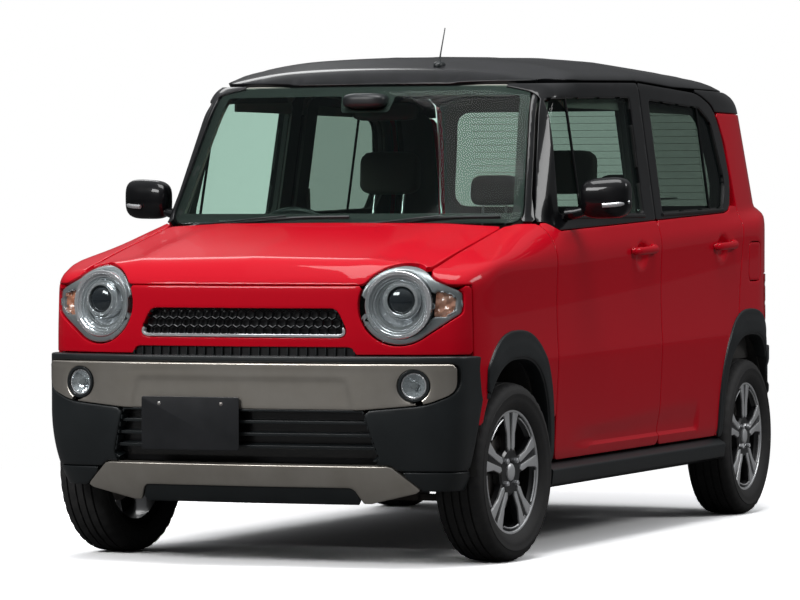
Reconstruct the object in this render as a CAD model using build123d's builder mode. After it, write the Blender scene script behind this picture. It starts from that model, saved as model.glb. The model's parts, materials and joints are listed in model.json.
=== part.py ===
"""A tall two-box kei car, built as an assembly of separate named pieces.

Frame: +X is the car's left side, +Y points to the rear, +Z is up. The origin is on the ground,
midway along the overall length. All sizes are in millimetres.

The painted body is the space shared by three extruded outlines: a cross-section, a side
silhouette and a plan. Panels are layers of that space, split where the real panels meet.
"""
from math import cos, radians, sin
import os

from build123d import *

os.makedirs("parts", exist_ok=True)

# ---------------------------------------------------------------- driving dimensions
LENGTH = 3395.0
WHEELBASE = 2425.0
FRONT_OVERHANG = 537.5
TRACK = 1290.0
ARCH_HALF_WIDTH = 737.5         # over the arch claddings
ROOF_TOP = 1638.0
SILL_BOTTOM = 215.0

TYRE_R = 281.0                  # mean of the free and the loaded radius
TYRE_W = 165.0
RIM_R = 206.0
RIM_W = 130.0                   # over the flanges
HUB_BORE_R = 27.0
STUD_PITCH_R = 50.0
STUD_R = 6.0

SHUT_GAP = 7.5                  # between a moving panel and its neighbours
SEAT_GAP = 0.3                  # between a fitted piece and its seat
DOOR_T = 58.0                   # whole door thickness
WALL_T = 88.0                   # body side, outer skin to inner trim
ROOF_T = 40.0
SKIN_T = 22.0                   # bonnet, wing and fascia with their inner frames
BUMPER_T = 50.0
GARNISH_T = 12.0
GLASS_T = 5.0
GLASS_INSET = 14.0              # pane below the outer skin
FLANGE = 32.0                   # door seal flange around each aperture
FLOOR_T = 16.0
FLOOR_Z, LOAD_FLOOR_Z = 262.0, 500.0
HOUSE_T = 12.0                  # wheel house wall

HALF_TRACK = TRACK / 2
FRONT_END = -LENGTH / 2
REAR_END = LENGTH / 2
FRONT_AXLE = FRONT_END + FRONT_OVERHANG
REAR_AXLE = FRONT_AXLE + WHEELBASE
HUB_Z = TYRE_R
PLATE_T = 3.0
PLATE_PAD_T = 8.0
BUMPER_FRONT = FRONT_END + PLATE_T + PLATE_PAD_T
BODY_REAR = REAR_END - 28.0

# ---------------------------------------------------------------- body outlines
# columns: height z, half-width x, corner radius
UNDER = -200.0                  # outlines run below the ground and are cut off at the sill
UPPER_SHARE = 0.6               # wall and door thickness at the cant rail, against the waist
SECTION = [
    (UNDER, 662.0, 0.0),
    (SILL_BOTTOM, 662.0, 8.0),
    (292.0, 706.0, 40.0),
    (620.0, 727.0, 900.0),
    (955.0, 729.0, 0.0),
    (1300.0, 729.0, 0.0),
    (1490.0, 660.0, 0.0),
]
# columns: half-width x, height z, at each y: bonnet, wing tops and shoulders up to the glass
SHOULDER = {
    -1720.0: [(0.0, 940.0), (570.0, 888.0), (645.0, 884.0), (690.0, 872.0), (727.0, 845.0), (745.0, 740.0)],
    -850.0: [(0.0, 1075.0), (570.0, 1066.0), (645.0, 1056.0), (684.0, 1015.0), (716.0, 925.0), (745.0, 790.0)],
    -600.0: [(0.0, 1130.0), (570.0, 1110.0), (650.0, 1092.0), (690.0, 1074.0), (722.0, 1020.0), (745.0, 870.0)],
    1700.0: [(0.0, 1130.0), (570.0, 1115.0), (650.0, 1098.0), (700.0, 1078.0), (728.0, 1036.0), (748.0, 890.0)],
}
# columns: half-width x and y at the waist, then x and y at the cant rail (glasshouse, front to rear)
WAIST_Z, RAIL_Z = 1069.0, 1508.0
PILLAR_ROW = 3                  # the rows before this one are the windscreen
GLASSHOUSE = [
    (0.0, -880.0, 0.0, -614.0),
    (350.0, -866.0, 315.0, -604.0),
    (616.0, -833.0, 549.0, -585.0),
    (645.0, -805.0, 606.0, -545.0),
    (668.0, -740.0, 622.0, -480.0),
    (690.0, -560.0, 636.0, -300.0),
    (703.0, -250.0, 645.0, -50.0),
    (708.0, 200.0, 648.0, 200.0),
    (708.0, 900.0, 648.0, 900.0),
    (700.0, 1250.0, 640.0, 1250.0),
    (680.0, 1480.0, 620.0, 1420.0),
    (620.0, 1600.0, 562.0, 1508.0),
    (0.0, 1652.0, 0.0, 1560.0),
]
# columns: half-width x, depth below the roof top, corner radius
ROOF_SECTION = [(600.0, 58.0, 70.0), (300.0, 8.0, 900.0)]

# columns: y, height z, corner radius (side silhouette, front to rear)
SILHOUETTE = [
    (FRONT_END + 20.0, UNDER, 0.0),
    (FRONT_END + 20.0, 740.0, 60.0),
    (FRONT_END + 37.0, 868.0, 60.0),
    (FRONT_END + 112.0, 948.0, 90.0),
    (-1250.0, 1010.0, 900.0),
    (-925.0, 1060.0, 12.0),
    (-660.0, 1500.0, 0.0),
    (-520.0, 1575.0, 90.0),
    (-300.0, 1620.0, 400.0),
    (350.0, ROOF_TOP, 3000.0),
    (1150.0, 1618.0, 900.0),
    (1508.0, 1572.0, 70.0),
    (1575.0, 1400.0, 200.0),
    (1628.0, 1085.0, 60.0),
    (BODY_REAR, 1010.0, 80.0),
    (BODY_REAR, UNDER, 0.0),
]
# columns: half-width x, y, corner radius (plan of the painted body, left half, front to rear)
PLAN = [
    (0.0, FRONT_END + 20.0, 0.0),
    (400.0, FRONT_END + 48.0, 900.0),
    (560.0, FRONT_END + 88.0, 300.0),
    (690.0, FRONT_END + 148.0, 120.0),
    (729.0, FRONT_END + 300.0, 300.0),
    (729.0, 1380.0, 300.0),
    (690.0, 1560.0, 130.0),
    (560.0, BODY_REAR - 12.0, 160.0),
    (0.0, BODY_REAR, 0.0),
]
# columns: half-width x, y, corner radius (plan of the front bumper)
BUMPER_PLAN = [
    (0.0, BUMPER_FRONT, 0.0),
    (400.0, BUMPER_FRONT + 18.0, 900.0),
    (600.0, BUMPER_FRONT + 52.0, 300.0),
    (700.0, BUMPER_FRONT + 95.0, 90.0),
    (ARCH_HALF_WIDTH - 4.0, BUMPER_FRONT + 250.0, 200.0),
    (ARCH_HALF_WIDTH - 4.0, -1300.0, 0.0),
    (0.0, -1300.0, 0.0),
]
# columns: half-width x, y, corner radius (plan of the rear bumper)
REAR_BUMPER_PLAN = [
    (0.0, REAR_END, 0.0),
    (520.0, REAR_END - 12.0, 500.0),
    (690.0, REAR_END - 70.0, 110.0),
    (ARCH_HALF_WIDTH - 4.0, REAR_END - 210.0, 150.0),
    (ARCH_HALF_WIDTH - 4.0, 1400.0, 0.0),
    (0.0, 1400.0, 0.0),
]

# ---------------------------------------------------------------- side-view outlines (y, z, r)
B_LINE = 258.0
FRONT_DOOR = [
    (-792.0, 296.0, 40.0), (-792.0, 1050.0, 60.0), (-757.0, 1156.0, 300.0),
    (-633.0, 1477.0, 50.0), (-570.0, 1520.0, 60.0), (B_LINE, 1540.0, 20.0), (B_LINE, 296.0, 30.0),
]
REAR_DOOR = [
    (B_LINE, 296.0, 30.0), (B_LINE, 1540.0, 20.0), (900.0, 1518.0, 500.0), (1080.0, 1470.0, 160.0),
    (1160.0, 1330.0, 120.0), (1196.0, 1110.0, 200.0), (1176.0, 930.0, 300.0), (1135.0, 740.0, 100.0),
    (1135.0, 520.0, 0.0), (900.0, 296.0, 0.0),
]
FRONT_WINDOW = [
    (-640.0, 1086.0, 25.0), (-562.0, 1468.0, 30.0), (150.0, 1486.0, 18.0), (140.0, 1088.0, 18.0),
]
REAR_WINDOW = [
    (340.0, 1092.0, 18.0), (346.0, 1482.0, 18.0), (900.0, 1466.0, 60.0), (1020.0, 1418.0, 90.0),
    (1100.0, 1200.0, 90.0), (1040.0, 1108.0, 40.0),
]
QUARTER_BAR_Y, QUARTER_BAR_W = 880.0, 40.0
FUEL_LID = [(1262.0, 845.0, 25.0), (1262.0, 985.0, 25.0), (1402.0, 985.0, 25.0), (1402.0, 845.0, 25.0)]

# wheel arch: half-width and height above the hub
ARCH_A, FRONT_ARCH_B, REAR_ARCH_B = 303.0, 356.0, 372.0
ARCH_EDGE_A, FRONT_EDGE_B, REAR_EDGE_B = 348.0, 447.0, 466.0
HOUSE_A, HOUSE_RISE = 318.0, 16.0  # wheel house half-length, and its height above the arch

# front and rear view outlines (x, z, r), right half mirrored
WINDSCREEN = [(620.0, 1058.0, 40.0), (550.0, 1512.0, 50.0)]
REAR_WINDOW_BACK = [(545.0, 1110.0, 60.0), (500.0, 1480.0, 70.0)]
TAILGATE = [(565.0, 610.0, 50.0), (612.0, 1000.0, 60.0), (585.0, 1500.0, 60.0), (560.0, 1750.0, 0.0)]
SKID = [(400.0, 196.0, 30.0), (556.0, 232.0, 20.0), (492.0, 318.0, 10.0)]
GRILLE = [(357.0, 712.0, 25.0), (312.0, 799.0, 30.0)]
LOWER_GRILLE = [(452.0, 330.0, 20.0), (405.0, 488.0, 10.0)]
GARNISH = [(400.0, 490.0, 200.0), (625.0, 520.0, 80.0), (712.0, 575.0, 60.0), (704.0, 632.0, 20.0)]
TAIL_LAMP = [(640.0, 650.0, 20.0), (640.0, 868.0, 20.0), (760.0, 868.0, 0.0), (760.0, 650.0, 0.0)]

LAMP_X, LAMP_Z, LAMP_R, LAMP_DEPTH = 507.0, 812.0, 124.0, 70.0
LAMP_TIP = [(520.0, 918.0), (684.0, 850.0), (684.0, 786.0), (560.0, 705.0)]
FOG_X, FOG_Z, FOG_R, FOG_DEPTH = 563.0, 566.0, 50.0, 45.0
GRILLE_T = 16.0

BONNET_REAR, BONNET_HALF_FRONT, BONNET_HALF_REAR = -925.0, 575.0, 592.0
FASCIA_TOP, FASCIA_BOTTOM, FASCIA_SIDE_END = 870.0, 655.0, -1500.0
WING_REAR = FRONT_DOOR[0][0] - SHUT_GAP / 2
HINGE_PILLAR_FRONT, PILLAR_FOOT = -825.0, 1064.0
HEADER_HALF, HEADER_REAR = 548.0, -380.0
ROOF_SPLIT = 1546.0             # seam between the body side and the roof
TAILGATE_FRONT = 1400.0         # seam across the roof
ROOF_SEAM_GAP = SHUT_GAP + 2.0

PLATE_W, PLATE_H, PLATE_X, PLATE_Z = 330.0, 165.0, -160.0, 444.0
REAR_PLATE_Z = 760.0
PLATE_HOLE_PITCH, PLATE_HOLE_R, PLATE_HOLE_DROP = 210.0, 3.5, 22.0

KINGPIN_X, REST_STEER = 608.0, -5.0
FRONT_HOUSE_X, REAR_HOUSE_X = 396.0, 520.0

DOOR_HINGE_X, DOOR_HINGE_BACK, REBATE_GAP = 715.5, 52.0, 12.0
HINGE_HEIGHTS, HINGE_HALF, BARREL_R, HINGE_PIN_R = (640.0, 900.0), 25.0, 5.5, 3.5
HINGE_RELIEF_T, HINGE_SKIN_T = 24.0, 3.5  # door thickness forward of its hinge axis, and over a hinge
PIN_FIT = 0.08                  # running fit of pins and stubs
PILLAR_W = 14.0                 # windscreen pillar between the glass and the door
BONNET_HINGE_Y, BONNET_HINGE_Z, BONNET_REAR_GAP = -975.0, 1027.0, 12.0
TAILGATE_HINGE_X, TAILGATE_HINGE_BACK, TAILGATE_HINGE_DROP = 370.0, 26.0, 11.0
STRAP_CLEAR = 6.0               # the tailgate's skin stops this far ahead of its hinge axis over a strap
LID_PIN_R, LID_T = 2.0, 12.0
BULKHEAD_Y, BULKHEAD_TOP, BONNET_TOP = -812.0, 1010.0, 1062.0
COWL_Z, COWL_FRONT, COWL_HALF = 1040.0, BONNET_REAR + BONNET_REAR_GAP, BONNET_HALF_REAR + 7.0

BIG = 4000.0


# ---------------------------------------------------------------- outline helpers
def rounded(points):
    """Makes a face from a closed outline of (u, v, radius) rows."""
    with BuildLine() as outline:
        FilletPolyline([(u, v) for u, v, _ in points], radius=[r for *_, r in points], close=True)
    make_face(outline.edges())


def both_halves(points):
    """Mirrors the (x, v, r) rows of one half about x = 0."""
    return points + [(-x, v, r) for x, v, r in reversed(points) if x > 0]


def section_points():
    """Cross-section rows as a closed (x, z, r) outline."""
    side = [(x, z, r) for z, x, r in SECTION]
    top = [(x, ROOF_TOP - drop, r) for x, drop, r in ROOF_SECTION]
    return both_halves(side + top + [(0.0, ROOF_TOP + 6.0, 0.0)])


def side_points(side_t):
    """The lower body sides alone, moved in by side_t and carried straight up."""
    rows = [(x - side_t, z, r) for z, x, r in SECTION[:5]]
    return both_halves(rows + [(SECTION[4][1] - side_t, BIG / 2, 0.0)])


def prism(plane, points, length, grow=0.0):
    """An outline on a plane, grown by grow and extruded by length."""
    with BuildPart() as solid:
        with BuildSketch(plane):
            rounded(points)
            if grow:
                offset(amount=grow, kind=Kind.INTERSECTION)
        extrude(amount=length)
    return solid.part


def along_x(points, x0=-BIG / 4, x1=BIG / 4, grow=0.0):
    """A side-view outline of (y, z, r) rows between two values of x."""
    return prism(Plane.YZ.offset(x0), points, x1 - x0, grow)


def along_y(points, y0=-BIG / 2, y1=BIG / 2, grow=0.0):
    """A front-view outline of (x, z, r) rows between two values of y."""
    return prism(Plane.XZ.offset(-y1), points, y1 - y0, grow)


def along_z(points, z0=0.0, z1=BIG / 2, grow=0.0):
    """A plan outline of (x, y, r) rows between two values of z."""
    return prism(Plane.XY.offset(z0), points, z1 - z0, grow)


def block(x0, x1, y0, y1, z0, z1):
    """A block between two corners."""
    with BuildPart(Plane.XY.offset(z0)) as solid:
        with Locations(((x0 + x1) / 2, (y0 + y1) / 2)):
            Box(x1 - x0, y1 - y0, z1 - z0, align=(Align.CENTER, Align.CENTER, Align.MIN))
    return solid.part


def rod(plane, radius, length):
    """A cylinder that stands on a plane."""
    with BuildPart(plane) as solid:
        Cylinder(radius, length, align=(Align.CENTER, Align.CENTER, Align.MIN))
    return solid.part


def rod_x(y, z, radius, x0, x1):
    """A cylinder along X."""
    return rod(Plane((x0, y, z), x_dir=(0, 1, 0), z_dir=(1, 0, 0)), radius, x1 - x0)


def rod_y(x, z, radius, y0, y1):
    """A cylinder along Y."""
    return rod(Plane((x, y0, z), x_dir=(0, 0, 1), z_dir=(0, 1, 0)), radius, y1 - y0)


def rod_z(x, y, radius, z0, z1):
    """A cylinder along Z."""
    return rod(Plane((x, y, z0)), radius, z1 - z0)


def arch(y, a, b, x0=-BIG / 4, x1=BIG / 4):
    """A wheel arch opening: a half ellipse on the hub line with straight sides below it."""
    with BuildPart() as opening:
        with BuildSketch(Plane.YZ.offset(x0)):
            with Locations((y, HUB_Z)):
                Ellipse(a, b)
            with Locations((y, HUB_Z / 2 - 50)):
                Rectangle(2 * a, HUB_Z + 100)
        extrude(amount=x1 - x0)
    return opening.part


def glasshouse(t, rows, z0=940.0, z1=1700.0):
    """The space above the waist between rows, moved in by t at the waist and by less at the rail."""
    with BuildPart() as space:
        for z in (z0, z1):
            share = (z - WAIST_Z) / (RAIL_Z - WAIST_Z)
            outline = [(x0 + (x1 - x0) * share, y0 + (y1 - y0) * share, 0.0) for x0, y0, x1, y1 in rows]
            with BuildSketch(Plane.XY.offset(z)):
                rounded(both_halves(outline))
                if t:
                    offset(amount=-t * (1 - (1 - UPPER_SHARE) * share), kind=Kind.INTERSECTION)
        loft(ruled=True)
    return space.part


def shoulder(t):
    """The space under the bonnet, the wing tops and the shoulders, moved in by t."""
    with BuildPart() as space:
        for y, rows in SHOULDER.items():
            with BuildSketch(Plane.XZ.offset(-y)):
                rounded(both_halves([(rows[-1][0], UNDER, 0.0)] + [(x, z, 0.0) for x, z in reversed(rows)]))
                if t:
                    offset(amount=-t, kind=Kind.INTERSECTION)
        loft(ruled=True)
    return space.part


def body_space(side_t=0.0, roof_t=0.0, end_t=0.0):
    """The painted body's space, moved in by a thickness at the sides, the top and the ends."""
    with BuildPart() as space:
        add(glasshouse(side_t, GLASSHOUSE))
        add(shoulder(roof_t))
        add(along_y(section_points(), grow=-roof_t), mode=Mode.INTERSECT)
        add(along_x(SILHOUETTE, grow=-roof_t), mode=Mode.INTERSECT)
        add(along_z(both_halves(PLAN), UNDER, grow=-end_t), mode=Mode.INTERSECT)
        if side_t > roof_t:
            add(along_y(side_points(side_t)), mode=Mode.INTERSECT)
    return space.part


def side_space(t):
    """The space between the body sides alone, moved in by t."""
    x0, y0, x1, y1 = GLASSHOUSE[PILLAR_ROW]
    ahead = -1500.0
    with BuildPart() as space:
        add(glasshouse(t, [(x0, ahead, x1, ahead)] + GLASSHOUSE[PILLAR_ROW:]))
        add(shoulder(t))
        add(along_y(side_points(t)), mode=Mode.INTERSECT)
    return space.part


def bumper_space(plan, t=0.0):
    """Space inside a bumper's plan outline, moved in by t, with tucked-in lower edges."""
    sides = [(640.0 - t, 190.0, 0.0), (640.0 - t, 235.0, 10.0), (ARCH_HALF_WIDTH - 34.0 - t, 330.0, 60.0),
             (ARCH_HALF_WIDTH - 4.0 - t, 480.0, 80.0), (ARCH_HALF_WIDTH - 4.0 - t, 760.0, 0.0)]
    with BuildPart() as space:
        add(along_z(both_halves(plan), 190, 760, grow=-t))
        add(along_y(both_halves(sides)), mode=Mode.INTERSECT)
    return space.part


def lamp_space(grow=0.0):
    """The room of the left headlamp down to its back, grown by a gap."""
    return lamp_outline(grow) - along_z(both_halves(PLAN), UNDER, grow=-LAMP_DEPTH - grow)


def lamp_outline(grow=0.0):
    """Left headlamp outline: a round lamp with an indicator lobe towards the wing."""
    lobe = [(LAMP_X, LAMP_Z - LAMP_R + 20, 0), (LAMP_X, LAMP_Z + LAMP_R - 20, 0)] + [(x, z, 0) for x, z in LAMP_TIP]
    with BuildPart() as outline:
        add(rod_y(LAMP_X, LAMP_Z, LAMP_R + grow, -1800, -1350))
        add(along_y(lobe, -1800, -1350, grow=grow))
    return outline.part


def bonnet_zone(grow=0.0):
    """The bonnet's plan as a prism above its front shut line."""
    plan = [(BONNET_HALF_FRONT, FRONT_END - 40.0, 0.0), (BONNET_HALF_FRONT, -1540.0, 0.0),
            (BONNET_HALF_REAR, BONNET_REAR, 20.0)]
    return along_z(both_halves(plan), FASCIA_TOP + SHUT_GAP - grow, 1100, grow=grow)


def largest(shape):
    """The largest solid of a result."""
    return shape.solids().sort_by(SortBy.VOLUME)[-1]


def mirror_x(shape):
    """The same shape on the other side of the car."""
    return mirror(shape, about=Plane.YZ, mode=Mode.PRIVATE)


def write(name, *solids):
    """Labels a finished piece and writes it as its own STEP file."""
    piece = Part(list(solids)) if len(solids) > 1 else solids[0]
    piece.label = name
    export_step(piece, f"parts/{name}.step")


# ---------------------------------------------------------------- shared spaces
OUTER = body_space() & block(-BIG / 4, BIG / 4, -BIG / 2, BIG / 2, SILL_BOTTOM, BIG / 2)
SKIN_IN = body_space(SKIN_T, SKIN_T, SKIN_T)
SKIN_SEAT = body_space(SKIN_T + SEAT_GAP, SKIN_T + SEAT_GAP, SKIN_T + SEAT_GAP)
DOOR_IN = side_space(DOOR_T)
LID_IN = body_space(DOOR_T, ROOF_T, DOOR_T)
REBATE_IN = side_space(DOOR_T + REBATE_GAP)
RELIEF_IN = side_space(HINGE_RELIEF_T)
HINGE_SKIN_IN = side_space(HINGE_SKIN_T)
CABIN = body_space(WALL_T, ROOF_T, WALL_T) & side_space(WALL_T)
CABIN_SIDE = side_space(WALL_T + SEAT_GAP) & along_z(both_halves(PLAN), UNDER, grow=-WALL_T - SEAT_GAP)
GLASS_OUT = body_space(GLASS_INSET, GLASS_INSET, GLASS_INSET)
GLASS_IN = body_space(GLASS_INSET + GLASS_T, GLASS_INSET + GLASS_T, GLASS_INSET + GLASS_T)
SIDE_GLASS_OUT = side_space(GLASS_INSET)
SIDE_GLASS_IN = side_space(GLASS_INSET + GLASS_T)
WINDSCREEN_ZONE = along_y(both_halves(WINDSCREEN), -1100, HEADER_REAR)
PILLAR_CORE = along_y(both_halves(WINDSCREEN), -1100, HEADER_REAR, grow=PILLAR_W)
TAILGATE_CUT = along_y(both_halves(TAILGATE), TAILGATE_FRONT - ROOF_SEAM_GAP / 2, BIG / 2, grow=SHUT_GAP)
HEADER = block(-HEADER_HALF, HEADER_HALF, -700, HEADER_REAR, 1400, BIG / 2)

DOOR_HINGE_YS = (FRONT_DOOR[0][0] + SHUT_GAP / 2 + DOOR_HINGE_BACK, B_LINE + SHUT_GAP / 2 + DOOR_HINGE_BACK)


def hinge_pockets(hinge_y):
    """The room that a door leaves for the fixed halves of its hinges."""
    with BuildPart() as pockets:
        for hinge_z in HINGE_HEIGHTS:
            add(block(0, BIG / 4, hinge_y - 200, hinge_y + BARREL_R + 2.5, hinge_z - 32, hinge_z + 32))
        add(HINGE_SKIN_IN, mode=Mode.INTERSECT)
    return pockets.part


def hinge_pins(hinge_y):
    """The pins that join a door to its hinges."""
    with BuildPart() as pins:
        for hinge_z in HINGE_HEIGHTS:
            add(rod_z(DOOR_HINGE_X, hinge_y, HINGE_PIN_R, hinge_z - 36, hinge_z + 36))
    return pins.part


# ---------------------------------------------------------------- body sides and roof
with BuildPart() as side_panel_right_hand:
    add(OUTER)
    add(CABIN, mode=Mode.SUBTRACT)
    add(block(300, BIG / 4, -905, BIG / 2, SILL_BOTTOM, ROOF_SPLIT), mode=Mode.INTERSECT)
    for outline in (FRONT_DOOR, REAR_DOOR):
        add(along_x(outline, grow=SHUT_GAP / 2) - REBATE_IN - PILLAR_CORE, mode=Mode.SUBTRACT)
        add(along_x(outline, grow=-FLANGE), mode=Mode.SUBTRACT)
    add(arch(REAR_AXLE, HOUSE_A + HOUSE_T, REAR_ARCH_B + HOUSE_RISE + HOUSE_T), mode=Mode.SUBTRACT)
    add(WINDSCREEN_ZONE, mode=Mode.SUBTRACT)
    add(TAILGATE_CUT, mode=Mode.SUBTRACT)
    add(HEADER, mode=Mode.SUBTRACT)
    add(block(0, BIG / 4, -BIG / 2, HINGE_PILLAR_FRONT, 0, PILLAR_FOOT), mode=Mode.SUBTRACT)
    add(block(0, BIG / 4, -BIG / 2, WING_REAR, 0, PILLAR_FOOT) - SKIN_SEAT, mode=Mode.SUBTRACT)
    add(along_y(TAIL_LAMP, 1480, BIG / 2, grow=SEAT_GAP), mode=Mode.SUBTRACT)
    add(block(0, BIG / 4, 1400, BIG / 2, 0, 640), mode=Mode.SUBTRACT)
    for hinge_y in DOOR_HINGE_YS:
        for hinge_z in HINGE_HEIGHTS:
            add(block(645, 664, hinge_y - 60, hinge_y + 5, hinge_z - HINGE_HALF, hinge_z + HINGE_HALF))
            add(block(655, DOOR_HINGE_X, hinge_y - 5, hinge_y + 5, hinge_z - HINGE_HALF, hinge_z + HINGE_HALF))
            add(rod_z(DOOR_HINGE_X, hinge_y, BARREL_R, hinge_z - HINGE_HALF, hinge_z + HINGE_HALF))
            add(rod_z(DOOR_HINGE_X, hinge_y, HINGE_PIN_R + PIN_FIT, hinge_z - 40, hinge_z + 40), mode=Mode.SUBTRACT)
    add(block(0, COWL_HALF + SEAT_GAP, COWL_FRONT - SHUT_GAP, BULKHEAD_Y + SEAT_GAP, BULKHEAD_TOP, BONNET_TOP),
        mode=Mode.SUBTRACT)

(LID_FRONT, LID_LOW, _), _, (_, LID_TOP, _), _ = FUEL_LID
LID_HINGE_Y, LID_HINGE_X = LID_FRONT + SHUT_GAP / 2 + 10.0, 725.0
with BuildPart() as side_panel_left_hand:
    add(largest(side_panel_right_hand.part))
    add(along_x(FUEL_LID, 600, BIG / 4, grow=SHUT_GAP / 2) - side_space(45), mode=Mode.SUBTRACT)
    for z in (LID_LOW - SHUT_GAP, LID_TOP - SHUT_GAP / 2 - 8):
        add(rod_z(LID_HINGE_X, LID_HINGE_Y, LID_PIN_R, z, z + 8 + SHUT_GAP * 1.5))

with BuildPart() as fuel_lid:
    add(OUTER)
    add(side_space(LID_T), mode=Mode.SUBTRACT)
    add(along_x(FUEL_LID, 600, BIG / 4, grow=-SHUT_GAP / 2), mode=Mode.INTERSECT)
    add(rod_z(LID_HINGE_X, LID_HINGE_Y, LID_PIN_R + PIN_FIT, LID_LOW - 20, LID_TOP + 20), mode=Mode.SUBTRACT)

TAILGATE_HINGE_Y = TAILGATE_FRONT + TAILGATE_HINGE_BACK
HINGE_COLUMN = OUTER & block(TAILGATE_HINGE_X - 20, TAILGATE_HINGE_X + 20, TAILGATE_HINGE_Y - 5,
                             TAILGATE_HINGE_Y + 5, RAIL_Z, BIG / 2)
TAILGATE_HINGE_Z = round(HINGE_COLUMN.bounding_box().max.Z) - TAILGATE_HINGE_DROP
with BuildPart() as roof_panel:
    add(OUTER)
    add(CABIN, mode=Mode.SUBTRACT)
    add(block(-BIG / 4, BIG / 4, -700, TAILGATE_FRONT - ROOF_SEAM_GAP / 2, ROOF_SPLIT + SEAT_GAP, BIG / 2)
        + block(-HEADER_HALF + SEAT_GAP, HEADER_HALF - SEAT_GAP, -700, HEADER_REAR - SEAT_GAP, 1400, BIG / 2),
        mode=Mode.INTERSECT)
    add(WINDSCREEN_ZONE, mode=Mode.SUBTRACT)
    for hinge_x in (-TAILGATE_HINGE_X, TAILGATE_HINGE_X):
        add(block(hinge_x - 20, hinge_x + 20, TAILGATE_FRONT - 20, TAILGATE_HINGE_Y + 5,
                  TAILGATE_HINGE_Z - 26, TAILGATE_HINGE_Z - 14))
        add(block(hinge_x - 20, hinge_x + 20, TAILGATE_HINGE_Y - 5, TAILGATE_HINGE_Y + 5,
                  TAILGATE_HINGE_Z - 26, TAILGATE_HINGE_Z))
        add(rod_x(TAILGATE_HINGE_Y, TAILGATE_HINGE_Z, BARREL_R, hinge_x - 20, hinge_x + 20))
        add(rod_x(TAILGATE_HINGE_Y, TAILGATE_HINGE_Z, HINGE_PIN_R + PIN_FIT, hinge_x - 30, hinge_x + 30),
            mode=Mode.SUBTRACT)

write("side_panel_left", largest(side_panel_left_hand.part))
write("side_panel_right", mirror_x(largest(side_panel_right_hand.part)))
write("fuel_lid", fuel_lid.part)
write("roof_panel", largest(roof_panel.part))

# ---------------------------------------------------------------- doors and side glass
LEAN = 14.0
QUARTER_BAR = [(QUARTER_BAR_Y, 1000.0, 0), (QUARTER_BAR_Y - LEAN, 1600.0, 0),
               (QUARTER_BAR_Y - LEAN + QUARTER_BAR_W, 1600.0, 0), (QUARTER_BAR_Y + QUARTER_BAR_W, 1000.0, 0)]

with BuildPart() as front_door:
    add(along_x(FRONT_DOOR, 300, BIG / 4, grow=-SHUT_GAP / 2))
    add(OUTER, mode=Mode.INTERSECT)
    add(DOOR_IN, mode=Mode.SUBTRACT)
    add(along_x(FRONT_WINDOW), mode=Mode.SUBTRACT)
    add(RELIEF_IN & block(0, BIG / 4, -BIG / 2, DOOR_HINGE_YS[0], 0, BIG / 2), mode=Mode.SUBTRACT)
    add(along_y(both_halves(WINDSCREEN), -1100, HEADER_REAR, grow=PILLAR_W + SHUT_GAP), mode=Mode.SUBTRACT)
    add(hinge_pockets(DOOR_HINGE_YS[0]), mode=Mode.SUBTRACT)
    add(hinge_pins(DOOR_HINGE_YS[0]))

with BuildPart() as rear_door:
    add(along_x(REAR_DOOR, 300, BIG / 4, grow=-SHUT_GAP / 2))
    add(OUTER, mode=Mode.INTERSECT)
    add(DOOR_IN, mode=Mode.SUBTRACT)
    add(along_x(REAR_WINDOW) - (along_x(QUARTER_BAR) - side_space(GLASS_INSET + GLASS_T)), mode=Mode.SUBTRACT)
    add(arch(REAR_AXLE, HOUSE_A + HOUSE_T + SHUT_GAP, REAR_ARCH_B + HOUSE_RISE + HOUSE_T + SHUT_GAP),
        mode=Mode.SUBTRACT)
    add(RELIEF_IN & block(0, BIG / 4, -BIG / 2, DOOR_HINGE_YS[1], 0, BIG / 2), mode=Mode.SUBTRACT)
    add(hinge_pockets(DOOR_HINGE_YS[1]), mode=Mode.SUBTRACT)
    add(hinge_pins(DOOR_HINGE_YS[1]))

with BuildPart() as front_pane:
    add(along_x(FRONT_WINDOW, 300, BIG / 4, grow=-SEAT_GAP))
    add(SIDE_GLASS_OUT, mode=Mode.INTERSECT)
    add(SIDE_GLASS_IN, mode=Mode.SUBTRACT)

with BuildPart() as rear_panes:
    add(along_x(REAR_WINDOW, 300, BIG / 4, grow=-SEAT_GAP))
    add(SIDE_GLASS_OUT, mode=Mode.INTERSECT)
    add(SIDE_GLASS_IN, mode=Mode.SUBTRACT)
    add(along_x(QUARTER_BAR, grow=SEAT_GAP), mode=Mode.SUBTRACT)

MIRROR_INNER_X, MIRROR_OUTER_X = 738.0, 897.0
with BuildPart() as door_mirror:
    with BuildSketch(Plane.XZ.offset(545)):
        with Locations(((MIRROR_INNER_X + MIRROR_OUTER_X) / 2, 1146)):
            RectangleRounded(MIRROR_OUTER_X - MIRROR_INNER_X, 132, 45)
    extrude(amount=62)
    fillet(door_mirror.faces().sort_by(Axis.Y)[0].edges(), 26)
    add(block(650, MIRROR_INNER_X + 20, -598, -560, 1080, 1104))
    add(OUTER, mode=Mode.SUBTRACT)

for side, flip in (("left", False), ("right", True)):
    for name, solids in (("front_door", [largest(front_door.part)]), ("rear_door", [largest(rear_door.part)]),
                         ("front_door_glass", front_pane.solids()), ("rear_door_glass", rear_panes.solids()),
                         ("door_mirror", [largest(door_mirror.part)])):
        write(f"{name}_{side}", *[mirror_x(s) if flip else s for s in solids])

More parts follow.
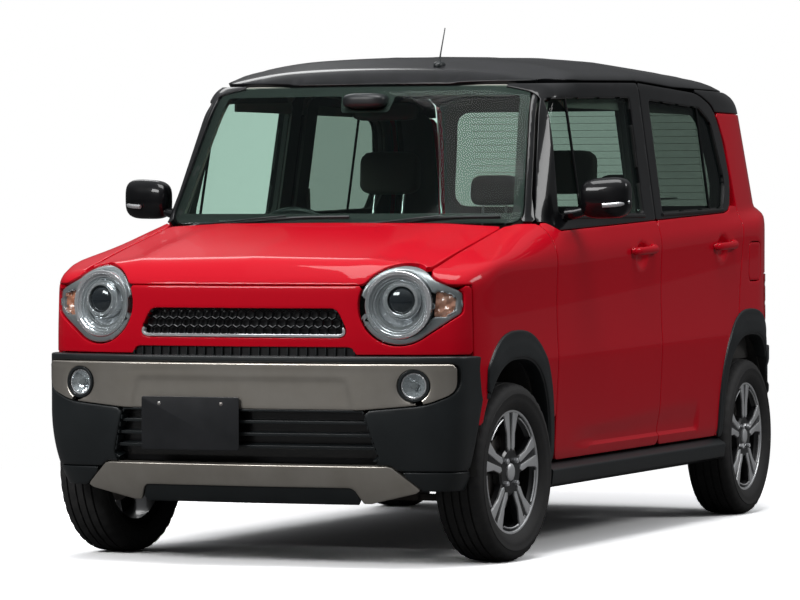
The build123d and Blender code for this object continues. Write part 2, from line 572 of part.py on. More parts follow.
# ---------------------------------------------------------------- bonnet, wings and front end
with BuildPart() as bonnet:
    add(OUTER)
    add(SKIN_IN, mode=Mode.SUBTRACT)
    add(bonnet_zone(), mode=Mode.INTERSECT)
    add(lamp_space(SHUT_GAP), mode=Mode.SUBTRACT)
    add(mirror_x(lamp_space(SHUT_GAP)), mode=Mode.SUBTRACT)
    for side in (-1, 1):
        lo, hi = sorted((side * 530.0, side * 620.0))
        add(block(lo, hi, BONNET_HINGE_Y - 14, BONNET_HINGE_Y + 14, BONNET_HINGE_Z - 10, BONNET_HINGE_Z + 6)
            & bonnet_zone())
        add(rod_x(BONNET_HINGE_Y, BONNET_HINGE_Z, HINGE_PIN_R + PIN_FIT, lo, hi), mode=Mode.SUBTRACT)

with BuildPart() as front_wing:
    add(OUTER)
    add(SKIN_IN, mode=Mode.SUBTRACT)
    add(block(430, BIG / 4, -BIG / 2, -600, 296, 1100), mode=Mode.INTERSECT)
    add(bonnet_zone(SHUT_GAP), mode=Mode.SUBTRACT)
    add(arch(FRONT_AXLE, ARCH_A, FRONT_ARCH_B), mode=Mode.SUBTRACT)
    add(lamp_outline(SEAT_GAP), mode=Mode.SUBTRACT)
    add(along_x(FRONT_DOOR, grow=SHUT_GAP / 2), mode=Mode.SUBTRACT)
    add(block(0, BIG / 4, -BIG / 2, FASCIA_SIDE_END, 0, FASCIA_TOP + SEAT_GAP), mode=Mode.SUBTRACT)
    add(block(0, BIG / 4, -BIG / 2, FASCIA_SIDE_END + 75, 0, FASCIA_BOTTOM), mode=Mode.SUBTRACT)
    add(block(0, BIG / 4, -905, BIG / 2, PILLAR_FOOT - SEAT_GAP, BIG), mode=Mode.SUBTRACT)
    add(WINDSCREEN_ZONE, mode=Mode.SUBTRACT)
    add(block(0, BIG / 4, WING_REAR, BIG / 2, 0, BIG), mode=Mode.SUBTRACT)
    add(block(0, BONNET_HALF_REAR + SHUT_GAP, BONNET_REAR - SHUT_GAP, BIG / 2, 0, BIG), mode=Mode.SUBTRACT)
    add(rod_x(BONNET_HINGE_Y, BONNET_HINGE_Z, HINGE_PIN_R, 540, 612))

with BuildPart() as front_fascia:
    add(OUTER)
    add(SKIN_IN, mode=Mode.SUBTRACT)
    add(block(-BIG / 4, BIG / 4, -BIG / 2, FASCIA_SIDE_END - SEAT_GAP, FASCIA_BOTTOM + SEAT_GAP, FASCIA_TOP),
        mode=Mode.INTERSECT)
    add(lamp_outline(SEAT_GAP), mode=Mode.SUBTRACT)
    add(mirror_x(lamp_outline(SEAT_GAP)), mode=Mode.SUBTRACT)
    add(along_y(both_halves(GRILLE), -BIG / 2, -1500), mode=Mode.SUBTRACT)

with BuildPart() as headlamp:
    add(OUTER)
    add(along_z(both_halves(PLAN), UNDER, grow=-LAMP_DEPTH), mode=Mode.SUBTRACT)
    add(lamp_outline(), mode=Mode.INTERSECT)

with BuildPart() as upper_grille:
    add(body_space(8, 8, 8))
    add(body_space(8 + GRILLE_T, 8 + GRILLE_T, 8 + GRILLE_T), mode=Mode.SUBTRACT)
    add(along_y(both_halves(GRILLE), -BIG / 2, -1500, grow=-SEAT_GAP), mode=Mode.INTERSECT)

write("bonnet", largest(bonnet.part))
write("front_wings", largest(front_wing.part), mirror_x(largest(front_wing.part)))
write("front_fascia", *[s for s in front_fascia.solids() if s.volume > 1e4])
write("headlamps", largest(headlamp.part), mirror_x(largest(headlamp.part)))
write("upper_grille", largest(upper_grille.part))

# ---------------------------------------------------------------- front bumper group
FRONT_BUMPER_SPACE = bumper_space(BUMPER_PLAN)
FOG_BORES = [rod_y(side * FOG_X, FOG_Z, FOG_R, -1750, -1560) for side in (-1, 1)]

with BuildPart() as front_bumper:
    add(FRONT_BUMPER_SPACE)
    add(bumper_space(BUMPER_PLAN, BUMPER_T), mode=Mode.SUBTRACT)
    add(block(-BIG / 4, BIG / 4, -BIG / 2, FASCIA_SIDE_END + 75 - SEAT_GAP, 235, FASCIA_BOTTOM), mode=Mode.INTERSECT)
    add(along_y(both_halves(GARNISH), -BIG / 2, -1300) - bumper_space(BUMPER_PLAN, GARNISH_T + SEAT_GAP),
        mode=Mode.SUBTRACT)
    add(along_y(both_halves(LOWER_GRILLE), -BIG / 2, -1300), mode=Mode.SUBTRACT)
    add(along_y(both_halves(SKID), -BIG / 2, -1300, grow=SEAT_GAP), mode=Mode.SUBTRACT)
    add(arch(FRONT_AXLE, HOUSE_A + HOUSE_T + SEAT_GAP, FRONT_ARCH_B + HOUSE_RISE + HOUSE_T + SEAT_GAP),
        mode=Mode.SUBTRACT)
    for bore in FOG_BORES:
        add(bore, mode=Mode.SUBTRACT)

with BuildPart() as bumper_garnish:
    add(FRONT_BUMPER_SPACE)
    add(bumper_space(BUMPER_PLAN, GARNISH_T), mode=Mode.SUBTRACT)
    add(along_y(both_halves(GARNISH), -BIG / 2, -1400, grow=-SEAT_GAP), mode=Mode.INTERSECT)
    for bore in FOG_BORES:
        add(bore, mode=Mode.SUBTRACT)

GRILLE_BACK, SLAT_T = BUMPER_FRONT + 46.0, 8.0
PLATE_HOLE_Z = PLATE_Z + PLATE_H / 2 - PLATE_HOLE_DROP
PLATE_HOLES = [rod_y(PLATE_X + side * PLATE_HOLE_PITCH / 2, PLATE_HOLE_Z, PLATE_HOLE_R, -1750, -1600)
               for side in (-1, 1)]
PAD_HALF = PLATE_HOLE_PITCH / 2 + 20
with BuildPart() as lower_grille:
    add(along_y(both_halves(LOWER_GRILLE), GRILLE_BACK, GRILLE_BACK + 8, grow=-SEAT_GAP))
    for z in (366.0, 405.0, 444.0):
        add(block(-395, 395, BUMPER_FRONT + 22, GRILLE_BACK, z - SLAT_T / 2, z + SLAT_T / 2))
    add(block(PLATE_X - 90, PLATE_X + 90, FRONT_END + PLATE_T + SEAT_GAP, GRILLE_BACK, 380, 484))
    add(block(PLATE_X - PAD_HALF, PLATE_X + PAD_HALF, FRONT_END + PLATE_T + SEAT_GAP, BUMPER_FRONT - SEAT_GAP,
              380, PLATE_HOLE_Z + 12))
    for hole in PLATE_HOLES:
        add(hole, mode=Mode.SUBTRACT)

with BuildPart() as front_plate:
    with BuildSketch(Plane.XZ.offset(-FRONT_END - PLATE_T)):
        with Locations((PLATE_X, PLATE_Z)):
            RectangleRounded(PLATE_W, PLATE_H, 8)
    extrude(amount=PLATE_T)
    for hole in PLATE_HOLES:
        add(hole, mode=Mode.SUBTRACT)

with BuildPart() as skid_plate:
    add(along_z(both_halves(BUMPER_PLAN), 190, 330, grow=-4))
    add(along_z(both_halves(BUMPER_PLAN), 180, 340, grow=-46), mode=Mode.SUBTRACT)
    add(along_y(both_halves(SKID), -BIG / 2, -1450), mode=Mode.INTERSECT)

with BuildPart() as fog_lamp:
    add(rod_y(FOG_X, FOG_Z, FOG_R - SEAT_GAP, BUMPER_FRONT + 62, BUMPER_FRONT + 62 + FOG_DEPTH))

write("front_bumper", largest(front_bumper.part))
write("bumper_garnish", largest(bumper_garnish.part))
write("lower_grille", largest(lower_grille.part))
write("front_plate", largest(front_plate.part))
write("skid_plate", largest(skid_plate.part))
write("fog_lamps", fog_lamp.part, mirror_x(fog_lamp.part))

# ---------------------------------------------------------------- windscreen, cowl and wipers
with BuildPart() as windscreen:
    add(GLASS_OUT)
    add(GLASS_IN, mode=Mode.SUBTRACT)
    add(along_y(both_halves(WINDSCREEN), -1100, HEADER_REAR, grow=-SEAT_GAP), mode=Mode.INTERSECT)

with BuildPart() as cowl:
    add(block(-COWL_HALF, COWL_HALF, COWL_FRONT, BULKHEAD_Y, BULKHEAD_TOP + SEAT_GAP, COWL_Z))

WIPER_Y, WIPER_PIVOT_R, WIPER_PIVOT_H = -898.0, 9.0, 18.0
wiper_arms = []
for pivot_x, reach in ((-520.0, 560.0), (70.0, 480.0)):
    with BuildPart() as wiper:
        add(rod_z(pivot_x, WIPER_Y, WIPER_PIVOT_R, COWL_Z + SEAT_GAP, COWL_Z + WIPER_PIVOT_H))
        add(block(pivot_x, pivot_x + reach, WIPER_Y - 6, WIPER_Y + 6, COWL_Z + 10, COWL_Z + WIPER_PIVOT_H))
    wiper_arms.append(wiper.part)

write("windscreen", largest(windscreen.part))
write("cowl", cowl.part)
write("wipers", *wiper_arms)

# ---------------------------------------------------------------- claddings
with BuildPart() as wheel_cladding:
    for axle, inner_b, outer_b in ((FRONT_AXLE, FRONT_ARCH_B, FRONT_EDGE_B), (REAR_AXLE, REAR_ARCH_B, REAR_EDGE_B)):
        add(arch(axle, ARCH_EDGE_A, outer_b, 640, ARCH_HALF_WIDTH) - arch(axle, ARCH_A, inner_b, 600, 800))
    add(block(600, 800, -BIG / 2, BIG / 2, UNDER, 292), mode=Mode.SUBTRACT)
    add(OUTER, mode=Mode.SUBTRACT)
    add(along_x(REAR_DOOR, 600, 800, grow=SHUT_GAP / 2), mode=Mode.SUBTRACT)
    add(along_x(FRONT_DOOR, 600, 800, grow=SHUT_GAP / 2), mode=Mode.SUBTRACT)
    add(block(600, 800, -BIG / 2, FASCIA_SIDE_END + 75, 0, BIG), mode=Mode.SUBTRACT)
    add(block(600, 800, 1500, BIG / 2, 0, BIG), mode=Mode.SUBTRACT)

with BuildPart() as sill_cladding:
    sill = [(662.0, 205.0, 6.0), (ARCH_HALF_WIDTH - 12, 222.0, 14.0), (ARCH_HALF_WIDTH - 6, 272.0, 10.0),
            (690.0, 290.0, 4.0), (640.0, 290.0, 0.0), (640.0, 205.0, 0.0)]
    add(along_y(sill, FRONT_AXLE + ARCH_A + 6, REAR_AXLE - ARCH_A - 6))
    add(body_space(SEAT_GAP, SEAT_GAP, SEAT_GAP), mode=Mode.SUBTRACT)
    add(OUTER, mode=Mode.SUBTRACT)

arch_pieces = [piece for piece in wheel_cladding.solids() if piece.volume > 1e4]
write("arch_claddings", *arch_pieces, *[mirror_x(piece) for piece in arch_pieces])
write("sill_claddings", largest(sill_cladding.part), mirror_x(largest(sill_cladding.part)))

# ---------------------------------------------------------------- tailgate and rear end
with BuildPart() as tailgate:
    add(along_y(both_halves(TAILGATE), TAILGATE_FRONT + ROOF_SEAM_GAP / 2, BIG / 2))
    add(OUTER, mode=Mode.INTERSECT)
    add(LID_IN, mode=Mode.SUBTRACT)
    add(along_y(both_halves(REAR_WINDOW_BACK), 1500, BIG / 2), mode=Mode.SUBTRACT)
    add(block(-PAD_HALF, PAD_HALF, BODY_REAR - 40, BODY_REAR + 5, REAR_PLATE_Z - 60, REAR_PLATE_Z + 76))
    rear_holes = [rod_y(side * PLATE_HOLE_PITCH / 2, REAR_PLATE_Z + PLATE_H / 2 - PLATE_HOLE_DROP, PLATE_HOLE_R,
                        BODY_REAR - 20, BODY_REAR + 60) for side in (-1, 1)]
    for hole in rear_holes:
        add(hole, mode=Mode.SUBTRACT)
    for hinge_x in (-TAILGATE_HINGE_X, TAILGATE_HINGE_X):
        add(block(hinge_x - 26, hinge_x + 26, TAILGATE_FRONT - 20, TAILGATE_HINGE_Y + 34, RAIL_Z - 20,
                  TAILGATE_HINGE_Z + BARREL_R + 1), mode=Mode.SUBTRACT)
        add(block(hinge_x - 26, hinge_x + 26, TAILGATE_FRONT - 20, TAILGATE_HINGE_Y - STRAP_CLEAR, RAIL_Z - 20,
                  BIG / 2), mode=Mode.SUBTRACT)
        add(rod_x(TAILGATE_HINGE_Y, TAILGATE_HINGE_Z, HINGE_PIN_R, hinge_x - 30, hinge_x + 30))

with BuildPart() as tailgate_glass:
    add(GLASS_OUT)
    add(GLASS_IN, mode=Mode.SUBTRACT)
    add(along_y(both_halves(REAR_WINDOW_BACK), 1500, BIG / 2, grow=-SEAT_GAP), mode=Mode.INTERSECT)

with BuildPart() as rear_plate:
    with BuildSketch(Plane.XZ.offset(-BODY_REAR - 5 - SEAT_GAP - PLATE_T)):
        with Locations((0, REAR_PLATE_Z)):
            RectangleRounded(PLATE_W, PLATE_H, 8)
    extrude(amount=PLATE_T)
    for hole in rear_holes:
        add(hole, mode=Mode.SUBTRACT)

TOW_X, TOW_Z, TOW_R, TOW_DEPTH = 420.0, 330.0, 9.0, 30.0
with BuildPart() as rear_bumper:
    add(bumper_space(REAR_BUMPER_PLAN))
    add(bumper_space(REAR_BUMPER_PLAN, BUMPER_T), mode=Mode.SUBTRACT)
    add(block(-BIG / 4, BIG / 4, 1500, BIG / 2, 235, 604), mode=Mode.INTERSECT)
    add(arch(REAR_AXLE, HOUSE_A + HOUSE_T + SEAT_GAP, REAR_ARCH_B + HOUSE_RISE + HOUSE_T + SEAT_GAP),
        mode=Mode.SUBTRACT)
    add(rod_y(TOW_X, TOW_Z, TOW_R, REAR_END - 22 - TOW_DEPTH, REAR_END + 10), mode=Mode.SUBTRACT)

with BuildPart() as tail_lamp:
    add(OUTER)
    add(body_space(60, 60, 60), mode=Mode.SUBTRACT)
    add(along_y(TAIL_LAMP, 1480 + SEAT_GAP, BIG / 2), mode=Mode.INTERSECT)

write("tailgate", largest(tailgate.part))
write("tailgate_glass", largest(tailgate_glass.part))
write("rear_plate", largest(rear_plate.part))
write("rear_bumper", largest(rear_bumper.part))
write("tail_lamps", largest(tail_lamp.part), mirror_x(largest(tail_lamp.part)))

# ---------------------------------------------------------------- floor, bulkhead and wheel houses
CABIN_HALF = 727.0 - WALL_T
FLOOR_LINE = [(BULKHEAD_Y, BULKHEAD_TOP), (BULKHEAD_Y, 470), (-640, FLOOR_Z), (430, FLOOR_Z), (560, 380), (1000, 400),
              (1060, LOAD_FLOOR_Z), (1572, LOAD_FLOOR_Z)]
HOUSES = ((FRONT_AXLE, FRONT_ARCH_B, FRONT_HOUSE_X, 300.0), (REAR_AXLE, REAR_ARCH_B, REAR_HOUSE_X, 470.0))
HOUSE_OUTER_X, MEMBER_X = 680.0, FRONT_HOUSE_X - HOUSE_T
with BuildPart() as floor_pan:
    with BuildSketch(Plane.YZ.offset(-CABIN_HALF)):
        with BuildLine():
            Polyline(FLOOR_LINE)
            offset(amount=FLOOR_T, side=Side.RIGHT)
        make_face()
    extrude(amount=2 * CABIN_HALF)
    add(CABIN_SIDE, mode=Mode.INTERSECT)
    for side in (-1, 1):
        for axle, rise, x_in, low in HOUSES:
            lo, hi = sorted((side * (x_in - HOUSE_T), side * HOUSE_OUTER_X))
            add(arch(axle, HOUSE_A + HOUSE_T, rise + HOUSE_RISE + HOUSE_T, lo, hi)
                & block(lo, hi, -BIG / 2, BIG / 2, low, BIG / 2))
    for side in (-1, 1):
        for axle, rise, x_in, low in HOUSES:
            lo, hi = sorted((side * x_in, side * 760.0))
            add(arch(axle, HOUSE_A, rise + HOUSE_RISE, lo, hi), mode=Mode.SUBTRACT)
        lo, hi = sorted((side * (MEMBER_X - 40), side * MEMBER_X))
        add(block(lo, hi, -1590, -810, 430, 500))
    add(block(-MEMBER_X, MEMBER_X, -1610, -1580, 400, 510))
write("floor_pan", largest(floor_pan.part))

# ---------------------------------------------------------------- engine, exhaust and tank
ENGINE_HALF, MOUNT_Y = 320.0, -1270.0
with BuildPart() as engine_block:
    add(block(-ENGINE_HALF, 40, -1540, -960, 300, 700))
    add(block(-ENGINE_HALF + 60, -20, -1480, -1080, 700, 780))
    add(block(40, ENGINE_HALF, -1500, -1040, 280, 560))
    for side in (-1, 1):
        lo, hi = sorted((side * (ENGINE_HALF - 5), side * (MEMBER_X - 40 - SEAT_GAP)))
        add(block(lo, hi, MOUNT_Y - 30, MOUNT_Y + 30, 440, 490))

PIPE_X, PIPE_Z, PIPE_R = -250.0, 210.0, 20.0
with BuildPart() as exhaust:
    add(rod_y(PIPE_X, PIPE_Z, PIPE_R, -1040, 1640))
    add(rod_z(PIPE_X, -1020, PIPE_R, PIPE_Z, 300 - SEAT_GAP))
    add(block(PIPE_X - 170, PIPE_X + 130, 1340, 1580, 215, 380))
    add(block(PIPE_X - 60, PIPE_X - 40, 1440, 1460, 380, LOAD_FLOOR_Z - FLOOR_T - SEAT_GAP))
    add(block(PIPE_X - 12, PIPE_X + 12, -20, 0, PIPE_Z, FLOOR_Z - FLOOR_T - SEAT_GAP))

with BuildPart() as fuel_tank:
    add(block(-190, 440, 572, 940, 225, 364))
    fillet(fuel_tank.edges().filter_by(Axis.Z), 40)

write("engine_block", largest(engine_block.part))
write("exhaust", largest(exhaust.part))
write("fuel_tank", fuel_tank.part)

# ---------------------------------------------------------------- suspension and steering
def steered(shape, side):
    """Turn a front wheel's piece about its kingpin to the steering at rest."""
    return shape.rotate(Axis((side * KINGPIN_X, FRONT_AXLE, 0), (0, 0, 1)), REST_STEER)


PIN_R = 10.0
ARM_Z0, ARM_Z1, UPPER_Z0, UPPER_Z1 = 186.0, 206.0, 388.0, 406.0
STRUT_X, STRUT_R, ARM_HALF = 513.0, 20.0, 24.0
HUB_CARRIER_R, HUB_CARRIER_OUT, STUB_OUT = 45.0, 650.0, 700.0
STUB_R = HUB_BORE_R - PIN_FIT
STRUT_TOP = HUB_Z + (FRONT_ARCH_B + HOUSE_RISE) * (1 - (STRUT_R / HOUSE_A) ** 2) ** 0.5 - SEAT_GAP
with BuildPart() as front_suspension:
    add(block(-400, 400, FRONT_AXLE - 30, FRONT_AXLE + 70, ARM_Z0, 262))
    for side in (-1, 1):
        lo, hi = sorted((side * 300.0, side * 360.0))
        add(block(lo, hi, FRONT_AXLE + 30, -580, 225, FLOOR_Z - FLOOR_T - SEAT_GAP))
        lo, hi = sorted((side * 390.0, side * (KINGPIN_X + 16)))
        add(block(lo, hi, FRONT_AXLE - ARM_HALF, FRONT_AXLE + ARM_HALF, ARM_Z0, ARM_Z1))
        lo, hi = sorted((side * (STRUT_X - 12), side * (KINGPIN_X + 16)))
        add(block(lo, hi, FRONT_AXLE - ARM_HALF, FRONT_AXLE + ARM_HALF, UPPER_Z0, UPPER_Z1))
        add(rod_z(side * STRUT_X, FRONT_AXLE, STRUT_R, UPPER_Z0, STRUT_TOP))
    for side in (-1, 1):
        add(rod_z(side * KINGPIN_X, FRONT_AXLE, PIN_R + PIN_FIT, 150, 450), mode=Mode.SUBTRACT)

with BuildPart() as knuckle:
    add(rod_z(KINGPIN_X, FRONT_AXLE, PIN_R, ARM_Z0 + 2, UPPER_Z1 - 2))
    add(block(KINGPIN_X - 18, KINGPIN_X + 20, FRONT_AXLE - 24, FRONT_AXLE + 24, ARM_Z1 + SHUT_GAP,
              UPPER_Z0 - SHUT_GAP))
    add(rod_x(FRONT_AXLE, HUB_Z, HUB_CARRIER_R, KINGPIN_X - 20, HUB_CARRIER_OUT))
    add(rod_x(FRONT_AXLE, HUB_Z, STUB_R, HUB_CARRIER_OUT - 1, STUB_OUT))

with BuildPart() as rear_axle_beam:
    add(rod_x(1010.0, 285.0, 30.0, -500, 500))
    for side in (-1, 1):
        lo, hi = sorted((side * 470.0, side * 512.0))
        add(block(lo, hi, 885, REAR_AXLE + 40, 258, 304))
        add(block(lo, hi, 885, 915, 258, 378.4))
        lo, hi = sorted((side * 500.0, side * HUB_CARRIER_OUT))
        add(rod_x(REAR_AXLE, HUB_Z, HUB_CARRIER_R, lo, hi))
        lo, hi = sorted((side * (HUB_CARRIER_OUT - 1), side * STUB_OUT))
        add(rod_x(REAR_AXLE, HUB_Z, STUB_R, lo, hi))

write("front_suspension", *front_suspension.solids())
write("knuckle_left", steered(largest(knuckle.part), 1))
write("knuckle_right", steered(mirror_x(largest(knuckle.part)), -1))
write("rear_axle_beam", largest(rear_axle_beam.part))

# ---------------------------------------------------------------- wheels
BEAD_R, BARREL_IN_R, FLANGE_T = 190.0, 178.0, 8.0
MOUNT_FACE, DISC_T, HUB_DISC_R = 45.0, 16.0, 75.0
SPOKE_W, SPOKE_PAIR, SPOKE_COUNT = 20.0, 15.0, 5
BRAKE_R, BRAKE_T, BELL_R = 118.0, 20.0, 72.0
AXIS_X = Plane((HALF_TRACK, 0, HUB_Z), x_dir=(0, 1, 0), z_dir=(1, 0, 0))
PROFILE = Plane((HALF_TRACK, 0, HUB_Z), x_dir=(1, 0, 0), z_dir=(0, -1, 0))

with BuildPart() as alloy_rim:
    with BuildSketch(PROFILE):
        half = RIM_W / 2
        with BuildLine():
            Polyline((-half, RIM_R), (-half + FLANGE_T, RIM_R), (-half + FLANGE_T, BEAD_R), (half - FLANGE_T, BEAD_R),
                     (half - FLANGE_T, RIM_R), (half, RIM_R), (half, BARREL_IN_R), (-half, BARREL_IN_R), close=True)
        make_face()
    revolve(axis=Axis((HALF_TRACK, 0, HUB_Z), (1, 0, 0)))
    with BuildSketch(AXIS_X.offset(MOUNT_FACE)):
        Circle(HUB_DISC_R)
        with PolarLocations(0, SPOKE_COUNT, start_angle=90):
            for shift in (-SPOKE_PAIR, SPOKE_PAIR):
                with Locations((HUB_DISC_R, shift)):
                    Rectangle(2 * (BARREL_IN_R - HUB_DISC_R) + 8, SPOKE_W)
        Circle(BARREL_IN_R + 1, mode=Mode.INTERSECT)
    extrude(amount=DISC_T)
    with BuildSketch(AXIS_X.offset(MOUNT_FACE)):
        Circle(HUB_BORE_R)
        with PolarLocations(STUD_PITCH_R, 4, start_angle=45):
            Circle(STUD_R)
    extrude(amount=DISC_T, mode=Mode.SUBTRACT)

with BuildPart() as brake_disc:
    with BuildSketch(AXIS_X.offset(MOUNT_FACE)):
        Circle(BELL_R)
    extrude(amount=-BRAKE_T - 8)
    with BuildSketch(AXIS_X.offset(MOUNT_FACE - 8)):
        Circle(BRAKE_R)
    extrude(amount=-BRAKE_T)
    add(rod_x(0.0, HUB_Z, HUB_BORE_R, HALF_TRACK - 60, HALF_TRACK + 60), mode=Mode.SUBTRACT)
    add(rod_x(0.0, HUB_Z, HUB_CARRIER_R + 6, HALF_TRACK - 60, HUB_CARRIER_OUT + 6), mode=Mode.SUBTRACT)

with BuildPart() as tyre_ring:
    with BuildSketch(PROFILE):
        bead = RIM_W / 2 - FLANGE_T - SEAT_GAP
        section = [(bead, BEAD_R + SEAT_GAP, 0), (bead, RIM_R + 4, 0), (TYRE_W / 2, 238.0, 30),
                   (TYRE_W / 2 - 6, 270.0, 16), (TYRE_W / 2 - 26, TYRE_R - 1.5, 20), (0, TYRE_R, 600)]
        rounded(section[:-1] + [(0, TYRE_R, 0)] + [(-x, r, f) for x, r, f in reversed(section[:-1])])
    revolve(axis=Axis((HALF_TRACK, 0, HUB_Z), (1, 0, 0)))

for end, axle in (("front", FRONT_AXLE), ("rear", REAR_AXLE)):
    for side in ("left", "right"):
        place = Location((0, axle, 0))
        rim_solids = [largest(alloy_rim.part).moved(place), largest(brake_disc.part).moved(place)]
        tyre_solid = largest(tyre_ring.part).moved(place)
        if side == "right":
            rim_solids = [mirror_x(solid) for solid in rim_solids]
            tyre_solid = mirror_x(tyre_solid)
        if end == "front":
            rim_solids = [steered(solid, 1 if side == "left" else -1) for solid in rim_solids]
            tyre_solid = steered(tyre_solid, 1 if side == "left" else -1)
        write(f"rim_{end}_{side}", *rim_solids)
        write(f"tyre_{end}_{side}", tyre_solid)

# ---------------------------------------------------------------- dashboard and steering wheel
DASH = [(-800.0, 700.0, 0.0), (-800.0, 985.0, 20.0), (-560.0, 1012.0, 40.0), (-478.0, 968.0, 30.0),
        (-470.0, 880.0, 40.0), (-505.0, 760.0, 60.0), (-620.0, 700.0, 30.0)]
DRIVER_X, WHEEL_Y, WHEEL_Z, WHEEL_TILT = -330.0, -400.0, 945.0, 24.0
WHEEL_MAJOR, WHEEL_MINOR, WHEEL_HUB_R, WHEEL_HUB_T, COLUMN_R = 172.0, 14.0, 52.0, 40.0, 26.0
WHEEL_PLANE = Plane((DRIVER_X, WHEEL_Y, WHEEL_Z), x_dir=(1, 0, 0),
                    z_dir=(0, cos(radians(WHEEL_TILT)), sin(radians(WHEEL_TILT))))
DASH_NOTCH_X, DASH_NOTCH_FRONT, DASH_NOTCH_REAR, DASH_NOTCH_Z = 608.0, -805.0, -755.0, 968.0  # pillar feet
with BuildPart() as dashboard:
    add(along_x(DASH))
    add(CABIN_SIDE, mode=Mode.INTERSECT)
    for side in (-1, 1):
        ends = sorted((side * DASH_NOTCH_X, side * BIG / 4))
        add(block(*ends, DASH_NOTCH_FRONT, DASH_NOTCH_REAR, DASH_NOTCH_Z, BIG / 2), mode=Mode.SUBTRACT)
    add(rod(WHEEL_PLANE.offset(-WHEEL_HUB_T / 2 - SEAT_GAP - 110), COLUMN_R, 110))

with BuildPart() as steering_wheel:
    with BuildSketch(Plane(WHEEL_PLANE.origin, x_dir=WHEEL_PLANE.z_dir, z_dir=WHEEL_PLANE.x_dir)):
        with Locations((0, WHEEL_MAJOR)):
            Circle(WHEEL_MINOR)
    revolve(axis=Axis(WHEEL_PLANE.origin, WHEEL_PLANE.z_dir))
    add(rod(WHEEL_PLANE.offset(-WHEEL_HUB_T / 2), WHEEL_HUB_R, WHEEL_HUB_T))
    with BuildSketch(WHEEL_PLANE.offset(-8)):
        with PolarLocations(0, 3, start_angle=-90):
            with Locations((WHEEL_MAJOR / 2, 0)):
                Rectangle(WHEEL_MAJOR, 26)
        Circle(WHEEL_MAJOR, mode=Mode.INTERSECT)
    extrude(amount=16)

write("dashboard", largest(dashboard.part))
write("steering_wheel", largest(steering_wheel.part))

# ---------------------------------------------------------------- seats
SEAT_X, SEAT_HALF, HEADREST_HALF, POST_R = 330.0, 240.0, 118.0, 6.0
CUSHION = [(-330.0, 455.3, 30.0), (-345.0, 560.0, 50.0), (-290.0, 606.0, 60.0), (95.0, 575.0, 40.0),
           (110.0, 455.3, 30.0)]
BACKREST = [(118.0, 470.0, 40.0), (112.0, 590.0, 60.0), (322.0, 1120.0, 45.0), (408.0, 1095.0, 45.0),
            (232.0, 470.0, 40.0)]
HEADREST = [(338.0, 1148.0, 30.0), (362.0, 1330.0, 45.0), (446.0, 1318.0, 30.0), (436.0, 1140.0, 30.0)]
with BuildPart() as seat_base:
    add(block(SEAT_X - 200, SEAT_X + 200, -290, 90, FLOOR_Z + SEAT_GAP, 455))
    add(block(SEAT_X - SEAT_HALF - 8, SEAT_X + SEAT_HALF + 8, 50, 90, 420, 455))
    for side in (-1, 1):
        lo, hi = sorted((side * (SEAT_HALF + SEAT_GAP), side * (SEAT_HALF + 8)))
        add(block(SEAT_X + lo, SEAT_X + hi, 50, 225, 420, 620))
with BuildPart() as seat_cushion:
    add(along_x(CUSHION, SEAT_X - SEAT_HALF, SEAT_X + SEAT_HALF))
with BuildPart() as seat_back:
    add(along_x(BACKREST, SEAT_X - SEAT_HALF, SEAT_X + SEAT_HALF))
    for post in (-60, 60):
        add(rod_z(SEAT_X + post, 388, POST_R, 1090, 1145))
with BuildPart() as seat_headrest:
    add(along_x(HEADREST, SEAT_X - HEADREST_HALF, SEAT_X + HEADREST_HALF))
front_seat = [largest(piece.part) for piece in (seat_base, seat_cushion, seat_back, seat_headrest)]
write("front_seat_left", *front_seat)
write("front_seat_right", *[mirror_x(solid) for solid in front_seat])

REAR_SEAT_HALF = 498.0
REAR_CUSHION = [(592.0, 382.0, 20.0), (585.0, 545.0, 50.0), (640.0, 590.0, 60.0), (1040.0, 560.0, 40.0),
                (996.0, 400.4, 20.0)]
REAR_BACK = [(1068.0, 500.4, 10.0), (1046.0, 580.0, 50.0), (1180.0, 1090.0, 45.0), (1262.0, 1070.0, 45.0),
             (1190.0, 500.4, 20.0)]
REAR_HEADREST = [(1190.0, 1112.0, 30.0), (1206.0, 1250.0, 40.0), (1285.0, 1240.0, 30.0), (1278.0, 1106.0, 30.0)]
with BuildPart() as rear_cushion:
    add(along_x(REAR_CUSHION, -REAR_SEAT_HALF, REAR_SEAT_HALF))
with BuildPart() as rear_back:
    add(along_x(REAR_BACK, -REAR_SEAT_HALF, REAR_SEAT_HALF))
    for side in (-1, 1):
        for post in (-50, 50):
            add(rod_z(side * 250 + post, 1232, POST_R, 1060, 1108))
with BuildPart() as rear_headrest:
    add(along_x(REAR_HEADREST, 145, 355))
write("rear_seat", largest(rear_cushion.part), largest(rear_back.part), rear_headrest.part,
      mirror_x(rear_headrest.part))

# ---------------------------------------------------------------- interior mirror and antenna
MIRROR_Z = 1432.0
with BuildPart() as interior_mirror:
    with BuildSketch(Plane.XZ.offset(452)):
        with Locations((0, MIRROR_Z)):
            RectangleRounded(230, 62, 24)
    extrude(amount=26)
    add(rod_y(0, MIRROR_Z + 18, 8, -640, -470))
    add(body_space(GLASS_INSET + GLASS_T + SEAT_GAP, GLASS_INSET + GLASS_T + SEAT_GAP, 20), mode=Mode.INTERSECT)

ANTENNA_X, ANTENNA_Y, ANTENNA_R, ANTENNA_TOP = 187.0, -450.0, 3.0, 1712.0
with BuildPart() as antenna:
    with BuildSketch(Plane.XY.offset(1560)):
        with Locations((ANTENNA_X, ANTENNA_Y)):
            Ellipse(16, 30)
    extrude(amount=48)
    add(rod_z(ANTENNA_X, ANTENNA_Y, ANTENNA_R, 1600, ANTENNA_TOP))
    add(body_space(-SEAT_GAP, -SEAT_GAP, -SEAT_GAP), mode=Mode.SUBTRACT)

write("interior_mirror", largest(interior_mirror.part))
write("antenna", largest(antenna.part))
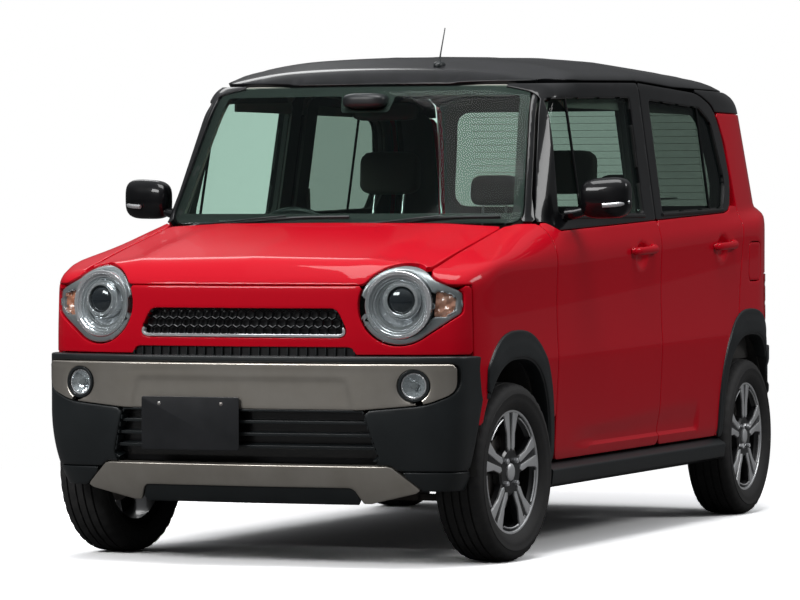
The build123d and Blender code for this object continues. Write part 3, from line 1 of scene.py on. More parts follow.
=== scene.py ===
"""Kei car: painted skin, glass, lamps, trim, wheels and cabin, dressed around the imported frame."""
import json
import logging
import math
from dataclasses import dataclass
from enum import Enum
from typing import Any, Callable

import bpy
import numpy as np
from mathutils import Matrix, Vector

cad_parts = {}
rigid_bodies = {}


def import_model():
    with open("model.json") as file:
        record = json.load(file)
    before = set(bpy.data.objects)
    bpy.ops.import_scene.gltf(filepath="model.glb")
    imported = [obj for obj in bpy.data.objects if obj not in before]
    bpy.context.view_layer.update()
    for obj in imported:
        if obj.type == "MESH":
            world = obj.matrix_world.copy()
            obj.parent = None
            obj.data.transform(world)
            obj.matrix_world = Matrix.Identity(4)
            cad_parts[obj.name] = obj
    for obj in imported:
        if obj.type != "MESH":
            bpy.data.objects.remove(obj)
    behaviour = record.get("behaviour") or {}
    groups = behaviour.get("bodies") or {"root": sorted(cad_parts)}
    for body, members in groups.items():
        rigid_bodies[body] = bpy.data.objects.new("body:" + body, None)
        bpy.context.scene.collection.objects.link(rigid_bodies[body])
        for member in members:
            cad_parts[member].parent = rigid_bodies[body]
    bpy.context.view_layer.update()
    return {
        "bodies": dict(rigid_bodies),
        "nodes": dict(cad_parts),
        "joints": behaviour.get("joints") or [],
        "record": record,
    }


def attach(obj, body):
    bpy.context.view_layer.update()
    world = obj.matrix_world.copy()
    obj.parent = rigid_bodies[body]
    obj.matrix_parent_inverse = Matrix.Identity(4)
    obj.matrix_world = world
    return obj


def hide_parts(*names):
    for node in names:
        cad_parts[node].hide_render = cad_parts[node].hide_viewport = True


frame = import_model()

Array = np.ndarray
LOG = logging.getLogger("kei_car")
MM = 0.001

# ---------------------------------------------------------------- sizes of the body, in millimetres
FRONT_END, REAR_END = -1697.5, 1697.5
FRONT_AXLE, REAR_AXLE, HUB_Z, HALF_TRACK = -1160.0, 1265.0, 281.0, 645.0
SIDE_X = 729.0
BODY_FRONT, BODY_REAR = FRONT_END + 20.0, REAR_END - 28.0
BUMPER_FRONT = FRONT_END + 11.0
WAIST_Z, RAIL_Z = 1069.0, 1508.0
# columns: half-width x and y at the waist, then x and y at the cant rail (glasshouse, front to rear)
GLASSHOUSE = [
    (0.0, -880.0, 0.0, -614.0), (180.0, -876.0, 165.0, -611.0), (350.0, -866.0, 315.0, -604.0),
    (500.0, -851.0, 447.0, -595.0), (590.0, -838.0, 526.0, -588.0), (624.0, -826.0, 560.0, -577.0),
    (641.0, -806.0, 597.0, -553.0), (652.0, -780.0, 611.0, -522.0), (668.0, -740.0, 622.0, -480.0),
    (690.0, -560.0, 636.0, -300.0), (703.0, -250.0, 645.0, -50.0), (708.0, 200.0, 648.0, 200.0),
    (708.0, 900.0, 648.0, 900.0), (700.0, 1250.0, 640.0, 1250.0), (682.0, 1460.0, 624.0, 1400.0),
    (655.0, 1560.0, 602.0, 1478.0), (600.0, 1614.0, 545.0, 1524.0), (350.0, 1642.0, 320.0, 1550.0),
    (0.0, 1652.0, 0.0, 1560.0),
]
# heights of the bonnet, wing tops and shoulders: half-widths across, then one row for each y
TOP_X = (0.0, 400.0, 570.0, 650.0, 700.0, 729.0, 800.0)
TOP_ROWS = {
    -1760.0: (925.0, 905.0, 872.0, 856.0, 838.0, 812.0, 740.0),
    -1600.0: (948.0, 936.0, 908.0, 892.0, 876.0, 852.0, 790.0),
    -1350.0: (995.0, 988.0, 966.0, 954.0, 948.0, 938.0, 900.0),
    -1100.0: (1034.0, 1030.0, 1016.0, 1002.0, 980.0, 950.0, 870.0),
    -880.0: (1068.0, 1067.0, 1060.0, 1048.0, 1014.0, 962.0, 840.0),
    -600.0: (1130.0, 1122.0, 1110.0, 1098.0, 1056.0, 976.0, 790.0),
    0.0: (1150.0, 1140.0, 1122.0, 1106.0, 1072.0, 1003.0, 830.0),
    1200.0: (1150.0, 1140.0, 1122.0, 1110.0, 1090.0, 1050.0, 940.0),
    1760.0: (1150.0, 1140.0, 1122.0, 1110.0, 1092.0, 1052.0, 940.0),
}
PLAN = [(-60.0, BODY_FRONT, 0.0), (0.0, BODY_FRONT, 0.0), (400.0, FRONT_END + 48.0, 900.0),
        (560.0, FRONT_END + 88.0, 300.0), (690.0, FRONT_END + 148.0, 120.0), (760.0, FRONT_END + 360.0, 300.0),
        (760.0, 1330.0, 300.0), (690.0, 1560.0, 130.0), (560.0, BODY_REAR - 12.0, 160.0), (0.0, BODY_REAR, 0.0),
        (-60.0, BODY_REAR, 0.0)]
SILHOUETTE = [(-1900.0, -300.0, 0.0), (-1900.0, 838.0, 0.0), (-660.0, 1500.0, 0.0), (-520.0, 1575.0, 120.0),
              (-300.0, 1620.0, 400.0), (350.0, 1638.0, 3000.0), (1150.0, 1618.0, 900.0), (1508.0, 1572.0, 90.0),
              (1575.0, 1400.0, 200.0), (1628.0, 1085.0, 60.0), (BODY_REAR, 1010.0, 80.0),
              (BODY_REAR, -300.0, 0.0)]
BUMPER_PLAN = [(-60.0, BUMPER_FRONT, 0.0), (0.0, BUMPER_FRONT, 0.0), (400.0, BUMPER_FRONT + 18.0, 900.0),
               (600.0, BUMPER_FRONT + 52.0, 300.0), (700.0, BUMPER_FRONT + 95.0, 100.0),
               (733.5, BUMPER_FRONT + 250.0, 200.0), (733.5, 0.0, 0.0), (-60.0, 0.0, 0.0)]
REAR_BUMPER_PLAN = [(-60.0, REAR_END, 0.0), (0.0, REAR_END, 0.0), (520.0, REAR_END - 12.0, 500.0),
                    (690.0, REAR_END - 70.0, 110.0), (733.5, REAR_END - 210.0, 150.0), (733.5, 0.0, 0.0),
                    (-60.0, 0.0, 0.0)]
# side outlines (y, z, corner radius)
B_LINE = 258.0
FRONT_DOOR = [(-792.0, 296.0, 40.0), (-792.0, 1050.0, 60.0), (-757.0, 1156.0, 300.0), (-633.0, 1477.0, 50.0),
              (-570.0, 1520.0, 60.0), (B_LINE, 1540.0, 14.0), (B_LINE, 296.0, 30.0)]
REAR_DOOR = [(B_LINE, 296.0, 30.0), (B_LINE, 1540.0, 14.0), (900.0, 1518.0, 500.0), (1080.0, 1470.0, 160.0),
             (1160.0, 1330.0, 120.0), (1196.0, 1110.0, 200.0), (1176.0, 930.0, 300.0), (1135.0, 740.0, 100.0),
             (1135.0, 520.0, 0.0), (900.0, 296.0, 0.0)]
FRONT_WINDOW = [(-640.0, 1086.0, 25.0), (-562.0, 1468.0, 30.0), (150.0, 1486.0, 18.0), (140.0, 1088.0, 18.0)]
REAR_WINDOW = [(340.0, 1092.0, 18.0), (346.0, 1482.0, 18.0), (900.0, 1466.0, 60.0), (1020.0, 1418.0, 90.0),
               (1100.0, 1200.0, 90.0), (1040.0, 1108.0, 40.0)]
BLACK_ZONE = [(-1000.0, 1064.0, 0.0), (-745.0, 1062.0, 14.0), (-686.0, 1036.0, 14.0), (1036.0, 1092.0, 25.0),
              (1118.0, 1104.0, 60.0), (1170.0, 1214.0, 120.0), (1140.0, 1360.0, 200.0), (1112.0, 1451.0, 0.0),
              (1900.0, 1451.0, 0.0), (1900.0, 1900.0, 0.0), (-1000.0, 1900.0, 0.0)]
FUEL_LID = [(1262.0, 845.0, 25.0), (1262.0, 985.0, 25.0), (1402.0, 985.0, 25.0), (1402.0, 845.0, 25.0)]
# front and rear outlines (half-width x, z, corner radius)
WINDSCREEN = [(0.0, 1058.0, 0.0), (620.0, 1058.0, 40.0), (550.0, 1512.0, 50.0), (0.0, 1514.0, 0.0)]
REAR_SCREEN = [(0.0, 1110.0, 0.0), (545.0, 1110.0, 60.0), (500.0, 1480.0, 70.0), (0.0, 1480.0, 0.0)]
TAILGATE = [(0.0, 610.0, 0.0), (565.0, 610.0, 50.0), (612.0, 1000.0, 60.0), (585.0, 1500.0, 60.0),
            (560.0, 1750.0, 0.0), (0.0, 1750.0, 0.0)]
SKID = [(0.0, 196.0, 0.0), (400.0, 196.0, 30.0), (570.0, 236.0, 12.0), (480.0, 316.0, 14.0), (0.0, 316.0, 0.0)]
GRILLE = [(0.0, 712.0, 0.0), (357.0, 712.0, 25.0), (312.0, 799.0, 30.0), (0.0, 799.0, 0.0)]
LOWER_GRILLE = [(0.0, 330.0, 0.0), (452.0, 330.0, 20.0), (405.0, 488.0, 10.0), (0.0, 488.0, 0.0)]
GARNISH = [(0.0, 490.0, 0.0), (400.0, 490.0, 300.0), (600.0, 508.0, 200.0), (690.0, 545.0, 50.0),
           (690.0, 632.0, 20.0), (0.0, 632.0, 0.0)]
TAIL_LAMP = [(640.0, 650.0, 20.0), (640.0, 868.0, 20.0), (760.0, 868.0, 0.0), (760.0, 650.0, 0.0)]
LAMP_X, LAMP_Z, LAMP_R = 507.0, 812.0, 124.0
LAMP_LOBE = [(507.0, 708.0, 0.0), (507.0, 916.0, 0.0), (560.0, 912.0, 60.0), (684.0, 852.0, 16.0),
             (684.0, 786.0, 20.0), (580.0, 712.0, 60.0)]
FOG_X, FOG_Z, FOG_R = 563.0, 566.0, 50.0
PLATE_ROWS = [(-165.0, -82.5, 8.0), (165.0, -82.5, 8.0), (165.0, 82.5, 8.0), (-165.0, 82.5, 8.0)]
PLATE_BOLT = [(0.0, 0.0), (2.0, 0.0), (2.0, 5.0), (1.2, 6.5), (0.0, 7.0)]   # along the bolt, and radius
GAP = 4.5                                   # shut lines between painted panels
BONNET_REAR, FASCIA_TOP, FASCIA_BOTTOM, WING_FRONT = -925.0, 872.0, 655.0, -1500.0
ROOF_SPLIT, ROOF_JOINT_Z, TAILGATE_FRONT = 1546.0, 1451.0, 1400.0
ARCH_A, FRONT_ARCH_B, REAR_ARCH_B = 303.0, 356.0, 372.0
ARCH_EDGE_A, FRONT_EDGE_B, REAR_EDGE_B = 348.0, 447.0, 466.0


# ---------------------------------------------------------------- surfaces worked out with numpy
def rounded(rows: list[tuple[float, float, float]], steps: int = 7) -> Array:
    """Close an outline and round its corners, each with a quadratic curve between its two tangent points.

    Args:
        rows: corner points with their radii.
        steps: points along each rounded corner.
    Returns:
        The outline's points, one row each.
    """
    p, radius = np.array([row[:2] for row in rows]), np.array([row[2] for row in rows])
    a, b = np.roll(p, 1, 0) - p, np.roll(p, -1, 0) - p
    la, lb = np.linalg.norm(a, axis=1), np.linalg.norm(b, axis=1)
    half = 0.5 * np.arccos(np.clip((a * b).sum(1) / (la * lb), -0.9999, 0.9999))
    reach = np.minimum(radius / np.tan(half), 0.49 * np.minimum(la, lb))
    start, end = p + a * (reach / la)[:, None], p + b * (reach / lb)[:, None]
    s = np.linspace(0, 1, steps)[None, :, None]
    curve = (1 - s) ** 2 * start[:, None] + 2 * s * (1 - s) * p[:, None] + s ** 2 * end[:, None]
    curve = curve.reshape(-1, 2)
    keep = np.linalg.norm(curve - np.roll(curve, 1, 0), axis=1) > 1e-3
    return curve[keep]


def distance(points: Array, outline: Array) -> Array:
    """Distance of 2-D points from a closed outline, negative inside it.

    The nearest point of each straight run is found by projection, and crossings of a level line say what is inside.

    Args:
        points: the points, one row each.
        outline: the outline's points in order.
    Returns:
        One signed distance for each point.
    """
    a, b = outline, np.roll(outline, -1, 0)
    ab = b - a
    length2 = (ab ** 2).sum(1)
    result = np.empty(len(points))
    for low in range(0, len(points), 20000):
        p = points[low:low + 20000]
        ap = p[:, None] - a
        t = np.clip((ap * ab).sum(2) / length2, 0, 1)
        gap = np.sqrt(((ap - t[..., None] * ab) ** 2).sum(2)).min(1)
        over = (a[:, 1] > p[:, 1:]) != (b[:, 1] > p[:, 1:])
        rise = np.where(np.abs(ab[:, 1]) < 1e-9, 1e-9, ab[:, 1])
        cross = over & (p[:, :1] < ab[:, 0] * (p[:, 1:] - a[:, 1]) / rise + a[:, 0])
        result[low:low + 20000] = np.where(cross.sum(1) % 2 == 1, -gap, gap)
    return result


def smooth_max(a: Array, b: Array, width: float) -> Array:
    """The larger of two values, blended with a parabola where they differ by less than a width."""
    near = np.maximum(width - np.abs(a - b), 0)
    return np.maximum(a, b) + near * near / (4 * width)


def smooth_min(a: Array, b: Array, width: float) -> Array:
    """The smaller of two values, blended in the same way."""
    return -smooth_max(-a, -b, width)


def smooth_step(t: Array) -> Array:
    """Rise from 0 to 1 as t does, with level ends."""
    t = np.clip(t, 0, 1)
    return t * t * (3 - 2 * t)


def ramp(t: Array, width: float) -> Array:
    """Zero below 0 and t above it, rounded over a width."""
    return (t + np.sqrt(t * t + width * width)) / 2


@dataclass
class Field:
    """Values on a square grid, read between its points."""
    values: Array
    low: tuple[float, float]
    step: float

    def __call__(self, a: Array, b: Array) -> Array:
        """Read the grid at points, by the weighted mean of the four corners around each."""
        s = np.clip((a - self.low[0]) / self.step, 0, self.values.shape[0] - 1.001)
        t = np.clip((b - self.low[1]) / self.step, 0, self.values.shape[1] - 1.001)
        i, j = s.astype(int), t.astype(int)
        s, t, v = s - i, t - j, self.values
        return (v[i, j] * (1 - s) + v[i + 1, j] * s) * (1 - t) + (v[i, j + 1] * (1 - s) + v[i + 1, j + 1] * s) * t

    @classmethod
    def of_outline(cls, rows: list[tuple[float, float, float]], low: tuple[float, float],
                   high: tuple[float, float], step: float = 5.0) -> "Field":
        """Tabulate the signed distance from a rounded outline over a rectangle."""
        a, b = np.arange(low[0], high[0], step), np.arange(low[1], high[1], step)
        grid = np.stack(np.meshgrid(a, b, indexing="ij"), -1)
        return cls(distance(grid.reshape(-1, 2), rounded(rows, 12)).reshape(grid.shape[:2]), low, step)


def blurred(values: Array, sigma: float, axis: int) -> Array:
    """Smooth a grid along one axis with a bell curve, its ends held."""
    reach = int(3 * sigma) + 1
    weights = np.exp(-0.5 * (np.arange(-reach, reach + 1) / sigma) ** 2)
    weights /= weights.sum()
    pad = [(reach, reach) if k == axis else (0, 0) for k in range(2)]
    padded = np.pad(values, pad, mode="reflect", reflect_type="odd")
    return np.apply_along_axis(lambda row: np.convolve(row, weights, "valid"), axis, padded)


class BodySkin:
    """The painted body as one function of a point: negative inside, zero on the skin, and about its distance."""

    def __init__(self) -> None:
        """Tabulate the outlines and the planes of the glasshouse."""
        self.plan = Field.of_outline(PLAN, (-20.0, -1800.0), (820.0, 1800.0))
        self.side_view = Field.of_outline(SILHOUETTE, (-1800.0, 0.0), (1800.0, 1750.0))
        self.top, self.top_slope = self._top_heights()
        rows = np.array(GLASSHOUSE)
        lower = np.c_[rows[:, :2], np.full(len(rows), WAIST_Z)]
        upper = np.c_[rows[:, 2:], np.full(len(rows), RAIL_Z)]
        normal = np.cross(lower[1:] - lower[:-1], upper[:-1] - lower[:-1])
        self.normals = normal / np.linalg.norm(normal, axis=1)[:, None]
        self.offsets = (self.normals * lower[:-1]).sum(1)

    @staticmethod
    def _top_heights() -> tuple[Field, Field]:
        """Tabulate the height of the bonnet and shoulders, and the length of its normal."""
        step = 10.0
        across, along = np.arange(0, 800, step), np.arange(-1760, 1760, step)
        stations = np.array(list(TOP_ROWS))
        rows = np.array([np.interp(across, TOP_X, TOP_ROWS[y]) for y in stations])
        heights = np.stack([np.interp(along, stations, rows[:, k]) for k in range(len(across))])
        heights = blurred(blurred(heights, 1.6, 0), 6.0, 1)
        x, y = np.meshgrid(across, along, indexing="ij")
        brow = 13.0 * np.exp(-((x - 500) / 95) ** 2 - ((y + 1590) / 70) ** 2)
        plateau = 6.0 * smooth_step((470 - x) / 110) * smooth_step((y + 1700) / 120) * smooth_step((-860 - y) / 260)
        heights += brow + plateau
        slope_x, slope_y = np.gradient(heights, step)
        return (Field(heights, (0.0, -1760.0), step),
                Field(np.sqrt(1 + slope_x ** 2 + slope_y ** 2), (0.0, -1760.0), step))

    @staticmethod
    def side_width(y: Array, z: Array) -> Array:
        """Half-width of the lower body.

        A hollow runs between the shoulder line and the waist crease, the side tucks in below that, and a scallop
        with a sharp lower edge is pressed into the bottom of the doors.
        """
        crease, shoulder = 628 + 0.0142 * (y + 816), 1001 + 0.0446 * (y + 6)
        t = np.clip((z - crease) / (shoulder - crease), 0, 1)
        width = SIDE_X - 28.0 * t * (1 - t) - 0.05 * ramp(crease - z, 14) - 9.0 * smooth_step((335 - z) / 70)
        upper = 440 - 36 * smooth_step((500 - y) / 900)
        scallop = smooth_step((z - 333) / 10) * smooth_step((upper - z) / (upper - 350))
        return width - 9.0 * scallop * smooth_step((y + 690) / 330) * smooth_step((690 - y) / 16)

    def __call__(self, p: Array) -> Array:
        """Read the function at points in millimetres."""
        x, y, z = np.abs(p[:, 0]), p[:, 1], p[:, 2]
        nose = 6.0 * smooth_step((z - 700) / 170) + 0.94 * ramp(z - 880, 20) - 0.94 * ramp(z * 0 - 880, 20)
        plan = self.plan(x, y - np.where(y < 0, nose, 0))
        crown = 8 * (x / 300) ** 2 + 26 * (np.maximum(x - 300, 0) / 300) ** 2
        roof = self.side_view(y, z + crown * (z > 900))
        planes = np.stack([x, y, z], 1) @ self.normals.T - self.offsets
        peak = planes.max(1)
        glass = peak + 2.5 * np.log(np.exp((planes - peak[:, None]) / 2.5).sum(1))
        house = smooth_max(glass, roof, 55.0)
        top = (z - self.top(x, y)) / self.top_slope(x, y)
        body = smooth_min(house, top, 16.0)
        body = smooth_max(body, x - self.side_width(y, z), 26.0)
        return smooth_max(smooth_max(body, plan, 26.0), roof, 16.0)


class BumperSkin:
    """A bumper's outer face as one function of a point: its plan outline, drawn in towards the lower edge."""

    def __init__(self, rows: list[tuple[float, float, float]], sign: float) -> None:
        """Tabulate the plan; sign is -1 at the front and 1 at the rear."""
        ys = sorted((0.0, sign * 1760.0))
        self.plan = Field.of_outline(rows, (-20.0, ys[0]), (820.0, ys[1]))
        self.sign = sign

    def __call__(self, p: Array) -> Array:
        """Read the function at points in millimetres."""
        x, y, z = np.abs(p[:, 0]), p[:, 1], p[:, 2]
        tuck = 38.0 * np.clip((480 - z) / 188, 0, 2) ** 2
        side = 733.5 - 30.0 * np.clip((480 - z) / 150, 0, 2) ** 1.7
        return smooth_max(self.plan(x, y + self.sign * tuck), x - side, 60.0)


BODY = BodySkin()
FRONT_BUMPER, REAR_BUMPER = BumperSkin(BUMPER_PLAN, -1.0), BumperSkin(REAR_BUMPER_PLAN, 1.0)
Skin = Callable[[Array], Array]


class Shape:
    """A region of space: a function that is negative inside, with set operators."""

    def __init__(self, function: Callable[[Array], Array]) -> None:
        """Wrap the function."""
        self.function = function

    def __call__(self, p: Array) -> Array:
        """Read the function at points."""
        return self.function(p)

    def __and__(self, other: "Shape") -> "Shape":
        """Keep what is in both."""
        return Shape(lambda p: np.maximum(self(p), other(p)))

    def __or__(self, other: "Shape") -> "Shape":
        """Keep what is in either."""
        return Shape(lambda p: np.minimum(self(p), other(p)))

    def __sub__(self, other: "Shape") -> "Shape":
        """Cut the other away."""
        return Shape(lambda p: np.maximum(self(p), -other(p)))

    def grow(self, by: float) -> "Shape":
        """Move the border out."""
        return Shape(lambda p: self(p) - by)


def seen_from_side(rows: list[tuple[float, float, float]]) -> Shape:
    """The region of a side outline, through the whole width."""
    outline = rounded(rows)
    return Shape(lambda p: distance(p[:, 1:], outline))


def seen_from_front(rows: list[tuple[float, float, float]]) -> Shape:
    """The region of a half outline seen from the front, on both sides of the middle."""
    rows = [(-60.0, b, r) if a == 0.0 else (a, b, r) for a, b, r in rows]
    outline = rounded(rows)
    return Shape(lambda p: distance(np.c_[np.abs(p[:, 0]), p[:, 2]], outline))


def limit(axis: int, low: float = -1e4, high: float = 1e4) -> Shape:
    """The region between two planes."""
    return Shape(lambda p: np.maximum(low - p[:, axis], p[:, axis] - high))


def round_hole(x: float, z: float, r: float) -> Shape:
    """A round region seen from the front, on the side of its x."""
    return Shape(lambda p: np.hypot(p[:, 0] - x, p[:, 2] - z) - r)


def wheel_arch(axle: float, half: float, rise: float) -> Shape:
    """The region of a wheel arch: a half ellipse over the hub, with straight sides below it."""
    def function(p: Array) -> Array:
        """Read the arch at points."""
        y, z = p[:, 1] - axle, p[:, 2] - HUB_Z
        power = 2.5
        upper = (np.abs(y / half) ** power + np.maximum(z / rise, 0) ** power) ** (1 / power) - 1
        return upper * min(half, rise)
    return Shape(function)


class Way(Enum):
    """How rays leave the middle of the car towards its skin."""
    ROUND_Z = "angle from the nose towards the left, height"
    ROUND_X = "angle from the nose up and over, sideways place"
    ROUND_Y = "angle from the left side up and over, lengthways place"
    SIDEWAYS = "lengthways place, height"
    FORWARD = "sideways place, height, towards the nose"
    REARWARD = "sideways place, height, towards the tail"


@dataclass(frozen=True)
class Rays:
    """A two-parameter family of rays; an angle is given as the arc it spans at a radius."""
    way: Way
    centre: tuple[float, float] = (0.0, 0.0)
    radius: float = 700.0
    reach: float = 1500.0

    def __call__(self, uv: Array) -> tuple[Array, Array]:
        """Give each ray's start and direction."""
        u, v = uv[:, 0], uv[:, 1]
        zero, one, (a, b) = np.zeros_like(u), np.ones_like(u), self.centre
        c, s = np.cos(u / self.radius), np.sin(u / self.radius)
        start, direction = {
            Way.ROUND_Z: ((a + zero, b + zero, v), (s, -c, zero)),
            Way.ROUND_X: ((v, a + zero, b + zero), (zero, -c, s)),
            Way.ROUND_Y: ((a + zero, v, b + zero), (c, zero, s)),
            Way.SIDEWAYS: ((a + zero, u, v), (one, zero, zero)),
            Way.FORWARD: ((u, a + zero, v), (zero, -one, zero)),
            Way.REARWARD: ((u, a + zero, v), (zero, one, zero)),
        }[self.way]
        return np.stack(start, 1), np.stack(direction, 1)


NOSE_RAYS = Rays(Way.ROUND_Z, (0.0, -1150.0), 560.0, 900.0)
QUARTER_RAYS = Rays(Way.ROUND_Z, (250.0, 950.0), 500.0, 1500.0)
SIDE_RAYS = Rays(Way.SIDEWAYS, reach=900.0)
TAIL_RAYS = Rays(Way.REARWARD, (600.0, 0.0), reach=1500.0)


def cast(rays: Rays, skin: Skin, level: float, uv: Array) -> Array:
    """Find where rays meet a skin at a level, by halving the span 17 times."""
    start, direction = rays(uv)
    low, high = np.zeros(len(uv)), np.full(len(uv), rays.reach)
    for _ in range(17):
        middle = (low + high) / 2
        inside = skin(start + direction * middle[:, None]) < level
        low, high = np.where(inside, middle, low), np.where(inside, high, middle)
    return start + direction * ((low + high) / 2)[:, None]


def gradient(function: Callable[[Array], Array], p: Array, step: float = 2.0) -> Array:
    """Unit direction in which a function of a point grows, from differences to each side."""
    moves = np.eye(3) * step
    slope = np.stack([function(p + m) - function(p - m) for m in moves], 1)
    return slope / np.maximum(np.linalg.norm(slope, axis=1), 1e-9)[:, None]


@dataclass
class Mesh:
    """Points in millimetres and faces as arrays of one size each."""
    points: Array
    faces: list[Array]

    def flipped(self) -> "Mesh":
        """Turn every face round."""
        return Mesh(self.points, [f[:, ::-1] for f in self.faces])

    def mirrored(self) -> "Mesh":
        """The same piece on the other side of the car, facing outwards."""
        return Mesh(self.points * (-1, 1, 1), [f[:, ::-1] for f in self.faces])

    def moved(self, matrix: Matrix) -> "Mesh":
        """Place the piece with a matrix in millimetres."""
        m = np.array(matrix)
        return Mesh(self.points @ m[:3, :3].T + m[:3, 3], self.faces)

    def __add__(self, other: "Mesh") -> "Mesh":
        """Join two pieces."""
        shift = len(self.points)
        return Mesh(np.r_[self.points, other.points], self.faces + [f + shift for f in other.faces])


def joined(parts: list[Mesh]) -> Mesh:
    """Join several pieces."""
    result = parts[0]
    for part in parts[1:]:
        result = result + part
    return result


def trimmed(surface: Callable[[Array], Array], outline: Shape, us: Array, vs: Array) -> Mesh:
    """Cut a grid over a surface along the border of a region.

    Grid points near the border slide on to it. Cells that the border crosses keep the corners inside and gain a
    point where it crosses each side, found by linear steps.

    Args:
        surface: place in space for rows of parameters.
        outline: the region to keep.
        us: values of the first parameter.
        vs: values of the second parameter.
    Returns:
        The part of the sheet inside the region.
    """
    nu, nv, du, dv = len(us), len(vs), us[1] - us[0], vs[1] - vs[0]
    uv = np.stack(np.meshgrid(us, vs, indexing="ij"), -1).reshape(-1, 2)
    points = surface(uv)
    g = outline(points)
    gu, gv = np.gradient(g.reshape(nu, nv), du, dv)
    slope = np.stack([gu.ravel(), gv.ravel()], 1)
    size2 = np.maximum((slope ** 2).sum(1), 0.05)
    near = np.flatnonzero(np.abs(g) < 0.32 * min(du, dv) * np.sqrt(size2))
    for _ in range(2):
        uv[near] -= slope[near] * (g[near] / size2[near])[:, None]
        points[near] = surface(uv[near])
        g[near] = outline(points[near])
    g[near[np.abs(g[near]) < 1.5]] = 0.0
    ids = np.arange(nu * nv).reshape(nu, nv)
    a = np.r_[ids[:-1].ravel(), ids[:, :-1].ravel()]
    b = np.r_[ids[1:].ravel(), ids[:, 1:].ravel()]
    crossing = np.flatnonzero(g[a] * g[b] < 0)
    a, b = a[crossing], b[crossing]
    lo, hi, glo, ghi = np.zeros(len(a)), np.ones(len(a)), g[a].copy(), g[b].copy()
    for _ in range(5):
        t = lo + (hi - lo) * np.clip(glo / (glo - ghi), 0.02, 0.98)
        cut = surface(uv[a] + t[:, None] * (uv[b] - uv[a]))
        value = outline(cut)
        same = value * glo > 0
        lo, glo = np.where(same, t, lo), np.where(same, value, glo)
        hi, ghi = np.where(same, hi, t), np.where(same, ghi, value)
    cut_id = np.full((nu - 1) * nv + nu * (nv - 1), -1)
    cut_id[crossing] = nu * nv + np.arange(len(crossing))
    lengthways, crossways = cut_id[:(nu - 1) * nv].reshape(nu - 1, nv), cut_id[(nu - 1) * nv:].reshape(nu, nv - 1)
    kept = np.where(g <= 0, np.arange(nu * nv), -1).reshape(nu, nv)
    slots = np.stack([kept[:-1, :-1], lengthways[:, :-1], kept[1:, :-1], crossways[1:], kept[1:, 1:],
                      lengthways[:, 1:], kept[:-1, 1:], crossways[:-1]], -1).reshape(-1, 8)
    inner = (g < 0).reshape(nu, nv)
    some = (inner[:-1, :-1] | inner[1:, :-1] | inner[1:, 1:] | inner[:-1, 1:]).ravel()
    count = np.where(some, (slots >= 0).sum(1), 0)
    faces = []
    for n in range(3, 9):
        chosen = slots[count == n]
        if len(chosen):
            faces.append(chosen[chosen >= 0].reshape(-1, n))
    used = np.unique(np.concatenate([f.ravel() for f in faces]))
    order = np.full(nu * nv + len(crossing), -1)
    order[used] = np.arange(len(used))
    return Mesh(np.r_[points, cut][used], [order[f] for f in faces])


def face_normals(mesh: Mesh) -> Array:
    """Mean normal of each face's first three corners, for all faces in turn."""
    corners = np.concatenate([f[:, :3] for f in mesh.faces])
    p = mesh.points[corners]
    return np.cross(p[:, 1] - p[:, 0], p[:, 2] - p[:, 0])


@dataclass
class Panel:
    """A panel pressed from a skin: a trimmed sheet with rolled edges, side walls and a back."""
    outline: Shape
    rays: Rays
    u: tuple[float, float]
    v: tuple[float, float]
    skin: Skin = BODY
    level: float = 0.0
    depth: float = 14.0
    roll: float = 2.5
    cell: float = 13.0
    relief: Callable[[Array], Array] | None = None

    def mesh(self) -> Mesh:
        """Build the closed shell."""
        us = np.linspace(*self.u, int(abs(self.u[1] - self.u[0]) / self.cell) + 2)
        vs = np.linspace(*self.v, int(abs(self.v[1] - self.v[0]) / self.cell) + 2)
        inner = self.outline.grow(-self.roll)
        sheet = trimmed(lambda uv: cast(self.rays, self.skin, self.level, uv), inner, us, vs)
        p, count = sheet.points, len(sheet.points)
        normal = gradient(self.skin, p)
        corners = np.concatenate([f[:, 0] for f in sheet.faces])
        if (face_normals(sheet) * normal[corners]).sum() < 0:
            sheet = sheet.flipped()
        ends = np.concatenate([np.stack([f.ravel(), np.roll(f, -1, 1).ravel()], 1) for f in sheet.faces])
        codes, reverse = ends[:, 0] * count + ends[:, 1], ends[:, 1] * count + ends[:, 0]
        border = ends[~np.isin(reverse, codes)]
        rim = np.unique(border)
        where = np.full(count, -1)
        where[rim] = np.arange(len(rim))
        out = gradient(self.outline, p[rim], 1.0)
        out -= (out * normal[rim]).sum(1)[:, None] * normal[rim]
        out /= np.maximum(np.linalg.norm(out, axis=1), 1e-6)[:, None]
        if self.relief:
            p = p + normal * self.relief(p)[:, None]
        rings = [rim]
        points = [p]
        total = count
        for angle, drop in ((0.5, 0), (1.0, 0), (math.pi / 2, 0), (math.pi / 2, self.depth)):
            shift = out * self.roll * math.sin(angle)
            fall = max(drop, self.roll * (1 - math.cos(angle)))
            points.append(p[rim] + shift - normal[rim] * fall)
            rings.append(total + np.arange(len(rim)))
            total += len(rim)
        faces = list(sheet.faces)
        a, b = where[border[:, 0]], where[border[:, 1]]
        for near, far in zip(rings[:-1], rings[1:]):
            faces.append(np.stack([near[b], near[a], far[a], far[b]], 1))
        back = np.setdiff1d(np.arange(count), rim)
        behind = np.empty(count, int)
        behind[rim] = rings[-1]
        behind[back] = total + np.arange(len(back))
        points.append(p[back] - normal[back] * self.depth)
        faces += [behind[f][:, ::-1] for f in sheet.faces]
        return Mesh(np.concatenate(points), faces)


# ---------------------------------------------------------------- solids turned, pressed and swept in numpy
def grid_quads(rows: int, n: int) -> Array:
    """Faces of an open sheet of rows of n points each."""
    i, j = np.meshgrid(np.arange(rows - 1), np.arange(n - 1), indexing="ij")
    return np.stack([i * n + j, (i + 1) * n + j, (i + 1) * n + j + 1, i * n + j + 1], -1).reshape(-1, 4)


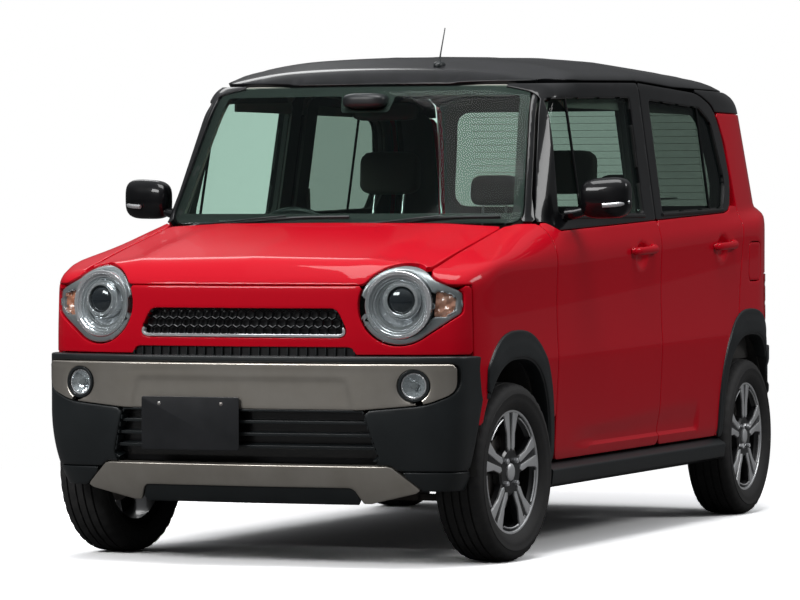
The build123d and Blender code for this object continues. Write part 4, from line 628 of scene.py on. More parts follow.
def ring_quads(rings: int, n: int) -> Array:
    """Faces between neighbouring rings of n points each."""
    i, j = np.meshgrid(np.arange(rings - 1), np.arange(n), indexing="ij")
    k = (j + 1) % n
    return np.stack([i * n + j, i * n + k, (i + 1) * n + k, (i + 1) * n + j], -1).reshape(-1, 4)


def closed_tube(points: Array, rings: int, n: int) -> Mesh:
    """Join rings of n points each into a tube, close its ends and face it outwards."""
    ends = [np.arange(n)[None, ::-1], (rings - 1) * n + np.arange(n)[None]]
    return outward(Mesh(points, [ring_quads(rings, n)] + ends))


def turned(profile: list[tuple[float, float]], segments: int = 48, closed: bool = True) -> Mesh:
    """Turn a profile round the x axis.

    Args:
        profile: (x, radius) points; with the material on the left of the line when it runs towards +x outside.
        segments: steps around.
        closed: whether the last point joins the first.
    Returns:
        The turned surface, its poles merged where the radius is nothing.
    """
    rows = np.array(profile)
    angle = np.arange(segments) * 2 * math.pi / segments
    x = np.repeat(rows[:, 0], segments)
    r = np.repeat(rows[:, 1], segments)
    a = np.tile(angle, len(rows))
    points = np.stack([x, r * np.cos(a), r * np.sin(a)], 1)
    count = len(rows) if closed else len(rows) - 1
    i, j = np.meshgrid(np.arange(count), np.arange(segments), indexing="ij")
    k, n = (i + 1) % len(rows), (j + 1) % segments
    quads = np.stack([i * segments + j, k * segments + j, k * segments + n, i * segments + n], -1).reshape(-1, 4)
    pole = np.flatnonzero(rows[:, 1] < 1e-6)
    target = np.arange(len(points))
    for row in pole:
        target[row * segments:(row + 1) * segments] = row * segments
    return tidied(points, target[quads])


def tidied(points: Array, quads: Array) -> Mesh:
    """Turn quads that lost a side into triangles and drop unused points.

    Args:
        points: the points.
        quads: corners, repeated where a side is lost.
    Returns:
        The clean mesh.
    """
    same = quads == np.roll(quads, -1, 1)
    losses = same.sum(1)
    faces = [quads[losses == 0]]
    lame = quads[losses == 1]
    if len(lame):
        faces.append(lame[~same[losses == 1]].reshape(-1, 3))
    faces = [f for f in faces if len(f)]
    used = np.unique(np.concatenate([f.ravel() for f in faces]))
    order = np.full(len(points), -1)
    order[used] = np.arange(len(used))
    return Mesh(points[used], [order[f] for f in faces])


def pressed(rows: list[tuple[float, float, float]], thick: float, bevel: float = 1.0, steps: int = 7) -> Mesh:
    """A plate of a rounded outline in x and z, its front face towards -y at y = 0, with bevelled edges.

    Args:
        rows: outline corners (x, z, radius), anticlockwise seen from the front.
        thick: depth towards +y.
        bevel: width of the rounded front edge.
        steps: points on each rounded corner.
    Returns:
        The closed plate.
    """
    loop = rounded(rows, steps)
    if (loop[:, 0] * np.roll(loop[:, 1], -1) - np.roll(loop[:, 0], -1) * loop[:, 1]).sum() < 0:
        loop = loop[::-1]
    n = len(loop)
    tangent = np.roll(loop, -1, 0) - np.roll(loop, 1, 0)
    tangent /= np.maximum(np.linalg.norm(tangent, axis=1), 1e-9)[:, None]
    inward = np.stack([-tangent[:, 1], tangent[:, 0]], 1)
    rings = []
    for shift, y in ((bevel, 0.0), (bevel * 0.45, bevel * 0.15), (bevel * 0.1, bevel * 0.5), (0.0, bevel),
                     (0.0, thick)):
        flat = loop + inward * shift
        rings.append(np.stack([flat[:, 0], np.full(n, y), flat[:, 1]], 1))
    points = np.concatenate(rings)
    quads = ring_quads(len(rings), n)[:, ::-1]
    front, back = np.arange(n)[None], (len(rings) - 1) * n + np.arange(n)[None, ::-1]
    return Mesh(points, [quads, front, back])


def swept(path: Array, radius: float | Array, segments: int = 10, flat: float = 1.0) -> Mesh:
    """A tube along points, with closed ends.

    Args:
        path: points of the middle line.
        radius: one radius, or one for each point.
        segments: steps around.
        flat: height of the section as a share of its width.
    Returns:
        The closed tube.
    """
    path = np.asarray(path, float)
    radius = np.broadcast_to(radius, len(path))
    ahead = np.gradient(path, axis=0)
    ahead /= np.linalg.norm(ahead, axis=1)[:, None]
    guide = np.array([0.0, 0.0, 1.0]) if abs(ahead[:, 2]).mean() < 0.8 else np.array([1.0, 0.0, 0.0])
    side = np.cross(ahead, guide)
    side /= np.linalg.norm(side, axis=1)[:, None]
    up = np.cross(side, ahead)
    a = np.arange(segments) * 2 * math.pi / segments
    ring = side[:, None] * np.cos(a)[None, :, None] + up[:, None] * (flat * np.sin(a))[None, :, None]
    points = (path[:, None] + ring * radius[:, None, None]).reshape(-1, 3)
    return closed_tube(points, len(path), segments)


def signed_volume(mesh: Mesh) -> float:
    """Volume inside a closed mesh, negative when its faces point inwards."""
    total = 0.0
    for f in mesh.faces:
        p = mesh.points[f]
        for k in range(1, f.shape[1] - 1):
            total += float((p[:, 0] * np.cross(p[:, k], p[:, k + 1])).sum())
    return total / 6


def outward(mesh: Mesh) -> Mesh:
    """Make a closed mesh's faces point outwards."""
    return mesh if signed_volume(mesh) > 0 else mesh.flipped()


def curve(points: list[tuple[float, ...]], count: int = 24) -> Array:
    """A smooth line through points (Catmull-Rom)."""
    p = np.array(points, float)
    p = np.r_[[2 * p[0] - p[1]], p, [2 * p[-1] - p[-2]]]
    t = np.linspace(0, len(p) - 3 - 1e-6, count)
    i, f = t.astype(int), (t % 1)[:, None]
    a, b, c, d = p[i], p[i + 1], p[i + 2], p[i + 3]
    return 0.5 * (2 * b + (c - a) * f + (2 * a - 5 * b + 4 * c - d) * f ** 2 + (3 * b - a - 3 * c + d) * f ** 3)


def soft_box(size: tuple[float, float, float], centre: tuple[float, float, float], power: float = 6.0,
             steps: int = 10) -> Mesh:
    """A box whose corners are rounded off: the cube's points pulled to a superellipsoid's.

    Args:
        size: full lengths along x, y and z.
        centre: its middle.
        power: the higher, the squarer.
        steps: cells along each edge.
    Returns:
        The closed box.
    """
    t = np.tan(np.linspace(-1, 1, steps + 1) * 0.9) / math.tan(0.9)
    u, v = np.meshgrid(t, t, indexing="ij")
    one, n = np.ones_like(u), steps + 1
    sides = [np.stack(s, -1).reshape(-1, 3) for s in
             ((one, u, v), (-one, v, u), (v, one, u), (u, -one, v), (u, v, one), (v, u, -one))]
    base = grid_quads(n, n)
    faces = np.concatenate([base + k * n * n for k in range(6)])
    points = np.concatenate(sides)
    points /= ((np.abs(points) ** power).sum(1) ** (1 / power))[:, None]
    points = points * np.array(size) / 2 + np.array(centre)
    unique, index = np.unique(np.round(points, 4), axis=0, return_inverse=True)
    return outward(Mesh(unique, [index.reshape(-1)[faces]]))


def shift(x: float, y: float, z: float) -> Matrix:
    """A move."""
    return Matrix.Translation((x, y, z))


def placed(x: float, y: float, z: float, degrees: float, axis: str = "Z") -> Matrix:
    """A turn about an axis, then a move."""
    return shift(x, y, z) @ Matrix.Rotation(math.radians(degrees), 4, axis)


# ---------------------------------------------------------------- finishes
@dataclass(frozen=True)
class Finish:
    """How a surface looks: colours in linear light, and how strongly each kind of detail shows."""
    name: str
    colour: tuple[float, float, float]
    roughness: float = 0.4
    metallic: float = 0.0
    coat: float = 0.0
    specular: float = 0.5
    vary: float = 0.08
    vary_scale: float = 9.0
    second: tuple[float, float, float] | None = None
    grain: float = 0.0
    grain_scale: float = 900.0


class Socket:
    """A node output with arithmetic: each operator adds a Math node."""

    def __init__(self, graph: "Graph", socket: bpy.types.NodeSocket) -> None:
        """Wrap one output."""
        self.graph, self.socket = graph, socket

    def math(self, operation: str, other: Any = None, first: Any = None) -> "Socket":
        """Add a Math node with this socket and another value."""
        node = self.graph.tree.nodes.new("ShaderNodeMath")
        node.operation = operation
        pair = (self, other) if first is None else (first, self)
        for k, value in enumerate(pair):
            if value is not None:
                self.graph.feed(node.inputs[k], value)
        return Socket(self.graph, node.outputs[0])

    def __add__(self, other: Any) -> "Socket":
        """Sum."""
        return self.math("ADD", other)

    def __sub__(self, other: Any) -> "Socket":
        """Difference."""
        return self.math("SUBTRACT", other)

    def __rsub__(self, other: Any) -> "Socket":
        """Difference, the number first."""
        return self.math("SUBTRACT", first=other)

    def __mul__(self, other: Any) -> "Socket":
        """Product."""
        return self.math("MULTIPLY", other)

    def __pow__(self, other: Any) -> "Socket":
        """Power."""
        return self.math("POWER", other)

    def fraction(self) -> "Socket":
        """What is left over the whole number."""
        return self.math("FRACT")

    def size(self) -> "Socket":
        """Distance from nought."""
        return self.math("ABSOLUTE")

    def clamped(self) -> "Socket":
        """Keep between nought and one."""
        result = self.math("ADD", 0.0)
        result.socket.node.use_clamp = True
        return result


class Graph:
    """A material's node tree."""

    def __init__(self, name: str) -> None:
        """Start an empty material with its output."""
        self.material = bpy.data.materials.new(name)
        self.material.use_nodes = True
        self.tree = self.material.node_tree
        self.tree.nodes.clear()

    def feed(self, target: bpy.types.NodeSocket, value: Any) -> None:
        """Link a socket, or set a value."""
        if isinstance(value, Socket):
            self.tree.links.new(value.socket, target)
        elif isinstance(value, tuple) and len(value) == 3 and target.type == "RGBA":
            target.default_value = (*value, 1.0)
        else:
            target.default_value = value

    def node(self, kind: str, settings: dict[str, Any] | None = None, out: int | str = 0, **values: Any) -> Socket:
        """Add a node: its settings first, then its inputs by name with underscores for spaces, or by number.

        Args:
            kind: node type without its prefix.
            settings: properties of the node.
            out: the output to return.
            values: its inputs.
        Returns:
            The chosen output.
        """
        node = self.tree.nodes.new(f"ShaderNode{kind}")
        for key, value in (settings or {}).items():
            setattr(node, key, value)
        for key, value in values.items():
            name = key.replace("_", " ")
            if key[0] == "n" and key[1:].isdigit():
                self.feed(node.inputs[int(key[1:])], value)
            else:
                self.feed(node.inputs[name], value)
        return Socket(self, node.outputs[out] if node.outputs else None)

    def place(self) -> Socket:
        """Object coordinates."""
        return self.node("TexCoord", out="Object")

    def axes(self, place: Socket) -> tuple[Socket, Socket, Socket]:
        """Split a vector."""
        first = self.node("SeparateXYZ", n0=place)
        outputs = first.socket.node.outputs
        return Socket(self, outputs[0]), Socket(self, outputs[1]), Socket(self, outputs[2])

    def noise(self, scale: float, detail: float = 4.0, place: Socket | None = None) -> Socket:
        """Noise in object space."""
        return self.node("TexNoise", Vector=place or self.place(), Scale=scale, Detail=detail)

    def mix(self, factor: Any, a: Any, b: Any) -> Socket:
        """Blend two colours."""
        node = self.tree.nodes.new("ShaderNodeMix")
        node.data_type = "RGBA"
        for key, value in ((0, factor), (6, a), (7, b)):
            self.feed(node.inputs[key], value)
        return Socket(self, node.outputs[2])


def shade(finish: Finish, pattern: Callable[[Graph, Finish], dict[str, Any]] | None = None) -> bpy.types.Material:
    """Build a finish's material.

    Broad noise moves the roughness and the colour a little, fine grain feeds a bump, and a pattern may add more.

    Args:
        finish: the finish.
        pattern: gives more socket values for the shader.
    Returns:
        The material.
    """
    graph = Graph(finish.name)
    broad = graph.noise(finish.vary_scale)
    values: dict[str, Any] = {
        "Base_Color": finish.colour, "Metallic": finish.metallic, "Coat_Weight": finish.coat,
        "Specular_IOR_Level": finish.specular, "Coat_Roughness": 0.03,
        "Roughness": ((broad - 0.5) * finish.vary + finish.roughness).clamped(),
    }
    if finish.second:
        values["Base_Color"] = graph.mix(((broad - 0.38) * 3.2).clamped(), finish.colour, finish.second)
    if finish.grain:
        fine = graph.noise(finish.grain_scale, 3.0)
        values["Normal"] = graph.node("Bump", Strength=finish.grain, Distance=0.0006, Height=fine)
    if pattern:
        values.update(pattern(graph, finish))
    shader = graph.node("BsdfPrincipled", **values)
    graph.node("OutputMaterial", Surface=shader)
    return graph.material


def glass_shader(name: str, tint: tuple[float, float, float], gloss: float = 0.02) -> bpy.types.Material:
    """Thin glass: it lets tinted light straight through and mirrors more at a slant.

    Args:
        name: the material's name.
        tint: colour of what passes.
        gloss: least roughness of the mirror.
    Returns:
        The material.
    """
    graph = Graph(name)
    smudge = graph.noise(5.0, 5.0)
    roughness = (smudge * 0.03 + gloss).clamped()
    clear = graph.node("BsdfTransparent", Color=tint)
    mirror = graph.node("BsdfPrincipled", Base_Color=(0.02, 0.03, 0.03), Roughness=roughness,
                        Specular_IOR_Level=0.9)
    outside = graph.node("NewGeometry", out="Backfacing") * -1.0 + 1.0
    share = ((graph.node("Fresnel", IOR=1.5) + 0.02) * outside).clamped()
    graph.node("OutputMaterial", Surface=graph.node("MixShader", n0=share, n1=clear, n2=mirror))
    return graph.material


def weave(graph: Graph, finish: Finish) -> dict[str, Any]:
    """Woven cloth: two crossed wave patterns give threads, and noise fades them."""
    x, y, z = graph.axes(graph.place())
    threads = ((x * 2100.0).math("SINE") * ((y + z) * 2100.0).math("SINE") + 1.0) * 0.5
    fuzz = graph.noise(420.0, 3.0)
    height = threads * 0.7 + fuzz * 0.6
    colour = graph.mix((threads * 0.6 + fuzz * 0.5).clamped(), finish.colour, finish.second or finish.colour)
    return {"Base_Color": colour, "Normal": graph.node("Bump", Strength=0.5, Distance=0.0008, Height=height),
            "Sheen_Weight": 0.25}


def paint(graph: Graph, finish: Finish) -> dict[str, Any]:
    """Car paint: fine flakes in the colour coat, and a little road film low down.

    Args:
        graph: the material's nodes.
        finish: its colours and roughness.
    Returns:
        Values for the shader.
    """
    x, y, z = graph.axes(graph.place())
    flake = graph.node("TexVoronoi", Vector=graph.place(), Scale=1400.0)
    film = ((0.42 - z) * 2.2).clamped() * graph.noise(14.0, 5.0)
    base = graph.mix((flake * 0.35).clamped(), finish.colour, finish.second or finish.colour)
    colour = graph.mix((film * 0.16).clamped(), base, (0.25, 0.2, 0.17))
    peel = graph.noise(260.0, 2.0)
    return {"Base_Color": colour, "Normal": graph.node("Bump", Strength=0.02, Distance=0.0004, Height=peel),
            "Roughness": (film * 0.3 + graph.noise(7.0) * 0.06 + finish.roughness).clamped()}


def tread(graph: Graph, finish: Finish) -> dict[str, Any]:
    """Tyre rubber: dust in fine mottling, which also roughens it."""
    dust = graph.noise(60.0, 6.0)
    return {"Base_Color": graph.mix((dust * 1.4 - 0.35).clamped(), finish.colour, finish.second or finish.colour),
            "Normal": graph.node("Bump", Strength=0.25, Distance=0.0006, Height=graph.noise(700.0, 4.0)),
            "Roughness": (dust * 0.25 + finish.roughness).clamped()}


def brushed(graph: Graph, finish: Finish) -> dict[str, Any]:
    """Metal with fine scratches drawn out along x."""
    stretched = graph.node("Mapping", Vector=graph.place(), Scale=(30.0, 900.0, 900.0))
    lines = graph.noise(1.0, 5.0, stretched)
    return {"Roughness": (lines * 0.22 + finish.roughness).clamped(),
            "Normal": graph.node("Bump", Strength=0.06, Distance=0.0003, Height=lines)}


def faceted(graph: Graph, finish: Finish) -> dict[str, Any]:
    """Lamp reflector: small square facets pressed in a bright shell."""
    x, _, z = graph.axes(graph.place())
    cells = (x * 95.0).fraction().size() * (z * 95.0).fraction()
    return {"Normal": graph.node("Bump", Strength=0.5, Distance=0.002, Height=cells)}


RED = Finish("body_paint", (0.60, 0.002, 0.014), 0.34, coat=0.42, second=(0.68, 0.004, 0.018), specular=0.04)
BLACK = Finish("gloss_black", (0.003, 0.0034, 0.004), 0.3, coat=0.6, second=(0.007, 0.007, 0.008), specular=0.1)
ROOF = Finish("roof_paint", (0.003, 0.0036, 0.004), 0.3, coat=0.6, second=(0.009, 0.009, 0.011), specular=0.1)
PLASTIC = Finish("black_plastic", (0.012, 0.015, 0.0165), 0.38, second=(0.016, 0.0195, 0.021), grain=0.12,
                 grain_scale=1500.0)
SEAL = Finish("seal_rubber", (0.008, 0.008, 0.008), 0.62, second=(0.014, 0.014, 0.014), grain=0.2)
CHAMPAGNE = Finish("garnish_silver", (0.60, 0.56, 0.50), 0.30, metallic=0.85, coat=0.4,
                   second=(0.52, 0.48, 0.42))
CHROME = Finish("lamp_chrome", (0.93, 0.94, 0.96), 0.1, metallic=0.72, second=(0.84, 0.85, 0.87))
BEZEL = Finish("lamp_bezel", (0.40, 0.41, 0.42), 0.28, metallic=0.4, second=(0.33, 0.34, 0.35))
AMBER = Finish("lamp_amber", (0.80, 0.24, 0.10), 0.12, coat=1.0, second=(0.85, 0.50, 0.38))
PLATE = Finish("plate_dark", (0.014, 0.015, 0.017), 0.35, second=(0.022, 0.023, 0.026), grain=0.1)
CABIN_TRIM = Finish("interior_plastic", (0.055, 0.053, 0.050), 0.62, second=(0.075, 0.071, 0.066), grain=0.4,
                    grain_scale=800.0)
HEADLINER = Finish("headliner", (0.34, 0.32, 0.29), 0.9, second=(0.28, 0.27, 0.25), grain=0.5)
FABRIC = Finish("seat_fabric", (0.085, 0.075, 0.068), 0.85, second=(0.15, 0.13, 0.115))
CARPET = Finish("carpet", (0.03, 0.029, 0.028), 0.95, second=(0.05, 0.047, 0.044), grain=1.0, grain_scale=500.0)
RUBBER = Finish("tyre_rubber", (0.016, 0.016, 0.017), 0.55, second=(0.038, 0.036, 0.034))
ALLOY = Finish("wheel_alloy", (0.86, 0.87, 0.88), 0.26, metallic=0.55, coat=0.5, second=(0.78, 0.79, 0.80))
WHEEL_BLACK = Finish("wheel_black", (0.012, 0.012, 0.013), 0.3, coat=0.5, second=(0.02, 0.02, 0.021))
STEEL = Finish("chassis_steel", (0.05, 0.048, 0.046), 0.5, metallic=0.5, second=(0.09, 0.075, 0.065), grain=0.3)
BRIGHT_STEEL = Finish("brake_steel", (0.42, 0.41, 0.40), 0.35, metallic=1.0, second=(0.33, 0.30, 0.28))
UNDERBODY = Finish("underbody_steel", (0.028, 0.028, 0.028), 0.7, second=(0.05, 0.047, 0.043), grain=0.6,
                   grain_scale=260.0)
ENGINE = Finish("engine_metal", (0.32, 0.32, 0.32), 0.45, metallic=0.8, second=(0.22, 0.21, 0.2), grain=0.4)
EXHAUST = Finish("exhaust_steel", (0.30, 0.27, 0.24), 0.42, metallic=0.9, second=(0.20, 0.15, 0.11), grain=0.3)
TANK = Finish("tank_plastic", (0.02, 0.02, 0.02), 0.5, second=(0.03, 0.03, 0.03), grain=0.3)
LENS_RED = Finish("lamp_red", (0.42, 0.004, 0.006), 0.12, coat=1.0, second=(0.32, 0.003, 0.005))
LENS_DARK = Finish("projector_lens", (0.02, 0.024, 0.03), 0.04, coat=1.0, specular=0.9)
MIRROR_GLASS = Finish("mirror_glass", (0.75, 0.78, 0.80), 0.03, metallic=1.0)
SILVER_LAMP = Finish("turn_lamp", (0.72, 0.73, 0.74), 0.16, metallic=0.6, coat=1.0)
PATTERNS = {"body_paint": paint, "seat_fabric": weave, "tyre_rubber": tread,
            "wheel_alloy": brushed, "lamp_chrome": faceted, "brake_steel": brushed}
MATERIALS: dict[str, bpy.types.Material] = {}
CLEAR_GLASS, DARK_GLASS, LAMP_GLASS = "glass_clear", "glass_dark", "lamp_clear"
TINTS = {CLEAR_GLASS: (0.81, 0.90, 0.86), DARK_GLASS: (0.52, 0.57, 0.54), LAMP_GLASS: (0.95, 0.97, 0.97)}


def material(finish: Finish | str) -> bpy.types.Material:
    """Give a finish's material, making it once."""
    name = finish if isinstance(finish, str) else finish.name
    if name not in MATERIALS:
        MATERIALS[name] = glass_shader(name, TINTS[name]) if isinstance(finish, str) else \
            shade(finish, PATTERNS.get(name))
    return MATERIALS[name]


def piece(name: str, mesh: Mesh, finish: Finish | str, body: str = "body", slot: str | None = None,
          replaces: tuple[str, ...] = (), sharp: float = 34.0) -> bpy.types.Object:
    """Make a Blender object of a numpy mesh, in metres, and hang it on its body.

    Args:
        name: the piece's name.
        mesh: its points in millimetres and its faces.
        finish: what it is made of.
        body: the CAD body that it rides on.
        slot: the record's material slot, where it isn't the finish's own name.
        replaces: CAD nodes that it stands for.
        sharp: angle in degrees above which an edge stays crisp.
    Returns:
        The object.
    """
    data = bpy.data.meshes.new(name)
    sizes = np.concatenate([np.full(len(f), f.shape[1]) for f in mesh.faces])
    corners = np.concatenate([f.ravel() for f in mesh.faces]).astype(np.int32)
    data.vertices.add(len(mesh.points))
    data.vertices.foreach_set("co", (mesh.points * MM).astype(np.float32).ravel())
    data.loops.add(len(corners))
    data.loops.foreach_set("vertex_index", corners)
    data.polygons.add(len(sizes))
    data.polygons.foreach_set("loop_start", (np.cumsum(sizes) - sizes).astype(np.int32))
    data.update(calc_edges=True)
    if data.validate():
        LOG.warning("%s had faces mended", name)
    data.polygons.foreach_set("use_smooth", np.ones(len(data.polygons), bool))
    data.set_sharp_from_angle(angle=math.radians(sharp))
    data.materials.append(material(finish))
    obj = bpy.data.objects.new(name, data)
    bpy.context.collection.objects.link(obj)
    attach(obj, body)
    key = slot or (finish if isinstance(finish, str) else finish.name)
    key in SLOTS
    if replaces:
        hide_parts(*replaces)
    return obj


SLOTS = {"body_paint", "roof_paint", "gloss_black", "black_plastic", "garnish_silver", "lamp_clear", "lamp_red",
         "glass_clear", "glass_dark", "plate_dark", "interior_plastic", "seat_fabric", "engine_metal",
         "chassis_steel", "underbody_steel", "exhaust_steel", "tank_plastic", "wheel_alloy", "tyre_rubber"}


def both_sides(name: str, mesh: Mesh, finish: Finish | str, bodies: tuple[str, str] = ("body", "body"),
               replaces: tuple[tuple[str, ...], tuple[str, ...]] = ((), ()), **options: Any) -> None:
    """Make a piece on the car's left and its mirror image on the right."""
    piece(f"{name}_left", mesh, finish, bodies[0], replaces=replaces[0], **options)
    piece(f"{name}_right", mesh.mirrored(), finish, bodies[1], replaces=replaces[1], **options)


# ---------------------------------------------------------------- body panels
def line_on(skin_x: Callable[[Array, Array], Array], rows: list[tuple[float, float]], count: int = 40) -> Array:
    """Points on the left skin along a line of (y, z)."""
    path = curve([tuple(r) for r in rows], count)
    return np.c_[skin_x(path[:, 0], path[:, 1]), path]


def side_x(y: Array, z: Array, skin: Skin = BODY, level: float = 0.0) -> Array:
    """How far out the left skin stands at places seen from the side."""
    return cast(SIDE_RAYS, skin, level, np.c_[y, z])[:, 0]


@dataclass
class Bodywork:
    """The painted panels, their black frames, the glass and the inner shells."""
    side: Rays = SIDE_RAYS
    corner: Rays = Rays(Way.ROUND_Z, (150.0, -250.0), 500.0, 900.0)
    arch_front: Shape = wheel_arch(FRONT_AXLE, ARCH_A, FRONT_ARCH_B)
    arch_rear: Shape = wheel_arch(REAR_AXLE, ARCH_A, REAR_ARCH_B)
    front_door: Shape = seen_from_side(FRONT_DOOR) - \
        (seen_from_front(WINDSCREEN) & limit(1, -1000.0, -590.0)).grow(24.0)
    rear_door: Shape = seen_from_side(REAR_DOOR)
    front_window: Shape = seen_from_side(FRONT_WINDOW)
    rear_window: Shape = seen_from_side(REAR_WINDOW)
    black: Shape = seen_from_side(BLACK_ZONE)
    screen: Shape = seen_from_front(WINDSCREEN)
    hatch: Shape = seen_from_front(TAILGATE)
    rear_screen: Shape = seen_from_front(REAR_SCREEN)
    lid: Shape = seen_from_side(FUEL_LID)
    lamp: Shape = round_hole(LAMP_X, LAMP_Z, LAMP_R) | seen_from_front(LAMP_LOBE)

    @property
    def behind_screen(self) -> Shape:
        """The region far enough behind the windscreen for inner shells."""
        return Shape(lambda p: (0.606 * (p[:, 2] - 1058.0) - 765.0) * (p[:, 2] > 900)
                     - 1e4 * (p[:, 2] <= 900) - p[:, 1])

    def doors(self) -> None:
        """Both front and rear doors: red skin, black upper frame, glass and inner card."""
        spans = {
            "front_door": (self.front_door, self.front_window, (-800.0, 270.0), self.arch_front),
            "rear_door": (self.rear_door, self.rear_window, (246.0, 1206.0), self.arch_rear),
        }
        for name, (outline, window, span, arch) in spans.items():
            bodies = (f"{name}_left", f"{name}_right")
            whole = outline.grow(-GAP / 2) - arch
            red = whole - self.black.grow(1.0)
            frame = whole & self.black.grow(-1.0)
            centre = (55.0, 950.0, 62.0, 46.0) if name == "front_door" else (945.0, 970.0, 62.0, 46.0)
            skin = Panel(red, self.side, span, (280.0, 1115.0), depth=26.0, cell=12.5,
                         relief=lambda p, c=centre: -13.0 * smooth_step(
                             (1.0 - np.hypot((p[:, 1] - c[0]) / c[2], (p[:, 2] - c[1]) / c[3])) / 0.45)).mesh()
            both_sides(f"{name}_skin", skin, RED, bodies,
                       ((f"{name}_left",), (f"{name}_right",)))
            rays, width = (self.corner, (360.0, 1240.0)) if name == "front_door" else (self.side, span)
            upper = Panel(frame - window, rays, width, (1020.0, 1545.0), level=-3.0, depth=34.0, roll=2.0,
                          cell=9.0).mesh()
            both_sides(f"{name}_frame", upper, BLACK, bodies)
            glass = Panel(window.grow(7.0), self.side, span, (1060.0, 1500.0), level=-12.0, depth=4.0, roll=1.0,
                          cell=24.0).mesh()
            both_sides(f"{name}_glass", glass, CLEAR_GLASS if name == "front_door" else DARK_GLASS, bodies,
                       ((f"{name}_glass_left",), (f"{name}_glass_right",)))
            seal = Panel(window.grow(3.0) - window.grow(-3.5), self.side, span, (1060.0, 1500.0), level=-4.5,
                         depth=10.0, roll=1.0, cell=5.0).mesh()
            both_sides(f"{name}_window_seal", seal, SEAL, bodies)
            drawn = seen_from_side(FRONT_DOOR if name == "front_door" else REAR_DOOR)
            inner = (drawn.grow(-26.0) - arch.grow(22.0)) & self.behind_screen
            card = Panel(inner - window.grow(-4.0), rays, width, (300.0, 1530.0), level=-46.0, depth=10.0,
                         roll=5.0, cell=22.0,
                         relief=lambda p: 9.0 * (smooth_step((880 - p[:, 2]) / 12) * smooth_step((p[:, 2] - 780) / 12))
                         ).mesh()
            both_sides(f"{name}_card", card, CABIN_TRIM, bodies)
            lining = Panel(inner - window.grow(-4.0), rays, width, (300.0, 1530.0), level=-27.0, depth=18.0,
                           roll=2.0, cell=30.0).mesh()
            both_sides(f"{name}_shell", lining, UNDERBODY, bodies)

    def wings(self) -> None:
        """Front wings with the lamp, arch, bonnet and door cut out."""
        bonnet_hole = limit(0, -588.0, 588.0) & limit(2, 850.0)
        keep = limit(1, -1690.0, -600.0) & limit(0, 380.0) & limit(2, 440.0, 1200.0)
        shape = keep - self.front_door.grow(GAP / 2) - self.arch_front - bonnet_hole - self.lamp.grow(3.0)
        shape = shape - self.front_fascia_zone() - self.black.grow(3.0) - self.screen.grow(9.0)
        wing = Panel(shape, Rays(Way.ROUND_Y, (380.0, 600.0), 400.0, 900.0), (-190.0, 700.0), (-1700.0, -640.0),
                     depth=30.0, cell=11.0).mesh()
        both_sides("front_wing", wing, RED, replaces=(("front_wings",), ()))

    def lamp_pair(self) -> Shape:
        """The outlines of both headlamps."""
        left = self.lamp
        return Shape(lambda p: left(np.c_[np.abs(p[:, 0]), p[:, 1:]]))

    @staticmethod
    def front_fascia_zone() -> Shape:
        """What the nose piece covers of the front."""
        return limit(1, -1760.0, WING_FRONT + 2.0) & limit(2, -100.0, FASCIA_TOP + 2.0)

    def nose(self) -> None:
        """The red nose piece between bonnet and bumper, with room for the grille."""
        zone = limit(1, -1760.0, WING_FRONT - 2.0) & limit(2, FASCIA_BOTTOM + 4.0, FASCIA_TOP - 2.0)
        shape = zone - seen_from_front(GRILLE).grow(2.0) - self.lamp_pair().grow(3.0)
        shape = shape - seen_from_front([(0.0, 600.0, 0.0), (376.0, 600.0, 0.0), (368.0, 682.0, 16.0),
                                         (0.0, 682.0, 0.0)])
        nose = Panel(shape, NOSE_RAYS, (-900.0, 900.0), (650.0, 880.0),
                     depth=26.0, cell=10.0).mesh()
        piece("front_nose", nose, RED, replaces=("front_fascia",))

    def bonnet(self) -> None:
        """The bonnet with its raised middle and the frame under it."""
        shape = limit(1, -1760.0, BONNET_REAR) & limit(2, FASCIA_TOP + 2.0, 1200.0) & \
            Shape(lambda p: np.abs(p[:, 0]) - 578.0 - 0.02 * (p[:, 1] + 1300.0) * 0.8) - self.lamp_pair().grow(3.0)
        rays = Rays(Way.ROUND_X, (-1250.0, 520.0), 500.0, 900.0)
        top = Panel(shape, rays, (330.0, 1130.0), (-600.0, 600.0), depth=16.0, cell=12.0).mesh()
        piece("bonnet_skin", top, RED, "bonnet", replaces=("bonnet",))
        frame = shape.grow(-24.0)
        holes = [(0.0, -1500.0, 150.0), (0.0, -1180.0, 170.0), (330.0, -1440.0, 110.0), (-330.0, -1440.0, 110.0),
                 (360.0, -1120.0, 120.0), (-360.0, -1120.0, 120.0)]
        for x, y, r in holes:
            frame = frame - Shape(lambda p, x=x, y=y, r=r: np.hypot(p[:, 0] - x, (p[:, 1] - y) * 1.2) - r)
        under = Panel(frame, rays, (330.0, 1130.0), (-600.0, 600.0), level=-17.0, depth=9.0, roll=3.0,
                      cell=16.0).mesh()
        piece("bonnet_frame", under, RED, "bonnet")

